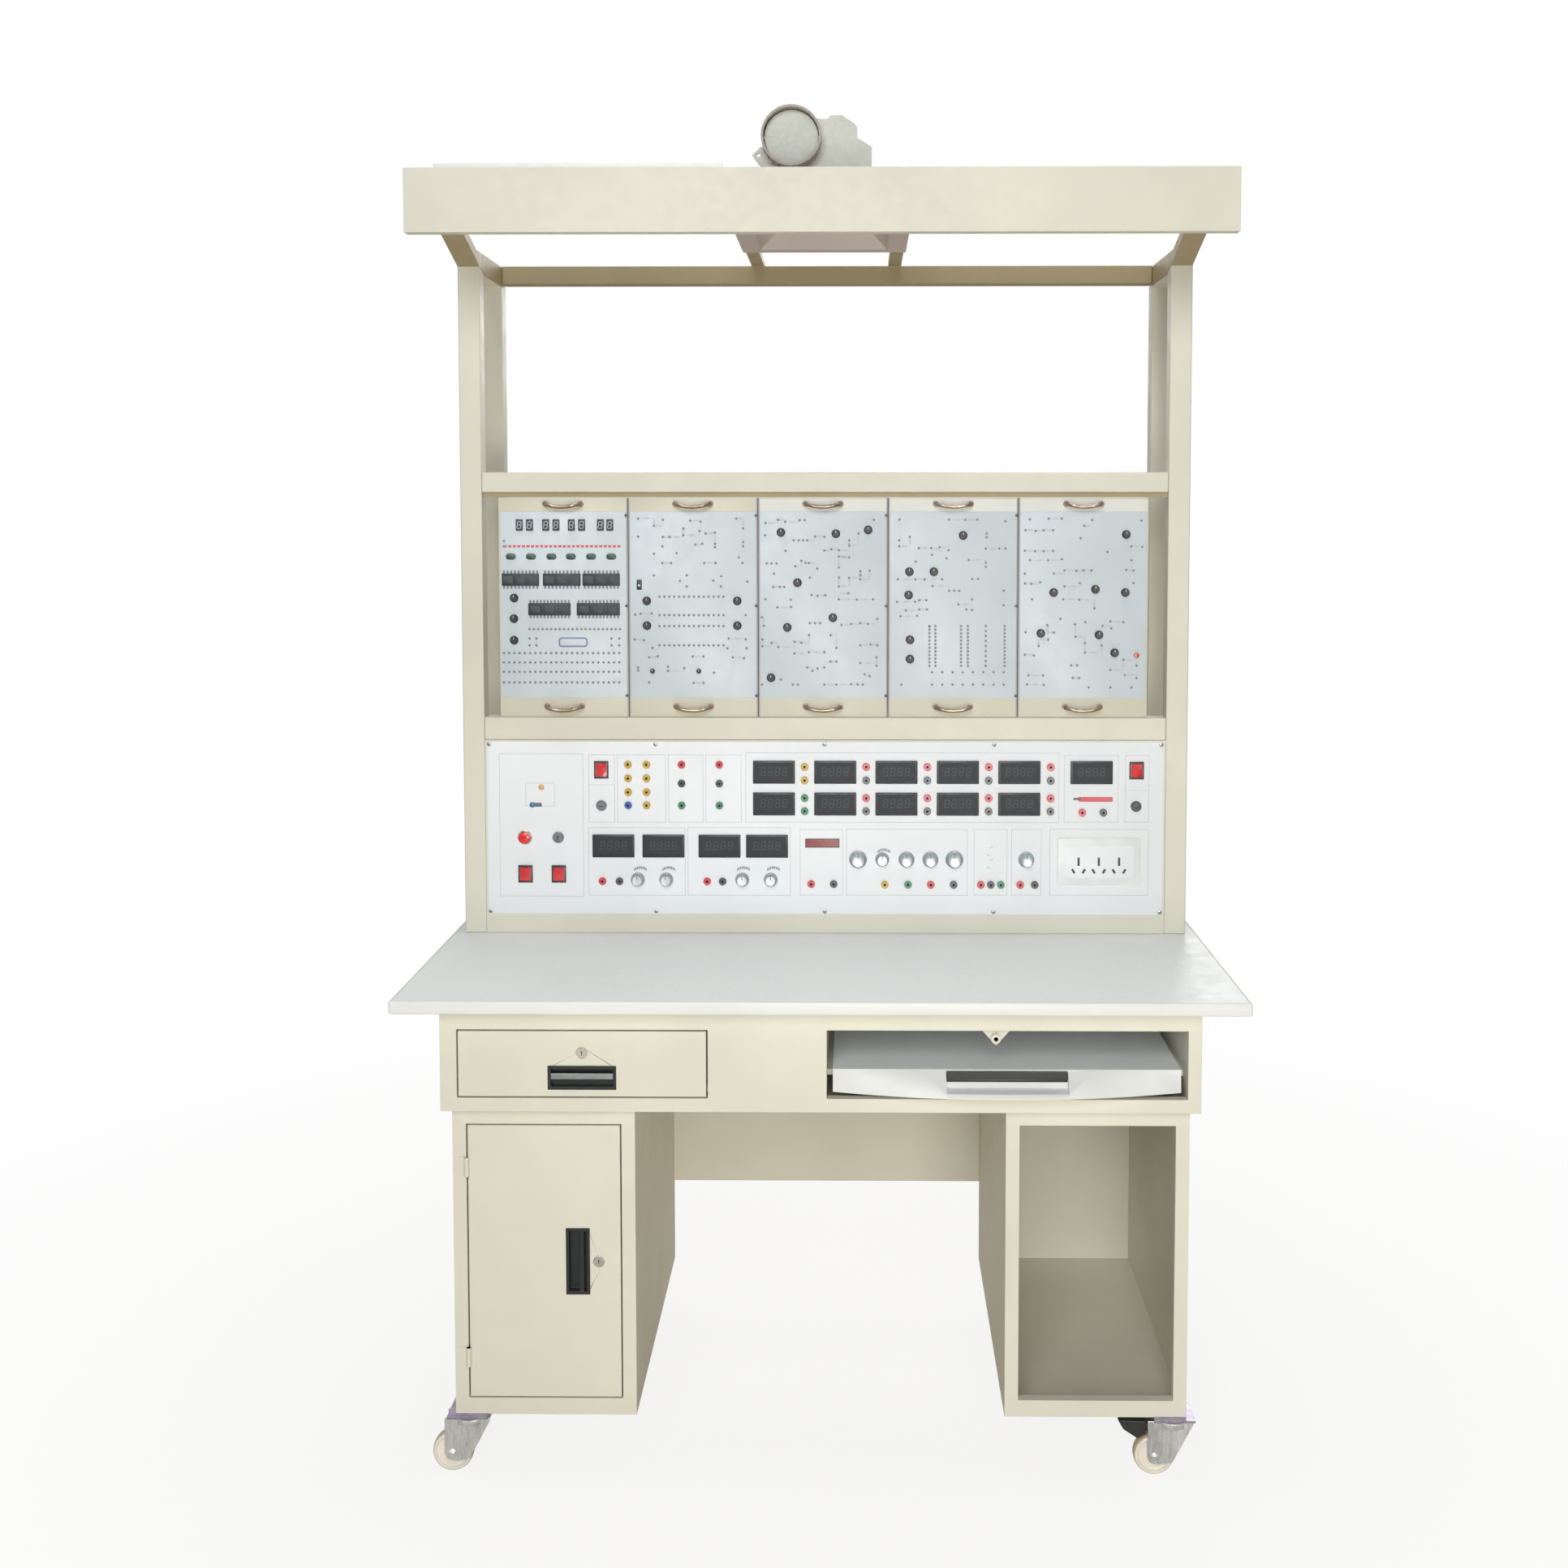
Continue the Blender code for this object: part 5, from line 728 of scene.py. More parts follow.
CREAM = (0.735, 0.714, 0.612)
# Painted shade: a browner cream that stands for the canopy's shadow on the frame under it and on the strip
# above the modules.
PAINTED_SHADE_CREAM = (0.38, 0.31, 0.18)
cream_coat = coated("cream_powder_coat", CREAM, 0.46)
painted_shade_coat = coated("cream_coat_painted_shade", PAINTED_SHADE_CREAM, 0.50)
edge_band = coated("white_edge_band", (0.82, 0.83, 0.82), 0.38, peel=0.003, relief=0.00002)
laminate_top = laminate("worktop_laminate", (0.90, 0.93, 0.93), 0.42)
glue_line = coated("edge_joint", (0.30, 0.30, 0.28), 0.6)
# Lit and shaded copies of one white paint: the tray's top is painted lighter and its front face darker for
# how the light falls on them.
tray_top_painted_light = coated("tray_top_paint_painted_light", (0.93, 0.95, 0.97), 0.42)
tray_face_painted_shade = coated("tray_face_paint_painted_shade", (0.78, 0.79, 0.79), 0.42)
panel_coat = coated("panel_white_silk", (0.87, 0.90, 0.93), 0.44, peel=0.0012, relief=0.00002, drift=0.02)
board_face = coated(
    "board_face", (0.62, 0.69, 0.74), 0.40, peel=0.0014, relief=0.00002, drift=0.03, patch=0.09)
module_paint = coated("module_strip_paint", (0.70, 0.67, 0.55), 0.44)
module_white = coated("module_strip_white", (0.76, 0.76, 0.73), 0.44)
# Dark band at the seams between modules: painted shade of the gap.
seam_painted_shade = coated("module_seam_painted_shade", (0.34, 0.33, 0.37), 0.50)
print_grey = coated("print_grey", (0.50, 0.54, 0.57), 0.50)
print_dark = coated("print_dark", (0.17, 0.17, 0.19), 0.50)
print_red = coated("print_red", (0.70, 0.12, 0.15), 0.50)
print_blue = coated("print_blue", (0.22, 0.27, 0.48), 0.50)
black_plastic = moulded("black_plastic", (0.018, 0.019, 0.021), 0.42)
pull_black = moulded("pull_black", (0.010, 0.014, 0.014), 0.36)
meter_case = moulded("meter_case", (0.016, 0.019, 0.022), 0.38)
meter_window = moulded("meter_window", (0.040, 0.046, 0.052), 0.46, relief=0.00001)
meter_window.node_tree.nodes["Principled BSDF"].inputs["Specular IOR Level"].default_value = 0.2
meter_segment = moulded("meter_segment", (0.048, 0.054, 0.060), 0.50, relief=0.00001)
chip_body = moulded("chip_body", (0.020, 0.033, 0.036), 0.50)
chip_top = moulded("chip_top", (0.034, 0.052, 0.055), 0.55)
display_window = moulded("display_window", (0.22, 0.004, 0.012), 0.28, relief=0.00001, coat=0.4)
display_segment = moulded("display_segment", (0.34, 0.012, 0.018), 0.40, relief=0.00001)
# Painted light: the red rocker paddles and red buttons glow a little though they are no lamps.
red_lens_painted_glow = lens("rocker_red_painted_glow", (0.66, 0.010, 0.020), 0.05)
red_button_painted_glow = lens("button_red_painted_glow", (0.78, 0.010, 0.014), 0.04)
amber_lens = lens("lamp_amber", (0.78, 0.44, 0.14))
blue_lens = lens("lamp_blue", (0.02, 0.17, 0.42))
jack_plastic = tinted_collar("jack_plastic", (0.5, 0.5, 0.5), 0.32, haze=(0.55, 0.55, 0.55))
# Painted shade: near black in bores, cross recesses and key slots, where shade falls.
bore_painted_shade = moulded("bore_painted_shade", (0.012, 0.012, 0.013), 0.6)
nickel = plated("nickel", (0.62, 0.60, 0.56), 0.24, (0.54, 0.52, 0.48))
satin_grip = plated("pull_bar_satin", (0.30, 0.33, 0.34), 0.34, (0.25, 0.28, 0.29), (8.0, 1.0, 1.0))
# Brown metal of the bow handles: painted reflection of dark surroundings in plated metal.
bow_painted_reflection = plated("bow_painted_reflection", (0.24, 0.18, 0.13), 0.34, (0.38, 0.31, 0.25), (3.0, 1.0, 1.0))
key_metal = plated("key_switch_metal", (0.24, 0.25, 0.27), 0.36, (0.18, 0.19, 0.20))
zinc = plated("zinc", (0.86, 0.90, 0.92), 0.28, (0.66, 0.67, 0.72), (1.0, 1.0, 6.0))
# Castor plates: zinc with a purple tint, painted darker than the fork's zinc as painted shade under the
# cabinet.
plate_zinc_painted_shade = plated("castor_plate_zinc_painted_shade", (0.40, 0.40, 0.43), 0.36, (0.32, 0.24, 0.42))
silver_knob = plated("silver_knob", (0.42, 0.47, 0.47), 0.38, (0.36, 0.41, 0.42))
knob_cap = plated("knob_cap", (0.52, 0.56, 0.56), 0.38, (0.45, 0.49, 0.50))
screw_steel = plated("screw_steel", (0.46, 0.46, 0.46), 0.34, (0.38, 0.38, 0.39))
screw_dark = plated("screw_dark", (0.16, 0.15, 0.18), 0.40, (0.12, 0.11, 0.13))
nylon = moulded("cream_nylon", (0.84, 0.79, 0.70), 0.40, relief=0.00003)
# Tan for the wheels' treads: painted shade on the rim of each wheel.
nylon_tread_painted_shade = moulded("nylon_tread_painted_shade", (0.74, 0.59, 0.41), 0.44, relief=0.00003)
hood_coat = coated("hood_mauve_paint", (0.58, 0.50, 0.47), 0.42)
# Darker ring of the duct collar round the damper disc: painted shade.
collar_painted_shade = moulded("duct_collar_painted_shade", (0.36, 0.32, 0.27), 0.44, texture=0.0014)
fan_plastic = moulded("fan_plastic", (0.56, 0.58, 0.52), 0.42, texture=0.0014)
lamp_paint = coated("lamp_white_paint", (0.84, 0.85, 0.83), 0.30, relief=0.00001)
socket_plastic = moulded("socket_white_plastic", (0.82, 0.84, 0.84), 0.34, relief=0.00002)
oval_green = moulded("key_green_black", (0.035, 0.075, 0.055), 0.40)
socket_grey = coated("board_socket_grey", (0.35, 0.38, 0.41), 0.40)
# Dark bars for the outlet slots: painted shade of the holes.
outlet_slot_painted_shade = moulded("outlet_slot_painted_shade", (0.045, 0.042, 0.045), 0.5)
fuse_grey = moulded("fuse_cap_grey", (0.19, 0.19, 0.21), 0.40)
fuse_dark = moulded("fuse_cap_dark", (0.065, 0.070, 0.085), 0.40)
contact_grey = coated("wire_grey", (0.20, 0.21, 0.23), 0.44)
tube_glass = opal("opal_tube", (0.92, 0.92, 0.89), 0.14, ((0.90, 0.90, 0.87), (0.95, 0.95, 0.93)))


# Geometry Nodes

def new_tree(name, inputs):
    """Node group with a geometry in and out and named inputs: (name, socket kind, default)."""
    tree = bpy.data.node_groups.new(name, "GeometryNodeTree")
    tree.interface.new_socket(name="Points", in_out="INPUT", socket_type="NodeSocketGeometry")
    for label, kind, value in inputs:
        socket = tree.interface.new_socket(name=label, in_out="INPUT", socket_type=kind)
        if value is not None:
            socket.default_value = value
    tree.interface.new_socket(name="Geometry", in_out="OUTPUT", socket_type="NodeSocketGeometry")
    return tree, tree.nodes.new("NodeGroupInput"), tree.nodes.new("NodeGroupOutput")


def maths(tree, operation, first, second):
    return add_node(tree, "ShaderNodeMath", {0: first, 1: second}, operation=operation).outputs["Value"]


def lifted(tree, geometry, height):
    offset = add_node(tree, "ShaderNodeCombineXYZ", {"Z": height})
    return add_node(tree, "GeometryNodeTransform", {
        "Geometry": geometry, "Translation": offset.outputs["Vector"]}).outputs["Geometry"]


def cylinder(tree, get):
    """Round body from the group's sides, radius and height: its mesh and its top faces."""
    body = add_node(tree, "GeometryNodeMeshCylinder", {
        "Vertices": get["Sides"], "Radius": get["Radius"], "Depth": get["Height"]}, fill_type="NGON")
    return body.outputs["Mesh"], body.outputs["Top"]


def push_top(tree, geometry, top, distance, shrink):
    """Extrude the top faces by a distance, then scale them about their middle: mesh, top and sides."""
    extrude = add_node(tree, "GeometryNodeExtrudeMesh", {
        "Individual": False, "Mesh": geometry, "Selection": top, "Offset Scale": distance})
    scale = add_node(tree, "GeometryNodeScaleElements", {
        "Geometry": extrude.outputs["Mesh"], "Selection": extrude.outputs["Top"], "Scale": shrink})
    return scale.outputs["Geometry"], extrude.outputs["Top"], extrude.outputs["Side"]


def mark_recess(tree, geometry, value):
    """Store on the faces whether they are part of the recess."""
    return add_node(
        tree, "GeometryNodeStoreNamedAttribute", {"Name": "recess", "Geometry": geometry, "Value": value},
        data_type="BOOLEAN", domain="FACE").outputs["Geometry"]


def place_on_points(tree, get, group_out, geometry):
    """Lift the part by half its height, put it on the points and give it its body finish and the painted
    shade of its recess.
    """
    part = lifted(tree, geometry, maths(tree, "DIVIDE", get["Height"], 2.0))
    spots = add_node(tree, "GeometryNodeInstanceOnPoints", {
        "Points": get["Points"], "Instance": part, "Rotation": get["Turn"]})
    whole = add_node(tree, "GeometryNodeRealizeInstances", {"Geometry": spots.outputs["Instances"]})
    body = add_node(tree, "GeometryNodeSetMaterial", {
        "Geometry": whole.outputs["Geometry"], "Material": get["Body finish"]})
    chosen = add_node(tree, "GeometryNodeInputNamedAttribute", {"Name": "recess"}, data_type="BOOLEAN")
    recess = add_node(tree, "GeometryNodeSetMaterial", {
        "Geometry": body.outputs["Geometry"], "Selection": chosen.outputs["Attribute"],
        "Material": get["Recess painted shade"]})
    set_inputs(tree, group_out, {"Geometry": recess.outputs["Geometry"]})


COMMON_INPUTS = (
    ("Turn", "NodeSocketRotation", None), ("Body finish", "NodeSocketMaterial", None),
    ("Recess painted shade", "NodeSocketMaterial", None))
BORE_TAPER = 0.9
SCREW_CROWN_SHARES = (0.86, 0.70)
SCREW_SLOT_REACH = 1.1
SCREW_SLOT_DEPTH = 1.06


def socket_tree():
    """Points become round sockets: a collar with a chamfer and a sunk bore in painted shade."""
    tree, group_in, group_out = new_tree("round_sockets", (
        ("Radius", "NodeSocketFloat", 0.007), ("Height", "NodeSocketFloat", 0.005),
        ("Chamfer", "NodeSocketFloat", 0.0008), ("Bore radius", "NodeSocketFloat", 0.002),
        ("Bore depth", "NodeSocketFloat", 0.003), ("Sides", "NodeSocketInt", 18)) + COMMON_INPUTS)
    get = group_in.outputs
    mesh, top = cylinder(tree, get)
    rim = maths(tree, "SUBTRACT", get["Radius"], get["Chamfer"])
    for distance, shrink in (
            (get["Chamfer"], maths(tree, "DIVIDE", rim, get["Radius"])),
            (0.0, maths(tree, "DIVIDE", get["Bore radius"], rim)),
            (maths(tree, "MULTIPLY", get["Bore depth"], -1.0), BORE_TAPER)):
        mesh, top, side = push_top(tree, mesh, top, distance, shrink)
    both = add_node(tree, "FunctionNodeBooleanMath", {0: top, 1: side}, operation="OR")
    place_on_points(tree, get, group_out, mark_recess(tree, mesh, both.outputs["Boolean"]))
    return tree


def screw_tree():
    """Points become pan head screws with a cross recess, a dark cross of painted shade in the crown."""
    tree, group_in, group_out = new_tree("cross_screws", (
        ("Radius", "NodeSocketFloat", 0.004), ("Height", "NodeSocketFloat", 0.0014),
        ("Crown", "NodeSocketFloat", 0.0006), ("Slot", "NodeSocketFloat", 0.0009),
        ("Sides", "NodeSocketInt", 20)) + COMMON_INPUTS)
    get = group_in.outputs
    mesh, top = cylinder(tree, get)
    half = maths(tree, "MULTIPLY", get["Crown"], 0.5)
    for share in SCREW_CROWN_SHARES:
        mesh, top = push_top(tree, mesh, top, half, share)[:2]
    parts = add_node(tree, "GeometryNodeJoinGeometry", {"Geometry": mark_recess(tree, mesh, False)})
    reach = maths(tree, "MULTIPLY", get["Radius"], SCREW_SLOT_REACH)
    level = maths(tree, "ADD", maths(tree, "MULTIPLY", get["Height"], 0.5), half)
    depth = maths(tree, "MULTIPLY", get["Crown"], SCREW_SLOT_DEPTH)
    for long_side, short_side in (("X", "Y"), ("Y", "X")):
        size = add_node(tree, "ShaderNodeCombineXYZ", {long_side: reach, short_side: get["Slot"], "Z": depth})
        slot = add_node(tree, "GeometryNodeMeshCube", {"Size": size.outputs["Vector"]})
        lift = lifted(tree, slot.outputs["Mesh"], level)
        set_inputs(tree, parts, {"Geometry": mark_recess(tree, lift, True)})
    place_on_points(tree, get, group_out, parts.outputs["Geometry"])
    return tree


def contact_tree():
    """Points become small square contacts that stand proud of a chip's socket."""
    tree, group_in, group_out = new_tree("chip_contacts", (
        ("Width", "NodeSocketFloat", 0.0012), ("Length", "NodeSocketFloat", 0.0022),
        ("Height", "NodeSocketFloat", 0.0010)) + COMMON_INPUTS)
    get = group_in.outputs
    size = add_node(tree, "ShaderNodeCombineXYZ", {"X": get["Width"], "Y": get["Length"], "Z": get["Height"]})
    contact = add_node(tree, "GeometryNodeMeshCube", {"Size": size.outputs["Vector"]})
    place_on_points(tree, get, group_out, mark_recess(tree, contact.outputs["Mesh"], False))
    return tree


round_sockets = socket_tree()
cross_screws = screw_tree()
chip_contacts = contact_tree()


def grown(name, points, tree, finishes, tints=None, turn=(math.pi / 2, 0.0, 0.0), **sizes):
    """Run a node tree on points and keep the result as a plain mesh."""
    mesh = bpy.data.meshes.new(name)
    mesh.from_pydata([tuple(point) for point in points], [], [])
    if tints:
        tint = mesh.attributes.new("tint", "FLOAT_COLOR", "POINT")
        for item, colour in zip(tint.data, tints):
            item.color = (*colour, 1.0)
    obj = add_object(name, mesh)
    modifier = obj.modifiers.new(tree.name, "NODES")
    modifier.node_group = tree
    values = {"Turn": turn, "Body finish": finishes[0], "Recess painted shade": finishes[1]}
    values.update({key.replace("_", " ").capitalize(): value for key, value in sizes.items()})
    for item in tree.interface.items_tree:
        if item.in_out == "INPUT" and item.name in values:
            modifier[item.identifier] = values[item.name]
    apply_modifiers(obj)
    obj.data.shade_smooth()
    obj.data.set_sharp_from_angle(angle=math.radians(35.0))
    return obj


# Desk and cabinets

WORKTOP_EDGE = 0.004
GLUE_LINE = 0.0009
WIDE_AREA = 0.5
LEVEL_LEAN = 0.999


def worktop_board():
    """Laminated board with a white edge band and a fine joint line round the top."""
    low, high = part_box("worktop")
    bm = bmesh.new()
    add_box(bm, low, high, round_by=WORKTOP_EDGE, steps=4, material=1)
    flats = [face for face in bm.faces if abs(face.normal.z) > LEVEL_LEAN and face.calc_area() > WIDE_AREA]
    for face in flats:
        face.material_index = 0
        made = bmesh.ops.inset_region(bm, faces=[face], thickness=GLUE_LINE)
        for ring in made["faces"]:
            ring.material_index = 2
    obj = from_bmesh("worktop_board", bm, laminate_top, edge_band, glue_line)
    place(obj, "bench", "worktop_laminate", "worktop")


SHEET_EDGE = 0.0008
FOLD_EDGE = 0.0009
CROSSBAR_EDGE = 0.0018
TUBE_EDGE = 0.0022
STEEL_PIECES = {
    "desk_frame": ("bench", SHEET_EDGE), "modesty_panel": ("bench", SHEET_EDGE),
    "left_cabinet": ("bench", SHEET_EDGE), "right_cabinet": ("bench", SHEET_EDGE),
    "drawer": ("drawer_unit", FOLD_EDGE), "cabinet_door": ("door_unit", FOLD_EDGE),
    "side_frame_left": ("bench", TUBE_EDGE), "side_frame_right": ("bench", TUBE_EDGE),
    "middle_rail": ("bench", TUBE_EDGE), "upper_rail": ("bench", TUBE_EDGE),
    "rear_crossbar": ("bench", CROSSBAR_EDGE), "fascia": ("bench", FOLD_EDGE),
    "instrument_case": ("bench", FOLD_EDGE),
}
PLATE_CARRIERS = ("left_cabinet", "right_cabinet")
CABINET_UNDERSIDE = 0.105
CASTOR_PLATE_TOP = 0.106
CASTOR_PLATE_SIZE = 0.068
CASTOR_PLATE_THICKNESS = 0.003
CANOPY_FRAMES = ("side_frame_left", "side_frame_right", "rear_crossbar")
CANOPY_SHADE_LEVEL = 2.056
BACK_LEAN = 0.5


def takes_plate_zinc_or_painted_shade(node, face):
    """Whether a face is part of a castor's plate, or of the frame under the canopy and not its back, which
    takes the painted shade.
    """
    level = face.center.z
    if node in PLATE_CARRIERS:
        return level < CABINET_UNDERSIDE - MERGE or abs(level - CASTOR_PLATE_TOP) < MERGE
    return node in CANOPY_FRAMES and level > CANOPY_SHADE_LEVEL and face.normal.y < BACK_LEAN


def steel_pieces():
    """Powder coated sheet and tube, with darker zinc castor plates and a browner cream of painted shade on
    the frame under the canopy.
    """
    for node, (body, width) in STEEL_PIECES.items():
        finishes = [cream_coat]
        if node in PLATE_CARRIERS:
            finishes.append(plate_zinc_painted_shade)
        # The frame under the canopy also takes the painted shade.
        if node in CANOPY_FRAMES:
            finishes.append(painted_shade_coat)
        obj = cad_copy(node, node + "_steel", *finishes)
        for face in obj.data.polygons:
            if takes_plate_zinc_or_painted_shade(node, face):
                face.material_index = 1
        place(soften(obj, width), body, "cream_paint", node)


STRIP_SETBACK = 0.008
STRIP_THICKNESS = 0.002
STRIP_CLEARANCE = 0.0005


def painted_shadow_strip():
    """Strip behind the upper rail that closes the slot above the modules, in the browner cream as painted
    shade for the shadow line there.
    """
    rail_low, rail_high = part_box("upper_rail")
    front = rail_low.y + STRIP_SETBACK
    bm = bmesh.new()
    add_box(bm, (rail_low.x + ROOTED, front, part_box("module_1")[1].z + STRIP_CLEARANCE),
            (rail_high.x - ROOTED, front + STRIP_THICKNESS, rail_low.z + ROOTED))
    place(from_bmesh("module_painted_shadow_strip", bm, painted_shade_coat), "bench", "cream_paint")


TRAY_FACE_LEAN = 0.5
TRAY_EDGE = 0.0009
STRIP_EDGE = 0.0012
STRIP_LIP_EDGE = 0.0006
STRIP_LIP_DROP = 0.0045
CATCH_EYE_PIXEL = (1227.3, 1280.6)
CATCH_EYE_RADIUS = 0.0080
CATCH_HOLE_RADIUS = 0.0036
CATCH_EYE_PROFILE = (
    (CATCH_HOLE_RADIUS, -0.0005), (CATCH_EYE_RADIUS, -0.0005), (CATCH_EYE_RADIUS, 0.0006),
    (CATCH_EYE_RADIUS * 0.85, 0.0012), (CATCH_HOLE_RADIUS * 1.3, 0.0012), (CATCH_HOLE_RADIUS, 0.0004),
    (CATCH_HOLE_RADIUS, -0.0005))


def keyboard_tray():
    """White tray with its top painted lighter and its front face darker as painted light and shade, its black
    finger strip with a lip of painted shade, and the eyelet of the catch above it.
    """
    tray = cad_copy("keyboard_tray", "keyboard_tray_sheet", tray_top_painted_light, tray_face_painted_shade)
    # Faces that look forward take the darker copy, painted shade.
    for face in tray.data.polygons:
        if face.normal.y < -TRAY_FACE_LEAN:
            face.material_index = 1
    place(soften(tray, TRAY_EDGE), "keyboard_shelf", "tray_paint", "keyboard_tray")
    strip = soft_copy("tray_handle", "_strip", black_plastic, STRIP_EDGE)
    low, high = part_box("tray_handle")
    # Black lip below the finger strip: painted shade where the top of the finger recess lies in shadow.
    bm = bmesh.new()
    add_box(bm, (low.x + ROOTED, low.y + ROOTED, low.z - STRIP_LIP_DROP),
            (high.x - ROOTED, low.y + STRIP_THICKNESS, low.z + SUNK), round_by=STRIP_LIP_EDGE)
    lip = from_bmesh("tray_strip_lip_painted_shade", bm, black_plastic)
    place(join("tray_finger_strip_whole", strip, lip), "keyboard_shelf", "black_plastic", "tray_handle")
    bm = bmesh.new()
    spot = photo_point(CATCH_EYE_PIXEL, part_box("drawer")[0].y)
    add_turned(bm, CATCH_EYE_PROFILE, spot, FRONT, 28)
    place(from_bmesh("catch_eyelet", bm, cream_coat), "bench", "cream_paint")


PULL_EDGE = 0.0006
PULL_BAR_RISE = 0.002
PULL_BAR_REACH = 0.0053
PULL_BAR_HALF = 0.047
PULL_BAR_DEPTHS = (0.0005, 0.0062)


def flush_pull(node, body, bar_finish):
    """Black cup with a bar across it."""
    obj = cad_copy(node, node + "_cup", pull_black, bar_finish)
    low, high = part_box(node)
    middle = (low + high) / 2
    nearest, deepest = PULL_BAR_DEPTHS
    for face in obj.data.polygons:
        offset = face.center - middle
        on_bar = abs(offset.z - PULL_BAR_RISE) < PULL_BAR_REACH and abs(offset.x) < PULL_BAR_HALF
        if on_bar and nearest < face.center.y - low.y < deepest:
            face.material_index = 1
    place(soften(obj, PULL_EDGE), body, "black_plastic", node)


LOCK_EDGE = 0.0003
LOCK_PROFILE = (
    (0.0, -0.0020), (0.0092, -0.0020), (0.0092, -0.0006), (0.0086, 0.0002), (0.0068, 0.0002),
    (0.0066, -0.0004), (0.0064, -0.0004), (0.0060, 0.0001), (0.0, 0.0001))
# Bars of the key's slot, dark as painted shade, as add_mark takes them
LOCK_SLOTS = ((0.0006, -0.0034, 0.0034, 0.00025, 0.0012), (0.0016, 0.0008, 0.0018, 0.00025, 0.0012))


def cam_lock(node, body):
    """Barrel lock: turned face with a key slot in painted shade, barrel and cam."""
    centre = joint_point(node + "_turn")
    start = Vector((centre.x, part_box(node)[0].y, centre.z))
    bm = bmesh.new()
    add_turned(bm, LOCK_PROFILE, start, FRONT, 40)
    for slot in LOCK_SLOTS:
        add_mark(bm, start, *slot)
    face = from_bmesh(node + "_face", bm, nickel, bore_painted_shade)
    barrel = soft_copy(node, "_barrel", nickel, LOCK_EDGE)
    place(join(node + "_whole", barrel, face), body, "nickel", node)


HINGE_EDGE = 0.0004
KNUCKLES = 5
KNUCKLE_RADIUS = 0.0041
KNUCKLE_CHAMFER = 0.0006
KNUCKLE_END_RADIUS = 0.0036
KNUCKLE_JOINT_RADIUS = 0.0035
KNUCKLE_JOINT_HALF = 0.0002


def door_hinge(node):
    """Small knuckle hinge with turned joints between its knuckles."""
    low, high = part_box(node)
    centre = joint_point("door_hinge")
    length = high.z - low.z
    profile = [(0.0, 0.0), (KNUCKLE_END_RADIUS, 0.0), (KNUCKLE_RADIUS, KNUCKLE_CHAMFER)]
    for knuckle in range(1, KNUCKLES):
        level = length * knuckle / KNUCKLES
        profile += [
            (KNUCKLE_RADIUS, level - KNUCKLE_CHAMFER), (KNUCKLE_JOINT_RADIUS, level - KNUCKLE_JOINT_HALF),
            (KNUCKLE_JOINT_RADIUS, level + KNUCKLE_JOINT_HALF), (KNUCKLE_RADIUS, level + KNUCKLE_CHAMFER)]
    profile += [(KNUCKLE_RADIUS, length - KNUCKLE_CHAMFER), (KNUCKLE_END_RADIUS, length), (0.0, length)]
    bm = bmesh.new()
    add_turned(bm, profile, (centre.x, centre.y, low.z), UP, 20)
    barrel = from_bmesh(node + "_knuckles", bm, cream_coat)
    leaf = soft_copy(node, "_leaf", cream_coat, HINGE_EDGE)
    place(join(node + "_whole", leaf, barrel), "bench", "cream_paint", node)


# Castors

CASTOR_CORNERS = ("front_left", "rear_left", "front_right", "rear_right")
FORK_EDGE = 0.0007
PEDAL_EDGE = 0.0012
RIVET_SETBACK = 0.0048
RIVET_PROFILE = ((0.0, -0.002), (0.0062, -0.002), (0.0062, 0.0004), (0.0050, 0.0016), (0.0, 0.00224))
# One side from the hub to the tread, as shares of the wheel's radius and half width
WHEEL_SHARES = (
    (0.0, 1.0), (0.33, 1.0), (0.37, 0.93), (0.40, 0.70), (0.44, 0.66), (0.74, 0.64), (0.78, 0.70),
    (0.81, 0.93), (0.84, 0.985), (0.90, 0.97), (0.955, 0.85), (0.985, 0.62), (1.0, 0.36))
TREAD_START = 10
TREAD_STEPS = 5
# The tread's steps take the tan nylon, painted shade on the wheel's rim.
WHEEL_FINISHES = (0,) * TREAD_START + (1,) * TREAD_STEPS + (0,) * TREAD_START
BOLT_INSET = 0.009
CASTOR_BOLT = {"radius": 0.0038, "height": 0.0012, "crown": 0.0008, "slot": 0.0009, "sides": 16}


def castor(corner):
    """Zinc fork with a rivet head at each end of its axle, and the nylon wheel with a tan tread of painted
    shade.
    """
    node = "castor_fork_" + corner
    wheel = "castor_wheel_" + corner
    axle = joint_point(f"castor_{corner}_roll")
    low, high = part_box(wheel)
    half = (high.y - low.y) / 2
    radius = (high.z - low.z) / 2
    bm = bmesh.new()
    for side in (-1.0, 1.0):
        outer = axle.y + side * (half + RIVET_SETBACK)
        add_turned(bm, RIVET_PROFILE, (axle.x, outer, axle.z), (0.0, side, 0.0), 20)
    rivets = from_bmesh(node + "_rivets", bm, zinc)
    fork = soft_copy(node, "_zinc", zinc, FORK_EDGE)
    place(join(node + "_whole", fork, rivets), "castor_" + corner, "zinc", node)
    bm = bmesh.new()
    profile = scaled(WHEEL_SHARES, radius, half) + scaled(reversed(WHEEL_SHARES), radius, -half)
    add_turned(bm, profile, axle, -FRONT, 64, materials=WHEEL_FINISHES)
    tyre = from_bmesh(wheel + "_nylon", bm, nylon, nylon_tread_painted_shade, smooth_angle=40.0)
    place(tyre, "wheel_" + corner, "nylon", wheel)


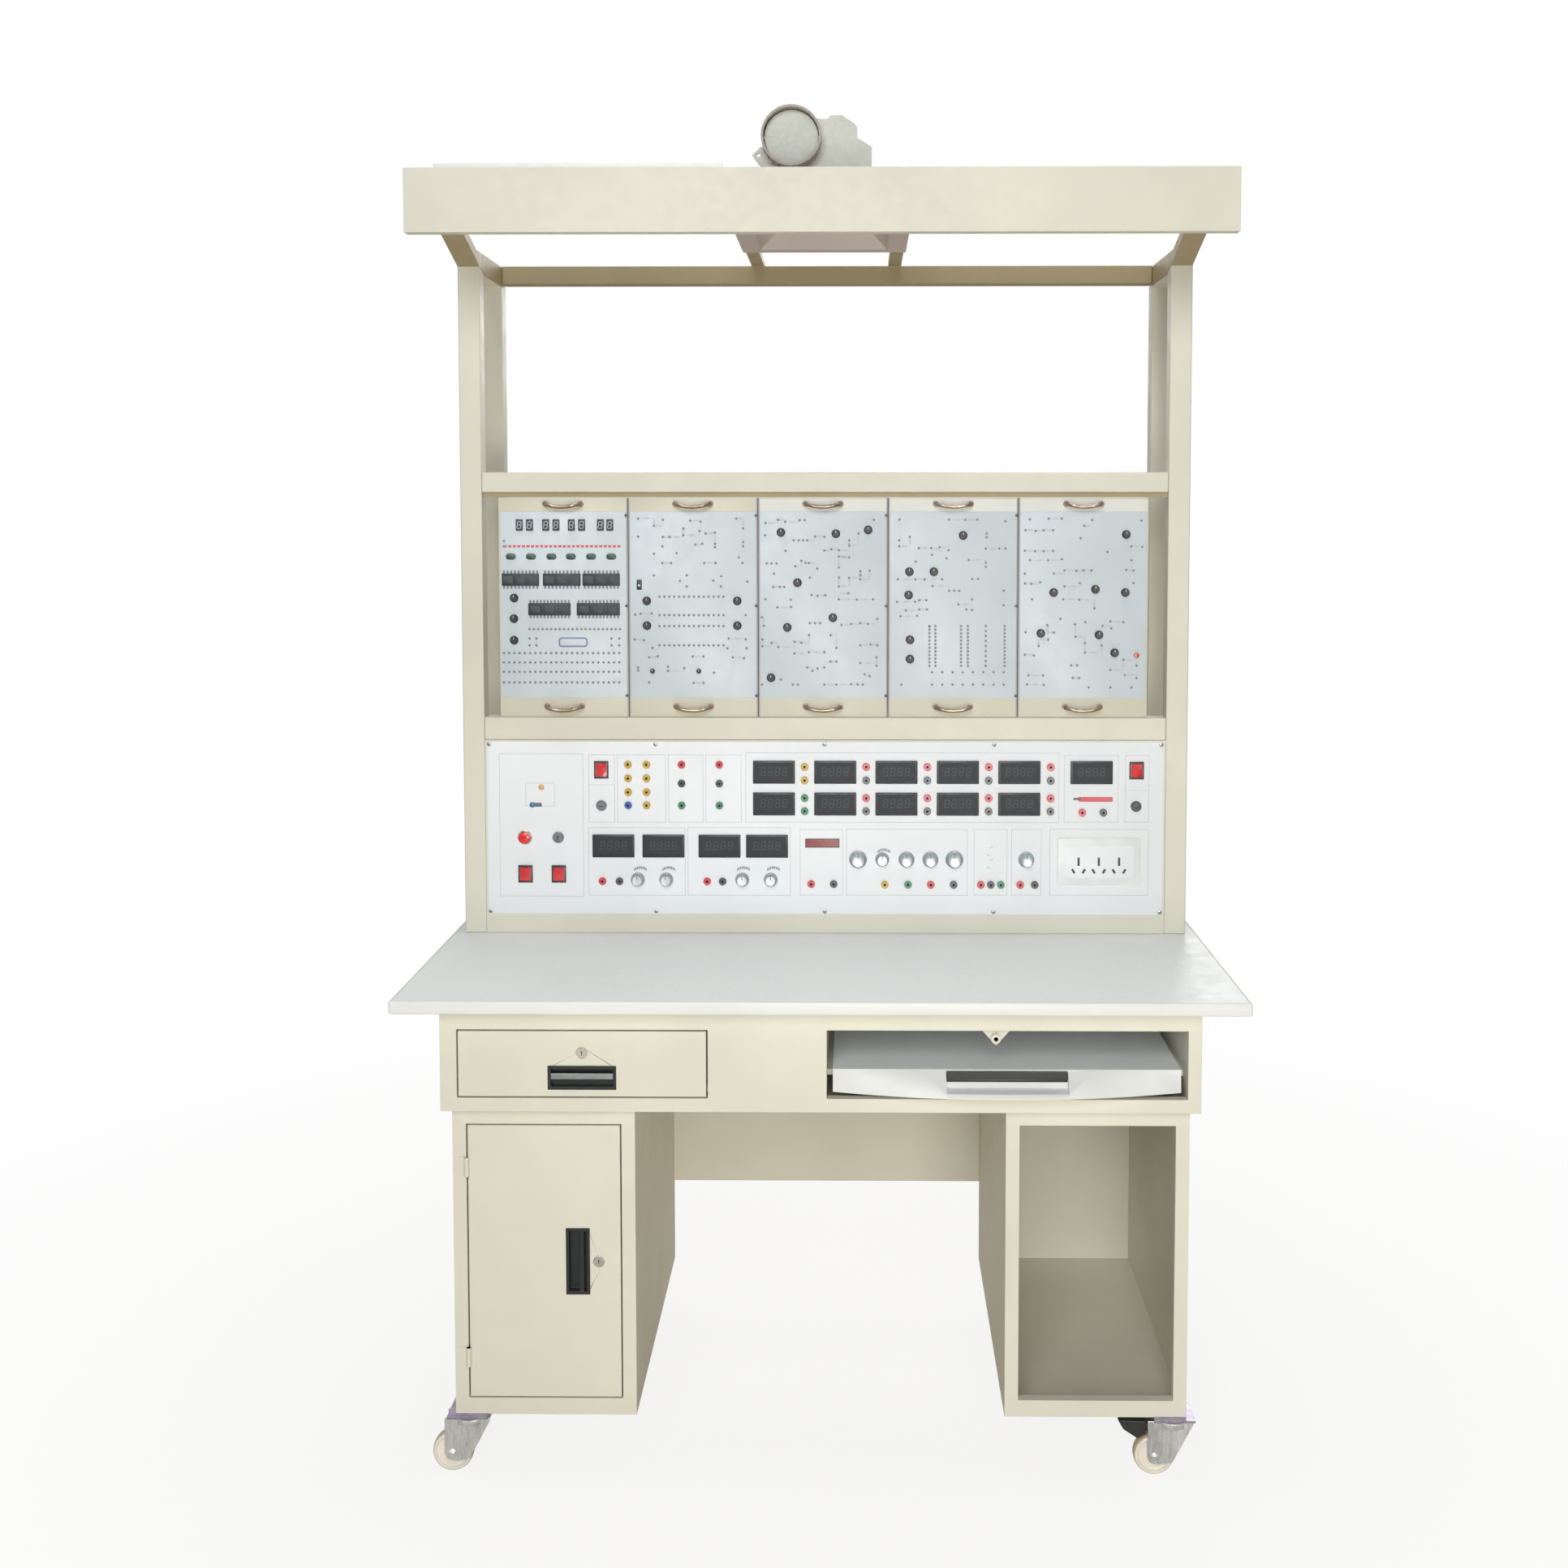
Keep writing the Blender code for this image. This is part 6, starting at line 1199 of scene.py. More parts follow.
def castor_bolts():
    """Four screws up through each castor plate."""
    half = CASTOR_PLATE_SIZE / 2 - BOLT_INSET
    points = []
    for corner in CASTOR_CORNERS:
        pivot = joint_point(f"castor_{corner}_swivel")
        points += [
            (pivot.x + x, pivot.y + y, CABINET_UNDERSIDE - CASTOR_PLATE_THICKNESS)
            for x in (-half, half) for y in (-half, half)]
    bolts = grown(
        "castor_bolts", points, cross_screws, (screw_steel, bore_painted_shade), turn=(math.pi, 0.0, 0.0),
        **CASTOR_BOLT)
    place(bolts, "bench", "zinc")


def brake_pedal(corner):
    node = "brake_pedal_" + corner
    place(soft_copy(node, "_moulding", black_plastic, PEDAL_EDGE), "pedal_" + corner, "black_plastic", node)


# Lamp and fume extractor

HOUSING_EDGE = 0.0012
MOTOR_EDGE = 0.0010
SPINDLE_EDGE = 0.0004
TUBE_CAP = 0.012
# One end of the tube: shares of its radius, and places along it
TUBE_END = (
    (0.0, 0.0), (0.86, 0.0), (0.98, 0.0008), (0.98, TUBE_CAP - 0.0004), (0.90, TUBE_CAP),
    (0.94, TUBE_CAP + 0.001))
TUBE_FINISHES = (1,) * 4 + (0,) * 3 + (1,) * 4
COLLAR_MIDDLE = 0.002
COLLAR_REACH = 0.0045
DAMPER_SHARES = ((0.0, 1.0), (0.55, 1.0), (0.90, 0.8), (0.985, 0.45))


def lamp():
    """Sheet batten and its glass tube with two metal caps."""
    batten = soft_copy("lamp_batten", "_sheet", lamp_paint, HOUSING_EDGE)
    place(batten, "bench", "lamp_white", "lamp_batten")
    low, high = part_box("lamp_tube")
    middle = (low + high) / 2
    length = high.x - low.x
    near = scaled(TUBE_END, (high.z - low.z) / 2)
    far = [(radius, length - along) for radius, along in reversed(near)]
    bm = bmesh.new()
    add_turned(bm, near + far, (low.x, middle.y, middle.z), RIGHT, 32, materials=TUBE_FINISHES)
    place(from_bmesh("lamp_tube_glass", bm, tube_glass, nickel), "bench", "tube_glass", "lamp_tube")


def fume_extractor():
    """Hood, fan housing with a duct collar darkened round the damper disc as painted shade, motor, and the
    damper disc in the collar.
    """
    hood = soft_copy("extractor_hood", "_sheet", hood_coat, HOUSING_EDGE)
    place(hood, "bench", "hood_paint", "extractor_hood")
    axis = joint_point("duct_damper_turn")
    low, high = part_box("duct_damper")
    disc = (high.z - low.z) / 2
    housing = cad_copy("blower_housing", "blower_housing_shell", fan_plastic, collar_painted_shade)
    # Faces of the collar in a ring just round the damper disc take the painted shade.
    for face in housing.data.polygons:
        corners = [housing.data.vertices[index].co - axis for index in face.vertices]
        reaches = [abs(math.hypot(corner.x, corner.z) - disc - COLLAR_MIDDLE) for corner in corners]
        if all(reach < COLLAR_REACH for reach in reaches):
            face.material_index = 1
    place(soften(housing, HOUSING_EDGE), "bench", "fan_plastic", "blower_housing")
    motor = soft_copy("blower_motor", "_shell", fan_plastic, MOTOR_EDGE)
    place(motor, "bench", "fan_plastic", "blower_motor")
    half = (high.y - low.y) / 2
    bm = bmesh.new()
    profile = scaled(DAMPER_SHARES, disc, -half) + scaled(reversed(DAMPER_SHARES), disc, half)
    add_turned(bm, profile, (low + high) / 2, FRONT, 64)
    cover = from_bmesh("duct_damper_cover", bm, fan_plastic)
    spindle = soft_copy("duct_damper", "_spindle", fan_plastic, SPINDLE_EDGE)
    place(join("duct_damper_disc", cover, spindle), "duct_damper_body", "fan_plastic", "duct_damper")


# Instrument panel

panel_low, panel_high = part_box("instrument_panel")
PANEL_WIDTH = panel_high.x - panel_low.x
PANEL_HEIGHT = panel_high.z - panel_low.z
PANEL_FACE = panel_high.y - PANEL_THICKNESS


def panel_point(shares, proud=0.0):
    return Vector((
        panel_low.x + shares[0] * PANEL_WIDTH, PANEL_FACE - proud, panel_low.z + shares[1] * PANEL_HEIGHT))


def pixel_box(pixels):
    """Lowest and highest corner, on the panel's face, of a rectangle given in pixels."""
    left, top, right, bottom = pixels
    return photo_point((left, bottom), PANEL_FACE), photo_point((right, top), PANEL_FACE)


PANEL_EDGE = 0.0006
SWITCH_MARK_STEPS = 4
SWITCH_MARK_SIZE = (0.005, 0.003)
SWITCH_MARK_LINE = 0.0007


def panel_plate():
    """Plate with its printed group lines."""
    bm = bmesh.new()
    add_plate(bm, (panel_low.x, PANEL_FACE, panel_low.z), panel_high, PANEL_CORNER, PANEL_EDGE)
    for pixels in PANEL_GROUP_PIXELS:
        add_outline(bm, *pixel_box(pixels), PRINT_LINE, 1)
    for left, level, right in PANEL_DIVIDER_PIXELS:
        low, high = pixel_box((left, level, right, level))
        add_bar(bm, low, high, PRINT_LINE, SUNK, 1)
    add_outline(bm, *pixel_box(LAMP_SQUARE_PIXELS), PRINT_LINE, 1)
    for pixel in DIAL_MARK_PIXELS:
        centre = photo_point(pixel, PANEL_FACE)
        for step in range(-DIAL_STEPS, DIAL_STEPS + 1):
            spot = centre + RIGHT * DIAL_PITCH * step - UP * DIAL_SAG * step * step
            add_bar(bm, spot, spot + UP * DIAL_TICK, DIAL_LINE, SUNK, 2)
    for pixels, material in ((RED_BAR_PIXELS, 3), *((mark, 2) for mark in GREY_MARK_PIXELS)):
        low, high = pixel_box(pixels)
        middle = (low.z + high.z) / 2
        start, end = (Vector((x, low.y, middle)) for x in (low.x, high.x))
        add_bar(bm, start, end, high.z - low.z, SUNK, material)
    left, top, right, bottom = SWITCH_MARK_PIXELS
    for step in range(SWITCH_MARK_STEPS):
        level = top + (bottom - top) * step / (SWITCH_MARK_STEPS - 1)
        start = photo_point((left if step % 2 else (left + right) / 2, level), PANEL_FACE)
        end = start + RIGHT * SWITCH_MARK_SIZE[0] + UP * SWITCH_MARK_SIZE[1] * (-1) ** step
        add_bar(bm, start, end, SWITCH_MARK_LINE, SUNK, 2)
    obj = from_bmesh("panel_plate", bm, panel_coat, print_grey, print_dark, print_red)
    place(obj, "bench", "panel_paint", "instrument_panel")


# Bars of a numeral: place across and up in halves of its size, and whether the bar is level
SEGMENTS = (
    (0, 1, True), (0, -1, True), (0, 0, True), (1, 0.5, False), (1, -0.5, False), (-1, -0.5, False),
    (-1, 0.5, False))
DIGIT_SLANT = 0.10
SEGMENT_GAP_SHARE = 0.9
METER_DIGITS = 4
METER_DIGIT_PITCH = 0.0135
METER_DIGIT_RISE = 0.001
METER_DIGIT = (0.0078, 0.0145, 0.0014)
DISPLAY_BEZEL = 0.0012
DISPLAY_RECESS = 0.0005
DISPLAY_DIGITS = 8
DISPLAY_DIGIT_PITCH = 0.0072
DISPLAY_DIGIT = (0.0038, 0.0085, 0.0009)


def add_digit(bm, centre, width, height, thick, material):
    """Seven unlit bars of a numeral, with the slant that such displays have."""
    gap = thick * SEGMENT_GAP_SHARE
    for across, up, level in SEGMENTS:
        shift = across * width / 2 + up * height / 2 * DIGIT_SLANT
        middle = centre + RIGHT * shift + UP * (up * height / 2)
        if level:
            reach = RIGHT * (width / 2 - gap)
        else:
            reach = (UP + RIGHT * DIGIT_SLANT) * (height / 4 - gap)
        add_bar(bm, middle - reach, middle + reach, thick, SUNK, material)


def add_digits(bm, middle, count, pitch, digit, material):
    """Row of numerals round a middle."""
    for index in range(count):
        add_digit(bm, middle + RIGHT * (index - (count - 1) / 2) * pitch, *digit, material)


def add_window(bm, centre, size, proud, bezel, recess, materials):
    """Bezel with a sunk window behind it. Returns the middle of the window."""
    faces = add_box(
        bm, *centred(centre, size, proud), round_by=proud * WINDOW_ROUND_SHARE, material=materials[0])
    target = centre + FRONT * proud
    front = min(faces, key=lambda face: (face.calc_center_median() - target).length)
    bmesh.ops.inset_region(bm, faces=[front], thickness=bezel)
    made = bmesh.ops.extrude_face_region(bm, geom=[front])
    moved = [item for item in made["geom"] if isinstance(item, bmesh.types.BMVert)]
    bmesh.ops.translate(bm, verts=moved, vec=-FRONT * recess)
    window = next(item for item in made["geom"] if isinstance(item, bmesh.types.BMFace))
    window.material_index = materials[1]
    if front.is_valid:
        bmesh.ops.delete(bm, geom=[front], context="FACES_ONLY")
    return centre + FRONT * (proud - recess)


def panel_meters():
    """Fifteen digital meters and one long display."""
    bm = bmesh.new()
    for shares in METER_SHARES:
        glass = add_window(
            bm, panel_point(shares), METER_SIZE, METER_PROUD, METER_BEZEL, METER_RECESS, (0, 1))
        add_digits(bm, glass + UP * METER_DIGIT_RISE, METER_DIGITS, METER_DIGIT_PITCH, METER_DIGIT, 2)
    glass = add_window(
        bm, panel_point(DISPLAY_SHARES), DISPLAY_SIZE, DISPLAY_PROUD, DISPLAY_BEZEL, DISPLAY_RECESS, (0, 3))
    add_digits(bm, glass, DISPLAY_DIGITS, DISPLAY_DIGIT_PITCH, DISPLAY_DIGIT, 4)
    obj = from_bmesh(
        "panel_meters", bm, meter_case, meter_window, meter_segment, display_window, display_segment)
    place(obj, "bench", "black_plastic")


def panel_jacks():
    points, tints = [], []
    for colour, spots in JACK_SHARES.items():
        points += [panel_point(shares, -ROOTED) for shares in spots]
        tints += [JACK_TINTS[colour]] * len(spots)
    obj = grown("panel_jacks", points, round_sockets, (jack_plastic, bore_painted_shade), tints, **PANEL_JACK)
    place(obj, "bench", "red_plastic")


def panel_screws():
    left, right = panel_low.x + SCREW_INSET, panel_high.x - SCREW_INSET
    low, high = panel_low.z + SCREW_INSET, panel_high.z - SCREW_INSET
    points = [(x, PANEL_FACE, z) for x in (left, right) for z in (low, high)]
    for share in SCREW_MIDDLE_SHARES:
        points += [(panel_low.x + PANEL_WIDTH * share, PANEL_FACE, z) for z in (low, high)]
    screws = grown("panel_screws", points, cross_screws, (screw_steel, bore_painted_shade), **PANEL_SCREW)
    place(screws, "bench", "nickel")


FRAME_EDGE = 0.0005
BUTTON_COLLAR_PROFILE = (
    (0.0, -ROOTED), (BUTTON_COLLAR, -ROOTED), (BUTTON_COLLAR, 0.0030), (BUTTON_COLLAR - 0.0012, 0.0042),
    (0.0114, 0.0042), (0.0112, 0.0001), (0.0, 0.0001))
FUSE_PROFILE = (
    (0.0, -ROOTED), (FUSE_RADIUS, -ROOTED), (FUSE_RADIUS, 0.0016), (FUSE_RADIUS - 0.0008, 0.0024),
    (0.0080, 0.0026), (0.0078, 0.0086), (0.0070, 0.0096), (0.0030, FUSE_PROUD), (0.0, FUSE_PROUD))
FUSE_FLUTES = (12, 0.0004, 4, 5)
FUSE_SLOT = (0.0048, -0.0006, 0.0006, 0.0001, 0.001)
INDICATOR_PROFILE = (
    (0.0, -ROOTED), (LAMP_RADIUS, -ROOTED), (LAMP_RADIUS, 0.0006), (LAMP_RADIUS * 0.92, 0.0010),
    (LAMP_RADIUS * 0.86, 0.0024), (LAMP_RADIUS * 0.55, 0.0036), (0.0, 0.0040))


def add_rocker_frame(bm, centre):
    """Four bars round a switch's opening."""
    x, z = ROCKER_FRAME[0] / 2, ROCKER_FRAME[1] / 2
    inner_x, inner_z = ROCKER_OPENING[0] / 2, ROCKER_OPENING[1] / 2
    for left, foot, right, top in (
            (-x, -z, x, -inner_z), (-x, inner_z, x, z), (-x, -inner_z, -inner_x, inner_z),
            (inner_x, -inner_z, x, inner_z)):
        add_box(bm, centre + Vector((left, -ROCKER_FRAME_PROUD, foot)), centre + Vector((right, ROOTED, top)),
                round_by=FRAME_EDGE)


def panel_fittings():
    """Switch frames, button collar, fuse holders and indicator lamps."""
    bm = bmesh.new()
    for shares in ROCKERS.values():
        add_rocker_frame(bm, panel_point(shares))
    add_turned(bm, BUTTON_COLLAR_PROFILE, panel_point(BUTTON_SHARES), FRONT, 40, materials=(1,))
    for shares, cap in zip(FUSE_SHARES, (2, 6)):
        add_turned(bm, FUSE_PROFILE, panel_point(shares), FRONT, 48, materials=(cap,), flutes=FUSE_FLUTES)
        # The fuse cap's slot is a dark bar of painted shade.
        add_mark(bm, panel_point(shares, FUSE_PROUD), *FUSE_SLOT, material=3)
    for pixel, finish in ((AMBER_LAMP_PIXEL, 4), (BLUE_LAMP_PIXEL, 5)):
        spot = photo_point(pixel, PANEL_FACE)
        add_turned(bm, INDICATOR_PROFILE, spot, FRONT, 28, materials=(1, 1, 1, finish))
    obj = from_bmesh(
        "panel_fittings", bm, black_plastic, nickel, fuse_grey, bore_painted_shade, amber_lens, blue_lens, fuse_dark)
    place(obj, "bench", "black_plastic")


SOCKET_CORNER = 0.005
SOCKET_EDGE = 0.0016
FIELD_SIZE = (0.132, 0.061)
FIELD_PROUD = 0.0008
FIELD_SUNK = 0.001
FIELD_CORNER = 0.003
FIELD_EDGE = 0.0006
OUTLET_PAIR_LEAN = (0.0013, 0.0022)


def socket_plate():
    """White plate with three mains sockets, each with an upright slot over two slanted ones, the slots dark
    bars of painted shade.
    """
    bm = bmesh.new()
    centre = panel_point(SOCKET_SHARES)
    add_plate(bm, *centred(centre, SOCKET_SIZE, SOCKET_PROUD, ROOTED), SOCKET_CORNER, SOCKET_EDGE)
    field = centred(centre + FRONT * SOCKET_PROUD, FIELD_SIZE, FIELD_PROUD, FIELD_SUNK)
    add_plate(bm, *field, FIELD_CORNER, FIELD_EDGE, material=1)
    for step in (-1, 0, 1):
        middle = centre + FRONT * (SOCKET_PROUD + FIELD_PROUD) + RIGHT * step * OUTLET_PITCH
        rise = UP * OUTLET_SLOT_HALF
        add_bar(bm, middle - rise, middle + rise, OUTLET_SLOT_WIDTH, SUNK, 2)
        for side in (-1, 1):
            spot = middle + RIGHT * side * OUTLET_PAIR_REACH - UP * OUTLET_PAIR_DROP
            lean = Vector((side * OUTLET_PAIR_LEAN[0], 0.0, OUTLET_PAIR_LEAN[1]))
            add_bar(bm, spot - lean, spot + lean, OUTLET_SLOT_WIDTH, SUNK, 2)
    place(from_bmesh("socket_plate", bm, socket_plastic, panel_coat, outlet_slot_painted_shade), "bench", "lamp_white")


PADDLE_EDGE = 0.0007
BUTTON_DOME = 0.0022
BUTTON_DOME_STEPS = 5
BUTTON_DOME_STEP_ANGLE = 20.0
BUTTON_TRAVEL = 0.004
BUTTON_CLEARANCE = 0.0003
KEY_SHARES = (
    (0.0, 0.0), (1.0, 0.0), (1.0, 0.55), (0.86, 0.80), (0.70, 0.80), (0.68, 0.70), (0.64, 0.70), (0.62, 0.98),
    (0.0, 0.98))
KEY_FACE_SHARE = 0.98
KEY_FLUTES = (20, 0.0004, 1, 2)
KEY_SLOTS = ((0.0009, -0.0048, 0.0048, 0.0001, 0.001), (0.0022, 0.0008, 0.0022, 0.0001, 0.001))
KNOB_SHARES = (
    (0.0, 0.0), (1.0, 0.0), (1.0, 0.16), (0.93, 0.26), (0.86, 0.32), (0.83, 0.88), (0.77, 0.97), (0.70, 1.0),
    (0.66, 0.975), (0.20, 0.965), (0.0, 0.965))
KNOB_FINISHES = (0,) * 7 + (1,) * 3
KNOB_FLUTE_SHARE = 0.035
KNOB_FACE_SHARE = 0.985
POINTER_HALF = 0.0008
POINTER_PROUD = 0.0002
POINTER_SUNK = 0.002
POINTER_SHARES = (0.22, 0.80)


def rocker(node):
    """Red paddle of a switch."""
    place(soft_copy(node, "_paddle", red_lens_painted_glow, PADDLE_EDGE, steps=3), node + "_body", "red_plastic", node)


def round_fitting(node):
    """Where a round fitting meets the panel, its radius and its depth."""
    low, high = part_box(node)
    spot = Vector(((low.x + high.x) / 2, high.y, (low.z + high.z) / 2))
    return spot, min(high.x - low.x, high.z - low.z) / 2, high.y - low.y


def stop_button():
    """Domed red button, whose foot stays clear of the panel when it is pressed."""
    centre, radius, depth = round_fitting("stop_button")
    foot = centre.y - PANEL_FACE + BUTTON_TRAVEL + BUTTON_CLEARANCE
    profile = [(0.0, foot), (radius, foot)]
    for step in range(BUTTON_DOME_STEPS):
        angle = math.radians(BUTTON_DOME_STEP_ANGLE * step)
        profile.append((radius * math.cos(angle), depth + BUTTON_DOME * (math.sin(angle) - 1.0)))
    profile.append((0.0, depth))
    bm = bmesh.new()
    add_turned(bm, profile, centre, FRONT, 48)
    place(from_bmesh("stop_button_dome", bm, red_button_painted_glow), "stop_button_body", "red_plastic", "stop_button")


def key_switch():
    """Fluted barrel with a key's slot in painted shade."""
    centre, radius, depth = round_fitting("key_switch")
    bm = bmesh.new()
    add_turned(bm, scaled(KEY_SHARES, radius, depth), centre, FRONT, 40, flutes=KEY_FLUTES)
    for slot in KEY_SLOTS:
        add_mark(bm, centre + FRONT * depth * KEY_FACE_SHARE, *slot)
    barrel = from_bmesh("key_switch_barrel", bm, key_metal, bore_painted_shade)
    place(barrel, "key_switch_body", "nickel", "key_switch")


def control_knob(node):
    """Silver knob with a fluted skirt, a spun top and a pointer line."""
    centre, radius, depth = round_fitting(node)
    bm = bmesh.new()
    add_turned(bm, scaled(KNOB_SHARES, radius, depth), centre, FRONT, 96, materials=KNOB_FINISHES,
               flutes=(24, radius * KNOB_FLUTE_SHARE, 4, 6))
    foot, top = (radius * share for share in POINTER_SHARES)
    face = centre + FRONT * depth * KNOB_FACE_SHARE
    add_mark(bm, face, POINTER_HALF, foot, top, POINTER_PROUD, POINTER_SUNK, material=2)
    obj = from_bmesh(node + "_fluted", bm, silver_knob, knob_cap, print_dark)
    place(obj, node + "_body", "knob_plastic", node)


# Circuit modules

def case_box(index):
    """Corners of a module's case, from its front face."""
    low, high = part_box(f"module_{index + 1}")
    return Vector((low.x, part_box("middle_rail")[0].y + MODULE_SETBACK, low.z)), high


def board_box(index):
    """Corners of a board's front face."""
    low, high = case_box(index)
    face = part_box("middle_rail")[0].y + MODULE_SETBACK - BOARD_PROUD
    return (Vector((low.x + BOARD_SIDE_MARGIN, face, low.z + MODULE_FOOT_STRIP)),
            Vector((high.x - BOARD_SIDE_MARGIN, face, high.z - MODULE_STRIP)))


CASE_ROW_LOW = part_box("module_1")[0].x + MODULE_SHELL
CASE_ROW_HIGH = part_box(f"module_{MODULE_COUNT}")[1].x - MODULE_SHELL
BOARD_FACE = board_box(0)[0].y
CASE_EDGE = 0.0006
BOARD_CORNER = 0.0015
BOARD_EDGE = 0.0005
HANDLE_ROSE = ((0.0, -0.0005), (0.0054, -0.0005), (0.0054, 0.0010), (0.0046, 0.0018), (0.0, 0.0018))


def board_point(index, mark):
    """Place on a board of a mark given in pixels of its enlargement."""
    left, top, scale = BOARD_SHEETS[index]
    return photo_point((left + mark[0] / scale, top + mark[1] / scale), BOARD_FACE)


def module_case(index):
    """Open-backed case and its board."""
    low, high = case_box(index)
    board_low, board_high = board_box(index)
    name = f"module_{index + 1}"
    face = low.y
    wall = MODULE_SHELL
    bm = bmesh.new()
    for start, end in (
            (low, (high.x, face + wall * 2, high.z)),
            ((low.x, face + wall, low.z), (low.x + wall, high.y, high.z)),
            ((high.x - wall, face + wall, low.z), high),
            ((low.x, face + wall, low.z), (high.x, high.y, low.z + wall)),
            ((low.x, face + wall, high.z - wall), high)):
        add_box(bm, start, end, round_by=CASE_EDGE)
    if index >= FIRST_WHITE_MODULE:
        add_box(bm, (low.x + wall, face - PRINT_PROUD, board_high.z),
                (high.x - wall, face + SUNK, high.z - wall), material=2)
    add_plate(bm, board_low, (board_high.x, face + wall, board_high.z), BOARD_CORNER, BOARD_EDGE, material=1)
    # Dark band along each inner edge of a case: painted shade where one module meets the next.
    for side in (low.x, high.x):
        if CASE_ROW_LOW < side < CASE_ROW_HIGH:
            inner = side + math.copysign(SEAM_WIDTH / 2 + SEAM_INSET, (low.x + high.x) / 2 - side)
            add_bar(bm, (inner, face, low.z + SEAM_WIDTH), (inner, face, high.z - SEAM_WIDTH), SEAM_WIDTH,
                    SUNK, 3)
    case = from_bmesh(name + "_case", bm, module_paint, board_face, module_white, seam_painted_shade)
    place(case, name + "_body", "module_plastic", name)


def module_handles(index):
    """Two bow handles with a rose under each end, in a brown metal whose colour is a painted reflection of
    dark surroundings.
    """
    low, high = case_box(index)
    name = f"module_{index + 1}"
    middle = (low.x + high.x) / 2
    bars = []
    bm = bmesh.new()
    half = HANDLE_SPAN / 2
    for level in (
            high.z - MODULE_STRIP * HANDLE_LEVEL_SHARE,
            low.z + MODULE_FOOT_STRIP * (1.0 - HANDLE_LEVEL_SHARE)):
        path = [
            Vector((middle + across * half, low.y - out * HANDLE_REACH, level - drop * HANDLE_DROP))
            for across, out, drop in HANDLE_PATH_SHARES]
        bars.append(rounded_bar(name + "_bow", path, HANDLE_RADIUS, bow_painted_reflection))
        for side in (-1.0, 1.0):
            add_turned(bm, HANDLE_ROSE, (middle + side * half, low.y, level), FRONT, 24)
    bars.append(from_bmesh(name + "_roses", bm, bow_painted_reflection))
    place(join(name + "_handles", *bars), name + "_body", "nickel")


def seam_screws(index):
    """Dark screws down the edge where a module meets the next one."""
    low, high = case_box(index)
    points = [(high.x - SEAM_SCREW_INSET, BOARD_FACE, photo_point((0.0, level), low.y).z)
              for level in SEAM_SCREW_PIXELS]
    name = f"module_{index + 1}"
    screws = grown(name + "_screws", points, cross_screws, (screw_dark, bore_painted_shade), **SEAM_SCREW)
    place(screws, name + "_body", "nickel")


TRIMMER_PROFILE_SHARES = ((1.0, 0.18), (0.88, 0.30), (0.84, 0.90), (0.76, 1.0), (0.0, 1.0))
TRIMMER_FLUTE_SHARE = 0.05
TRIMMER_LINE_HALF = 0.0004
TRIMMER_LINE_PROUD = 0.0001
TRIMMER_LINE_SUNK = 0.0006
TRIMMER_LINE_SHARES = (0.15, 0.72)


def module_knobs(index):
    """Small fluted trimmer knobs, each with a pale line."""
    low, high = board_box(index)
    width, height = high.x - low.x, high.z - low.z
    spots = [
        (Vector((low.x + across * width, low.y, low.z + up * height)), TRIMMER_RADIUS)
        for across, up in TRIMMER_SHARES[index]]
    spots += [(photo_point(pixel, low.y), SMALL_TRIMMER_RADIUS) for pixel in SMALL_TRIMMER_PIXELS[index]]
    bm = bmesh.new()
    for centre, radius in spots:
        profile = [(0.0, -ROOTED), (radius, -ROOTED)] + scaled(TRIMMER_PROFILE_SHARES, radius, TRIMMER_PROUD)
        add_turned(bm, profile, centre, FRONT, 54, flutes=(18, radius * TRIMMER_FLUTE_SHARE, 3, 5))
        foot, top = (radius * share for share in TRIMMER_LINE_SHARES)
        add_mark(bm, centre + FRONT * TRIMMER_PROUD, TRIMMER_LINE_HALF, foot, top, TRIMMER_LINE_PROUD,
                 TRIMMER_LINE_SUNK)
    obj = from_bmesh(f"module_{index + 1}_knobs", bm, black_plastic, socket_plastic)
    place(obj, f"module_{index + 1}_body", "knob_plastic")


def board_marks(index):
    """Every test socket of a board: loose ones, then even rows and columns."""
    marks = list(BOARD_MARK_PIXELS[index])
    for first, last, level, count in BOARD_ROW_PIXELS[index]:
        marks += [(first + (last - first) * step / max(1, count - 1), level) for step in range(count)]
    for across, first, last, count in BOARD_COLUMN_PIXELS[index]:
        marks += [(across, first + (last - first) * step / (count - 1)) for step in range(count)]
    return marks


def module_sockets(index):
    points = [board_point(index, mark) for mark in board_marks(index)]
    name = f"module_{index + 1}"
    obj = grown(name + "_sockets", points, round_sockets, (socket_grey, bore_painted_shade), **BOARD_SOCKET)
    place(obj, name + "_body", "black_plastic")


def module_print(index):
    """Thin printed leads between neighbouring sockets, with a component's outline on the longer ones."""
    bm = bmesh.new()
    spots = [board_point(index, mark) for mark in BOARD_MARK_PIXELS[index]]
    for first, second in zip(spots, spots[1:]):
        if (second - first).length > TRACE_REACH:
            continue
        corner = Vector((second.x, BOARD_FACE, first.z))
        for start, end in ((first, corner), (corner, second)):
            if (end - start).length > BOARD_SOCKET["radius"]:
                add_bar(bm, start, end, TRACE_WIDTH, SUNK)
            if (end - start).length > SYMBOL_LENGTH * SYMBOL_ROOM:
                level = abs(end.x - start.x) > abs(end.z - start.z)
                size = (SYMBOL_LENGTH, SYMBOL_WIDTH) if level else (SYMBOL_WIDTH, SYMBOL_LENGTH)
                add_outline(bm, *centred((start + end) / 2, size, 0.0, 0.0), TRACE_WIDTH)
    name = f"module_{index + 1}"
    place(from_bmesh(name + "_print", bm, print_grey), name + "_body", "module_plastic")


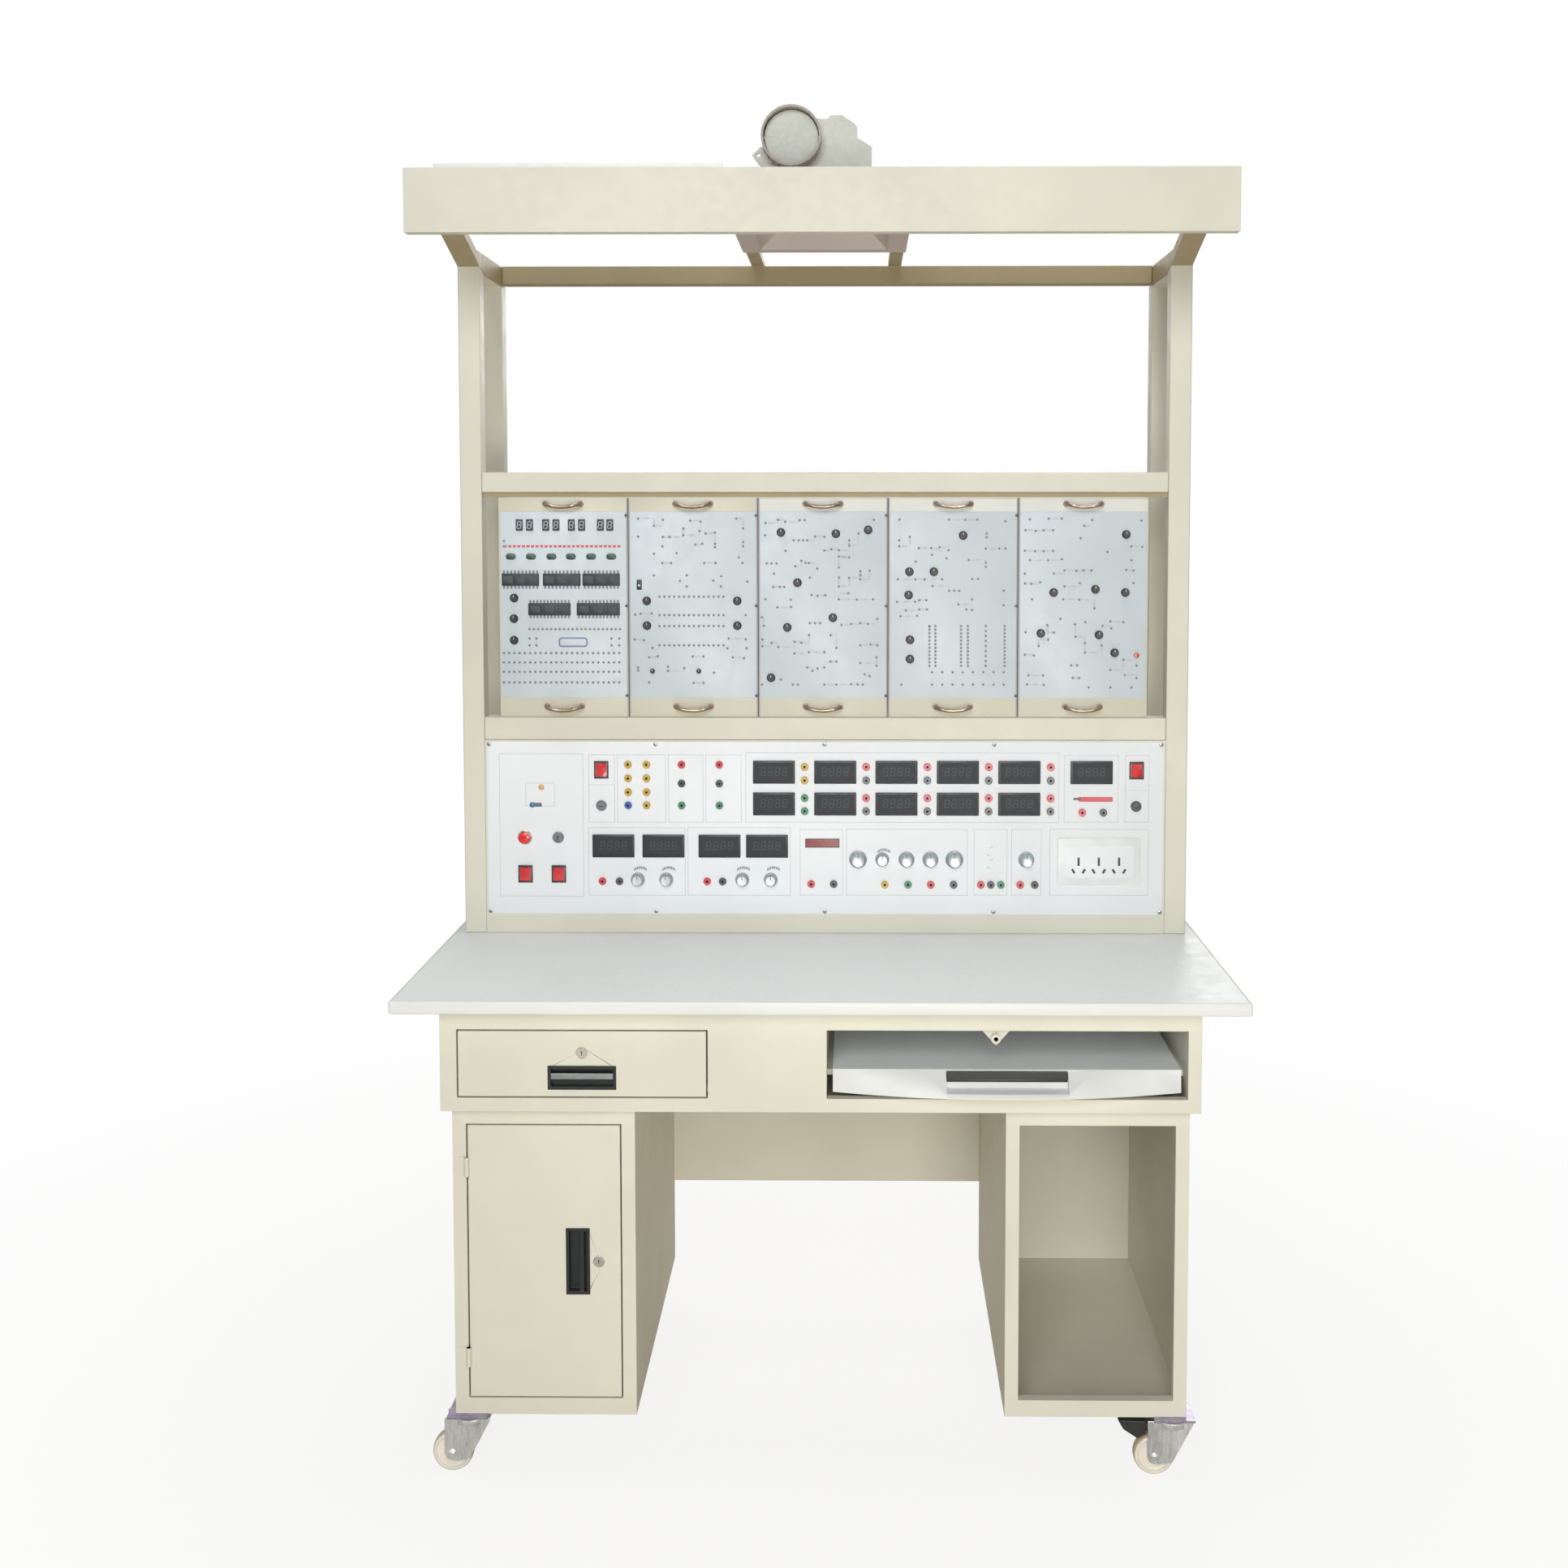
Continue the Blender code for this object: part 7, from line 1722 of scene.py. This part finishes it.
DIGIT_PIXELS = ((190, 250), (345, 405), (495, 555), (665, 720))
DIGIT_LEVEL_PIXEL = 80
DIGIT_CASE = (0.0124, 0.0210)
DIGIT_CASE_PROUD = 0.004
DIGIT_CASE_EDGE = 0.0005
DIGIT_SIZE = (0.0066, 0.0130, 0.0013)
OVAL_PIXELS = (140, 258, 378, 492, 610, 728)
OVAL_LEVEL_PIXEL = 265
OVAL_SIZE = (0.0184, 0.0112)
OVAL_PROUD = 0.003
OVAL_CORNER = 0.0054
OVAL_EDGE = 0.0012
CHIP_PIXELS = ((90, 305, 400), (330, 548, 400), (562, 778, 400), (245, 490, 573), (528, 778, 573))
CHIP_HALF_PIXELS = 35
CHIP_PROUD = 0.005
CHIP_EDGE = 0.0006
CHIP_TOPS = 3
CHIP_TOP_HALF = 0.0095
CHIP_TOP_MARGIN = 0.004
CHIP_TOP_DEPTHS = (0.0062, 0.0045)
CHIP_TOP_CORNER = 0.001
CHIP_TOP_EDGE = 0.0004
CONTACT_PITCH = 0.0064
CONTACT = {"width": 0.0030, "length": 0.0058, "height": 0.0016}
BLUE_OUTLINE_PIXELS = (420, 738, 590, 795)
BLUE_OUTLINE_WIDTH = 0.0030
BLUE_OUTLINE_CORNER = 0.0062
BLUE_OUTLINE_EDGE = 0.0001
BLUE_OUTLINE_PROUD = 0.0006
BLUE_INSIDE_PROUD = 0.0009
RED_ROW_PIXELS = (105, 770, 205, 26)
RED_DASH = (0.0014, 0.0046)


def even(low, high, count):
    """Middles of that many equal parts of a length."""
    return [low + (step + 0.5) * (high - low) / count for step in range(count)]


def add_chip(bm, left, right, level):
    """Chip socket with its three covers. Returns the places of its contacts."""
    low = board_point(0, (left, level + CHIP_HALF_PIXELS))
    high = board_point(0, (right, level - CHIP_HALF_PIXELS))
    add_box(bm, low + FRONT * CHIP_PROUD, high - FRONT * SUNK, round_by=CHIP_EDGE)
    near, far = CHIP_TOP_DEPTHS
    for x in even(low.x, high.x, CHIP_TOPS):
        add_plate(bm, Vector((x - CHIP_TOP_HALF, BOARD_FACE, low.z + CHIP_TOP_MARGIN)) + FRONT * near,
                  Vector((x + CHIP_TOP_HALF, BOARD_FACE, high.z - CHIP_TOP_MARGIN)) + FRONT * far,
                  CHIP_TOP_CORNER, CHIP_TOP_EDGE, material=3)
    levels = (low.z - CONTACT["length"] / 2, high.z + CONTACT["length"] / 2)
    count = int((high.x - low.x) / CONTACT_PITCH)
    return [(x, BOARD_FACE, z) for x in even(low.x, high.x, count) for z in levels]


def logic_board():
    """Numerals, push keys, chip sockets and print of the first board."""
    bm = bmesh.new()
    for across in [pixel for pair in DIGIT_PIXELS for pixel in pair]:
        centre = board_point(0, (across, DIGIT_LEVEL_PIXEL))
        add_box(bm, *centred(centre, DIGIT_CASE, DIGIT_CASE_PROUD), round_by=DIGIT_CASE_EDGE)
        add_digit(bm, centre + FRONT * DIGIT_CASE_PROUD, *DIGIT_SIZE, 1)
    for across in OVAL_PIXELS:
        centre = board_point(0, (across, OVAL_LEVEL_PIXEL))
        add_plate(bm, *centred(centre, OVAL_SIZE, OVAL_PROUD), OVAL_CORNER, OVAL_EDGE, material=2)
    contacts = []
    for left, right, level in CHIP_PIXELS:
        contacts += add_chip(bm, left, right, level)
    left, top, right, bottom = BLUE_OUTLINE_PIXELS
    low, high = board_point(0, (left, bottom)), board_point(0, (right, top))
    border = Vector((BLUE_OUTLINE_WIDTH, 0.0, BLUE_OUTLINE_WIDTH))
    add_plate(bm, low + FRONT * BLUE_OUTLINE_PROUD, high - FRONT * SUNK, BLUE_OUTLINE_CORNER,
              BLUE_OUTLINE_EDGE, material=4)
    add_plate(bm, low + border + FRONT * BLUE_INSIDE_PROUD, high - border - FRONT * SUNK,
              BLUE_OUTLINE_CORNER - BLUE_OUTLINE_WIDTH, BLUE_OUTLINE_EDGE, material=6)
    first, last, level, count = RED_ROW_PIXELS
    for step in range(count):
        spot = board_point(0, (first + (last - first) * step / (count - 1), level))
        add_bar(bm, spot, spot + RIGHT * RED_DASH[0], RED_DASH[1], SUNK, 5)
    obj = from_bmesh(
        "module_1_logic", bm, chip_body, print_grey, oval_green, chip_top, print_blue, print_red, board_face)
    place(obj, "module_1_body", "black_plastic")
    contacts = grown("module_1_contacts", contacts, chip_contacts, (contact_grey, bore_painted_shade), **CONTACT)
    place(contacts, "module_1_body", "black_plastic")


SLIDE_PIXEL = (892, 430)
SLIDE_SIZE = (0.0092, 0.0188)
SLIDE_PROUD = 0.0022
SLIDE_EDGE = 0.0006
SLIDER_LOW = (-0.0016, -0.0044, -0.0030)
SLIDER_HIGH = (0.0016, -0.002, 0.0010)
SLIDER_EDGE = 0.0004
PUSH_PIXEL = (1345, 993)
PUSH_PROFILE = (
    (0.0, -ROOTED), (0.0056, -ROOTED), (0.0056, 0.0012), (0.0044, 0.0016), (0.0042, 0.0044), (0.0034, 0.0052),
    (0.0, 0.0054))


def slide_switch():
    """Small slide switch on the second board."""
    centre = board_point(1, SLIDE_PIXEL)
    bm = bmesh.new()
    add_box(bm, *centred(centre, SLIDE_SIZE, SLIDE_PROUD), round_by=SLIDE_EDGE)
    add_box(bm, centre + Vector(SLIDER_LOW), centre + Vector(SLIDER_HIGH), round_by=SLIDER_EDGE, material=1)
    obj = from_bmesh("module_2_slide_switch", bm, black_plastic, socket_plastic)
    place(obj, "module_2_body", "black_plastic")


def red_push():
    """Small red button at the foot of the last board."""
    bm = bmesh.new()
    add_turned(bm, PUSH_PROFILE, board_point(4, PUSH_PIXEL), FRONT, 28, materials=(1, 1, 1, 0))
    place(from_bmesh("module_5_push", bm, red_button_painted_glow, socket_grey), "module_5_body", "red_plastic")


# Studio

FLOOR_SIZE = 30.0
FLOOR_WHITE_NEAR = 0.86
AMBIENT = 0.04
AMBIENT_TINT = (1.0, 0.86, 0.66)
GLOSS_LEVEL = 0.90
# Each lamp: place, aim, side, power and tint
LAMPS = {
    "key_lamp": ((-0.5, -5.4, 3.5), (0.0, 0.0, 1.1), 2.6, 150.0, (0.96, 0.99, 1.0)),
    "low_lamp": ((0.5, -3.7, 0.8), (0.0, 0.0, 0.6), 1.2, 45.0, (1.0, 0.97, 0.90)),
    "top_lamp": ((0.0, 0.4, 5.2), (0.0, 0.0, 0.8), 3.2, 108.0, (1.0, 0.98, 0.96)),
    "rear_lamp": ((0.8, 4.8, 3.2), (0.0, 0.0, 1.1), 2.2, 60.0, (1.0, 0.99, 0.97)),
}


FLOOR_COLOUR = (0.84, 0.80, 0.73)
FLOOR_ROUGHNESS = 0.9
FLOOR_FADE = (0.7, 2.6)
WHITE = (1.0, 1.0, 1.0)


def mix_shaders(tree, factor, first, second):
    return add_node(tree, "ShaderNodeMixShader", {"Fac": factor, 1: first, 2: second}).outputs["Shader"]


def studio_floor():
    """Pale floor that keeps the shadow and fades to white away from the bench."""
    bm = bmesh.new()
    bmesh.ops.create_grid(bm, x_segments=1, y_segments=1, size=FLOOR_SIZE)
    mesh = bpy.data.meshes.new("studio_floor")
    bm.to_mesh(mesh)
    bm.free()
    material, tree, shader = new_material("studio_floor", FLOOR_COLOUR, FLOOR_ROUGHNESS)
    set_inputs(tree, shader, {"Specular IOR Level": 0.0})
    glow = add_node(tree, "ShaderNodeEmission", {"Strength": 1.0})
    path = add_node(tree, "ShaderNodeLightPath")
    origin = add_node(tree, "ShaderNodeTexCoord")
    length = add_node(tree, "ShaderNodeVectorMath", {0: origin.outputs["Object"]}, operation="LENGTH")
    away = spread(tree, length.outputs["Value"], FLOOR_WHITE_NEAR, 1.0, *FLOOR_FADE)
    seen = maths(tree, "MULTIPLY", path.outputs["Is Camera Ray"], away)
    set_inputs(tree, tree.nodes["Material Output"], {
        "Surface": mix_shaders(tree, seen, shader.outputs["BSDF"], glow.outputs["Emission"])})
    add_object("studio_floor", mesh, material)


def studio_world():
    """Faint warm ambient light, a pale world for gloss to mirror, and white behind the bench."""
    world = bpy.data.worlds.new("studio_world")
    bpy.context.scene.world = world
    world.use_nodes = True
    tree = world.node_tree
    tree.nodes.clear()
    path = add_node(tree, "ShaderNodeLightPath")
    ambient, gloss, backdrop = [
        add_node(tree, "ShaderNodeBackground", {
            "Color": (*tint, 1.0), "Strength": strength}).outputs["Background"]
        for tint, strength in ((AMBIENT_TINT, AMBIENT), (WHITE, GLOSS_LEVEL), (WHITE, 1.0))]
    result = mix_shaders(tree, path.outputs["Is Glossy Ray"], ambient, gloss)
    result = mix_shaders(tree, path.outputs["Is Camera Ray"], result, backdrop)
    add_node(tree, "ShaderNodeOutputWorld", {"Surface": result})


def studio_lamps():
    for name, (spot, aim, side, power, tint) in LAMPS.items():
        light = bpy.data.lights.new(name, "AREA")
        light.size = side
        light.energy = power
        light.color = tint
        lamp_object = bpy.data.objects.new(name, light)
        lamp_object.location = spot
        lamp_object.rotation_euler = (Vector(aim) - Vector(spot)).to_track_quat("-Z", "Y").to_euler()
        lamp_object.visible_camera = False
        bpy.context.scene.collection.objects.link(lamp_object)


def photo_camera():
    """Camera where the photograph's stood."""
    data = bpy.data.cameras.new("photo_camera")
    data.sensor_width = SENSOR
    data.lens = LENS
    data.shift_x = SHIFT_X
    data.shift_y = SHIFT_Y
    camera = bpy.data.objects.new("photo_camera", data)
    camera.location = EYE
    camera.rotation_euler = LOOK
    bpy.context.scene.collection.objects.link(camera)
    bpy.context.scene.camera = camera
    bpy.context.scene.view_settings.view_transform = "Standard"


studio_floor()
studio_world()
studio_lamps()
photo_camera()
worktop_board()
steel_pieces()
painted_shadow_strip()
keyboard_tray()
flush_pull("drawer_pull", "drawer_unit", satin_grip)
flush_pull("door_pull", "door_unit", pull_black)
cam_lock("drawer_lock", "drawer_lock_body")
cam_lock("door_lock", "door_lock_body")
for hinge in ("door_hinge_upper", "door_hinge_lower"):
    door_hinge(hinge)
for corner in CASTOR_CORNERS:
    castor(corner)
castor_bolts()
for corner in ("front_right", "rear_right"):
    brake_pedal(corner)
lamp()
fume_extractor()
panel_plate()
panel_meters()
panel_jacks()
panel_screws()
panel_fittings()
socket_plate()
for node in ROCKERS:
    rocker(node)
stop_button()
key_switch()
for number in range(1, 11):
    control_knob(f"knob_{number}")
for index in range(MODULE_COUNT):
    module_case(index)
    module_handles(index)
    if index + 1 < MODULE_COUNT:
        seam_screws(index)
    module_knobs(index)
    module_sockets(index)
    module_print(index)
logic_board()
slide_switch()
red_push()
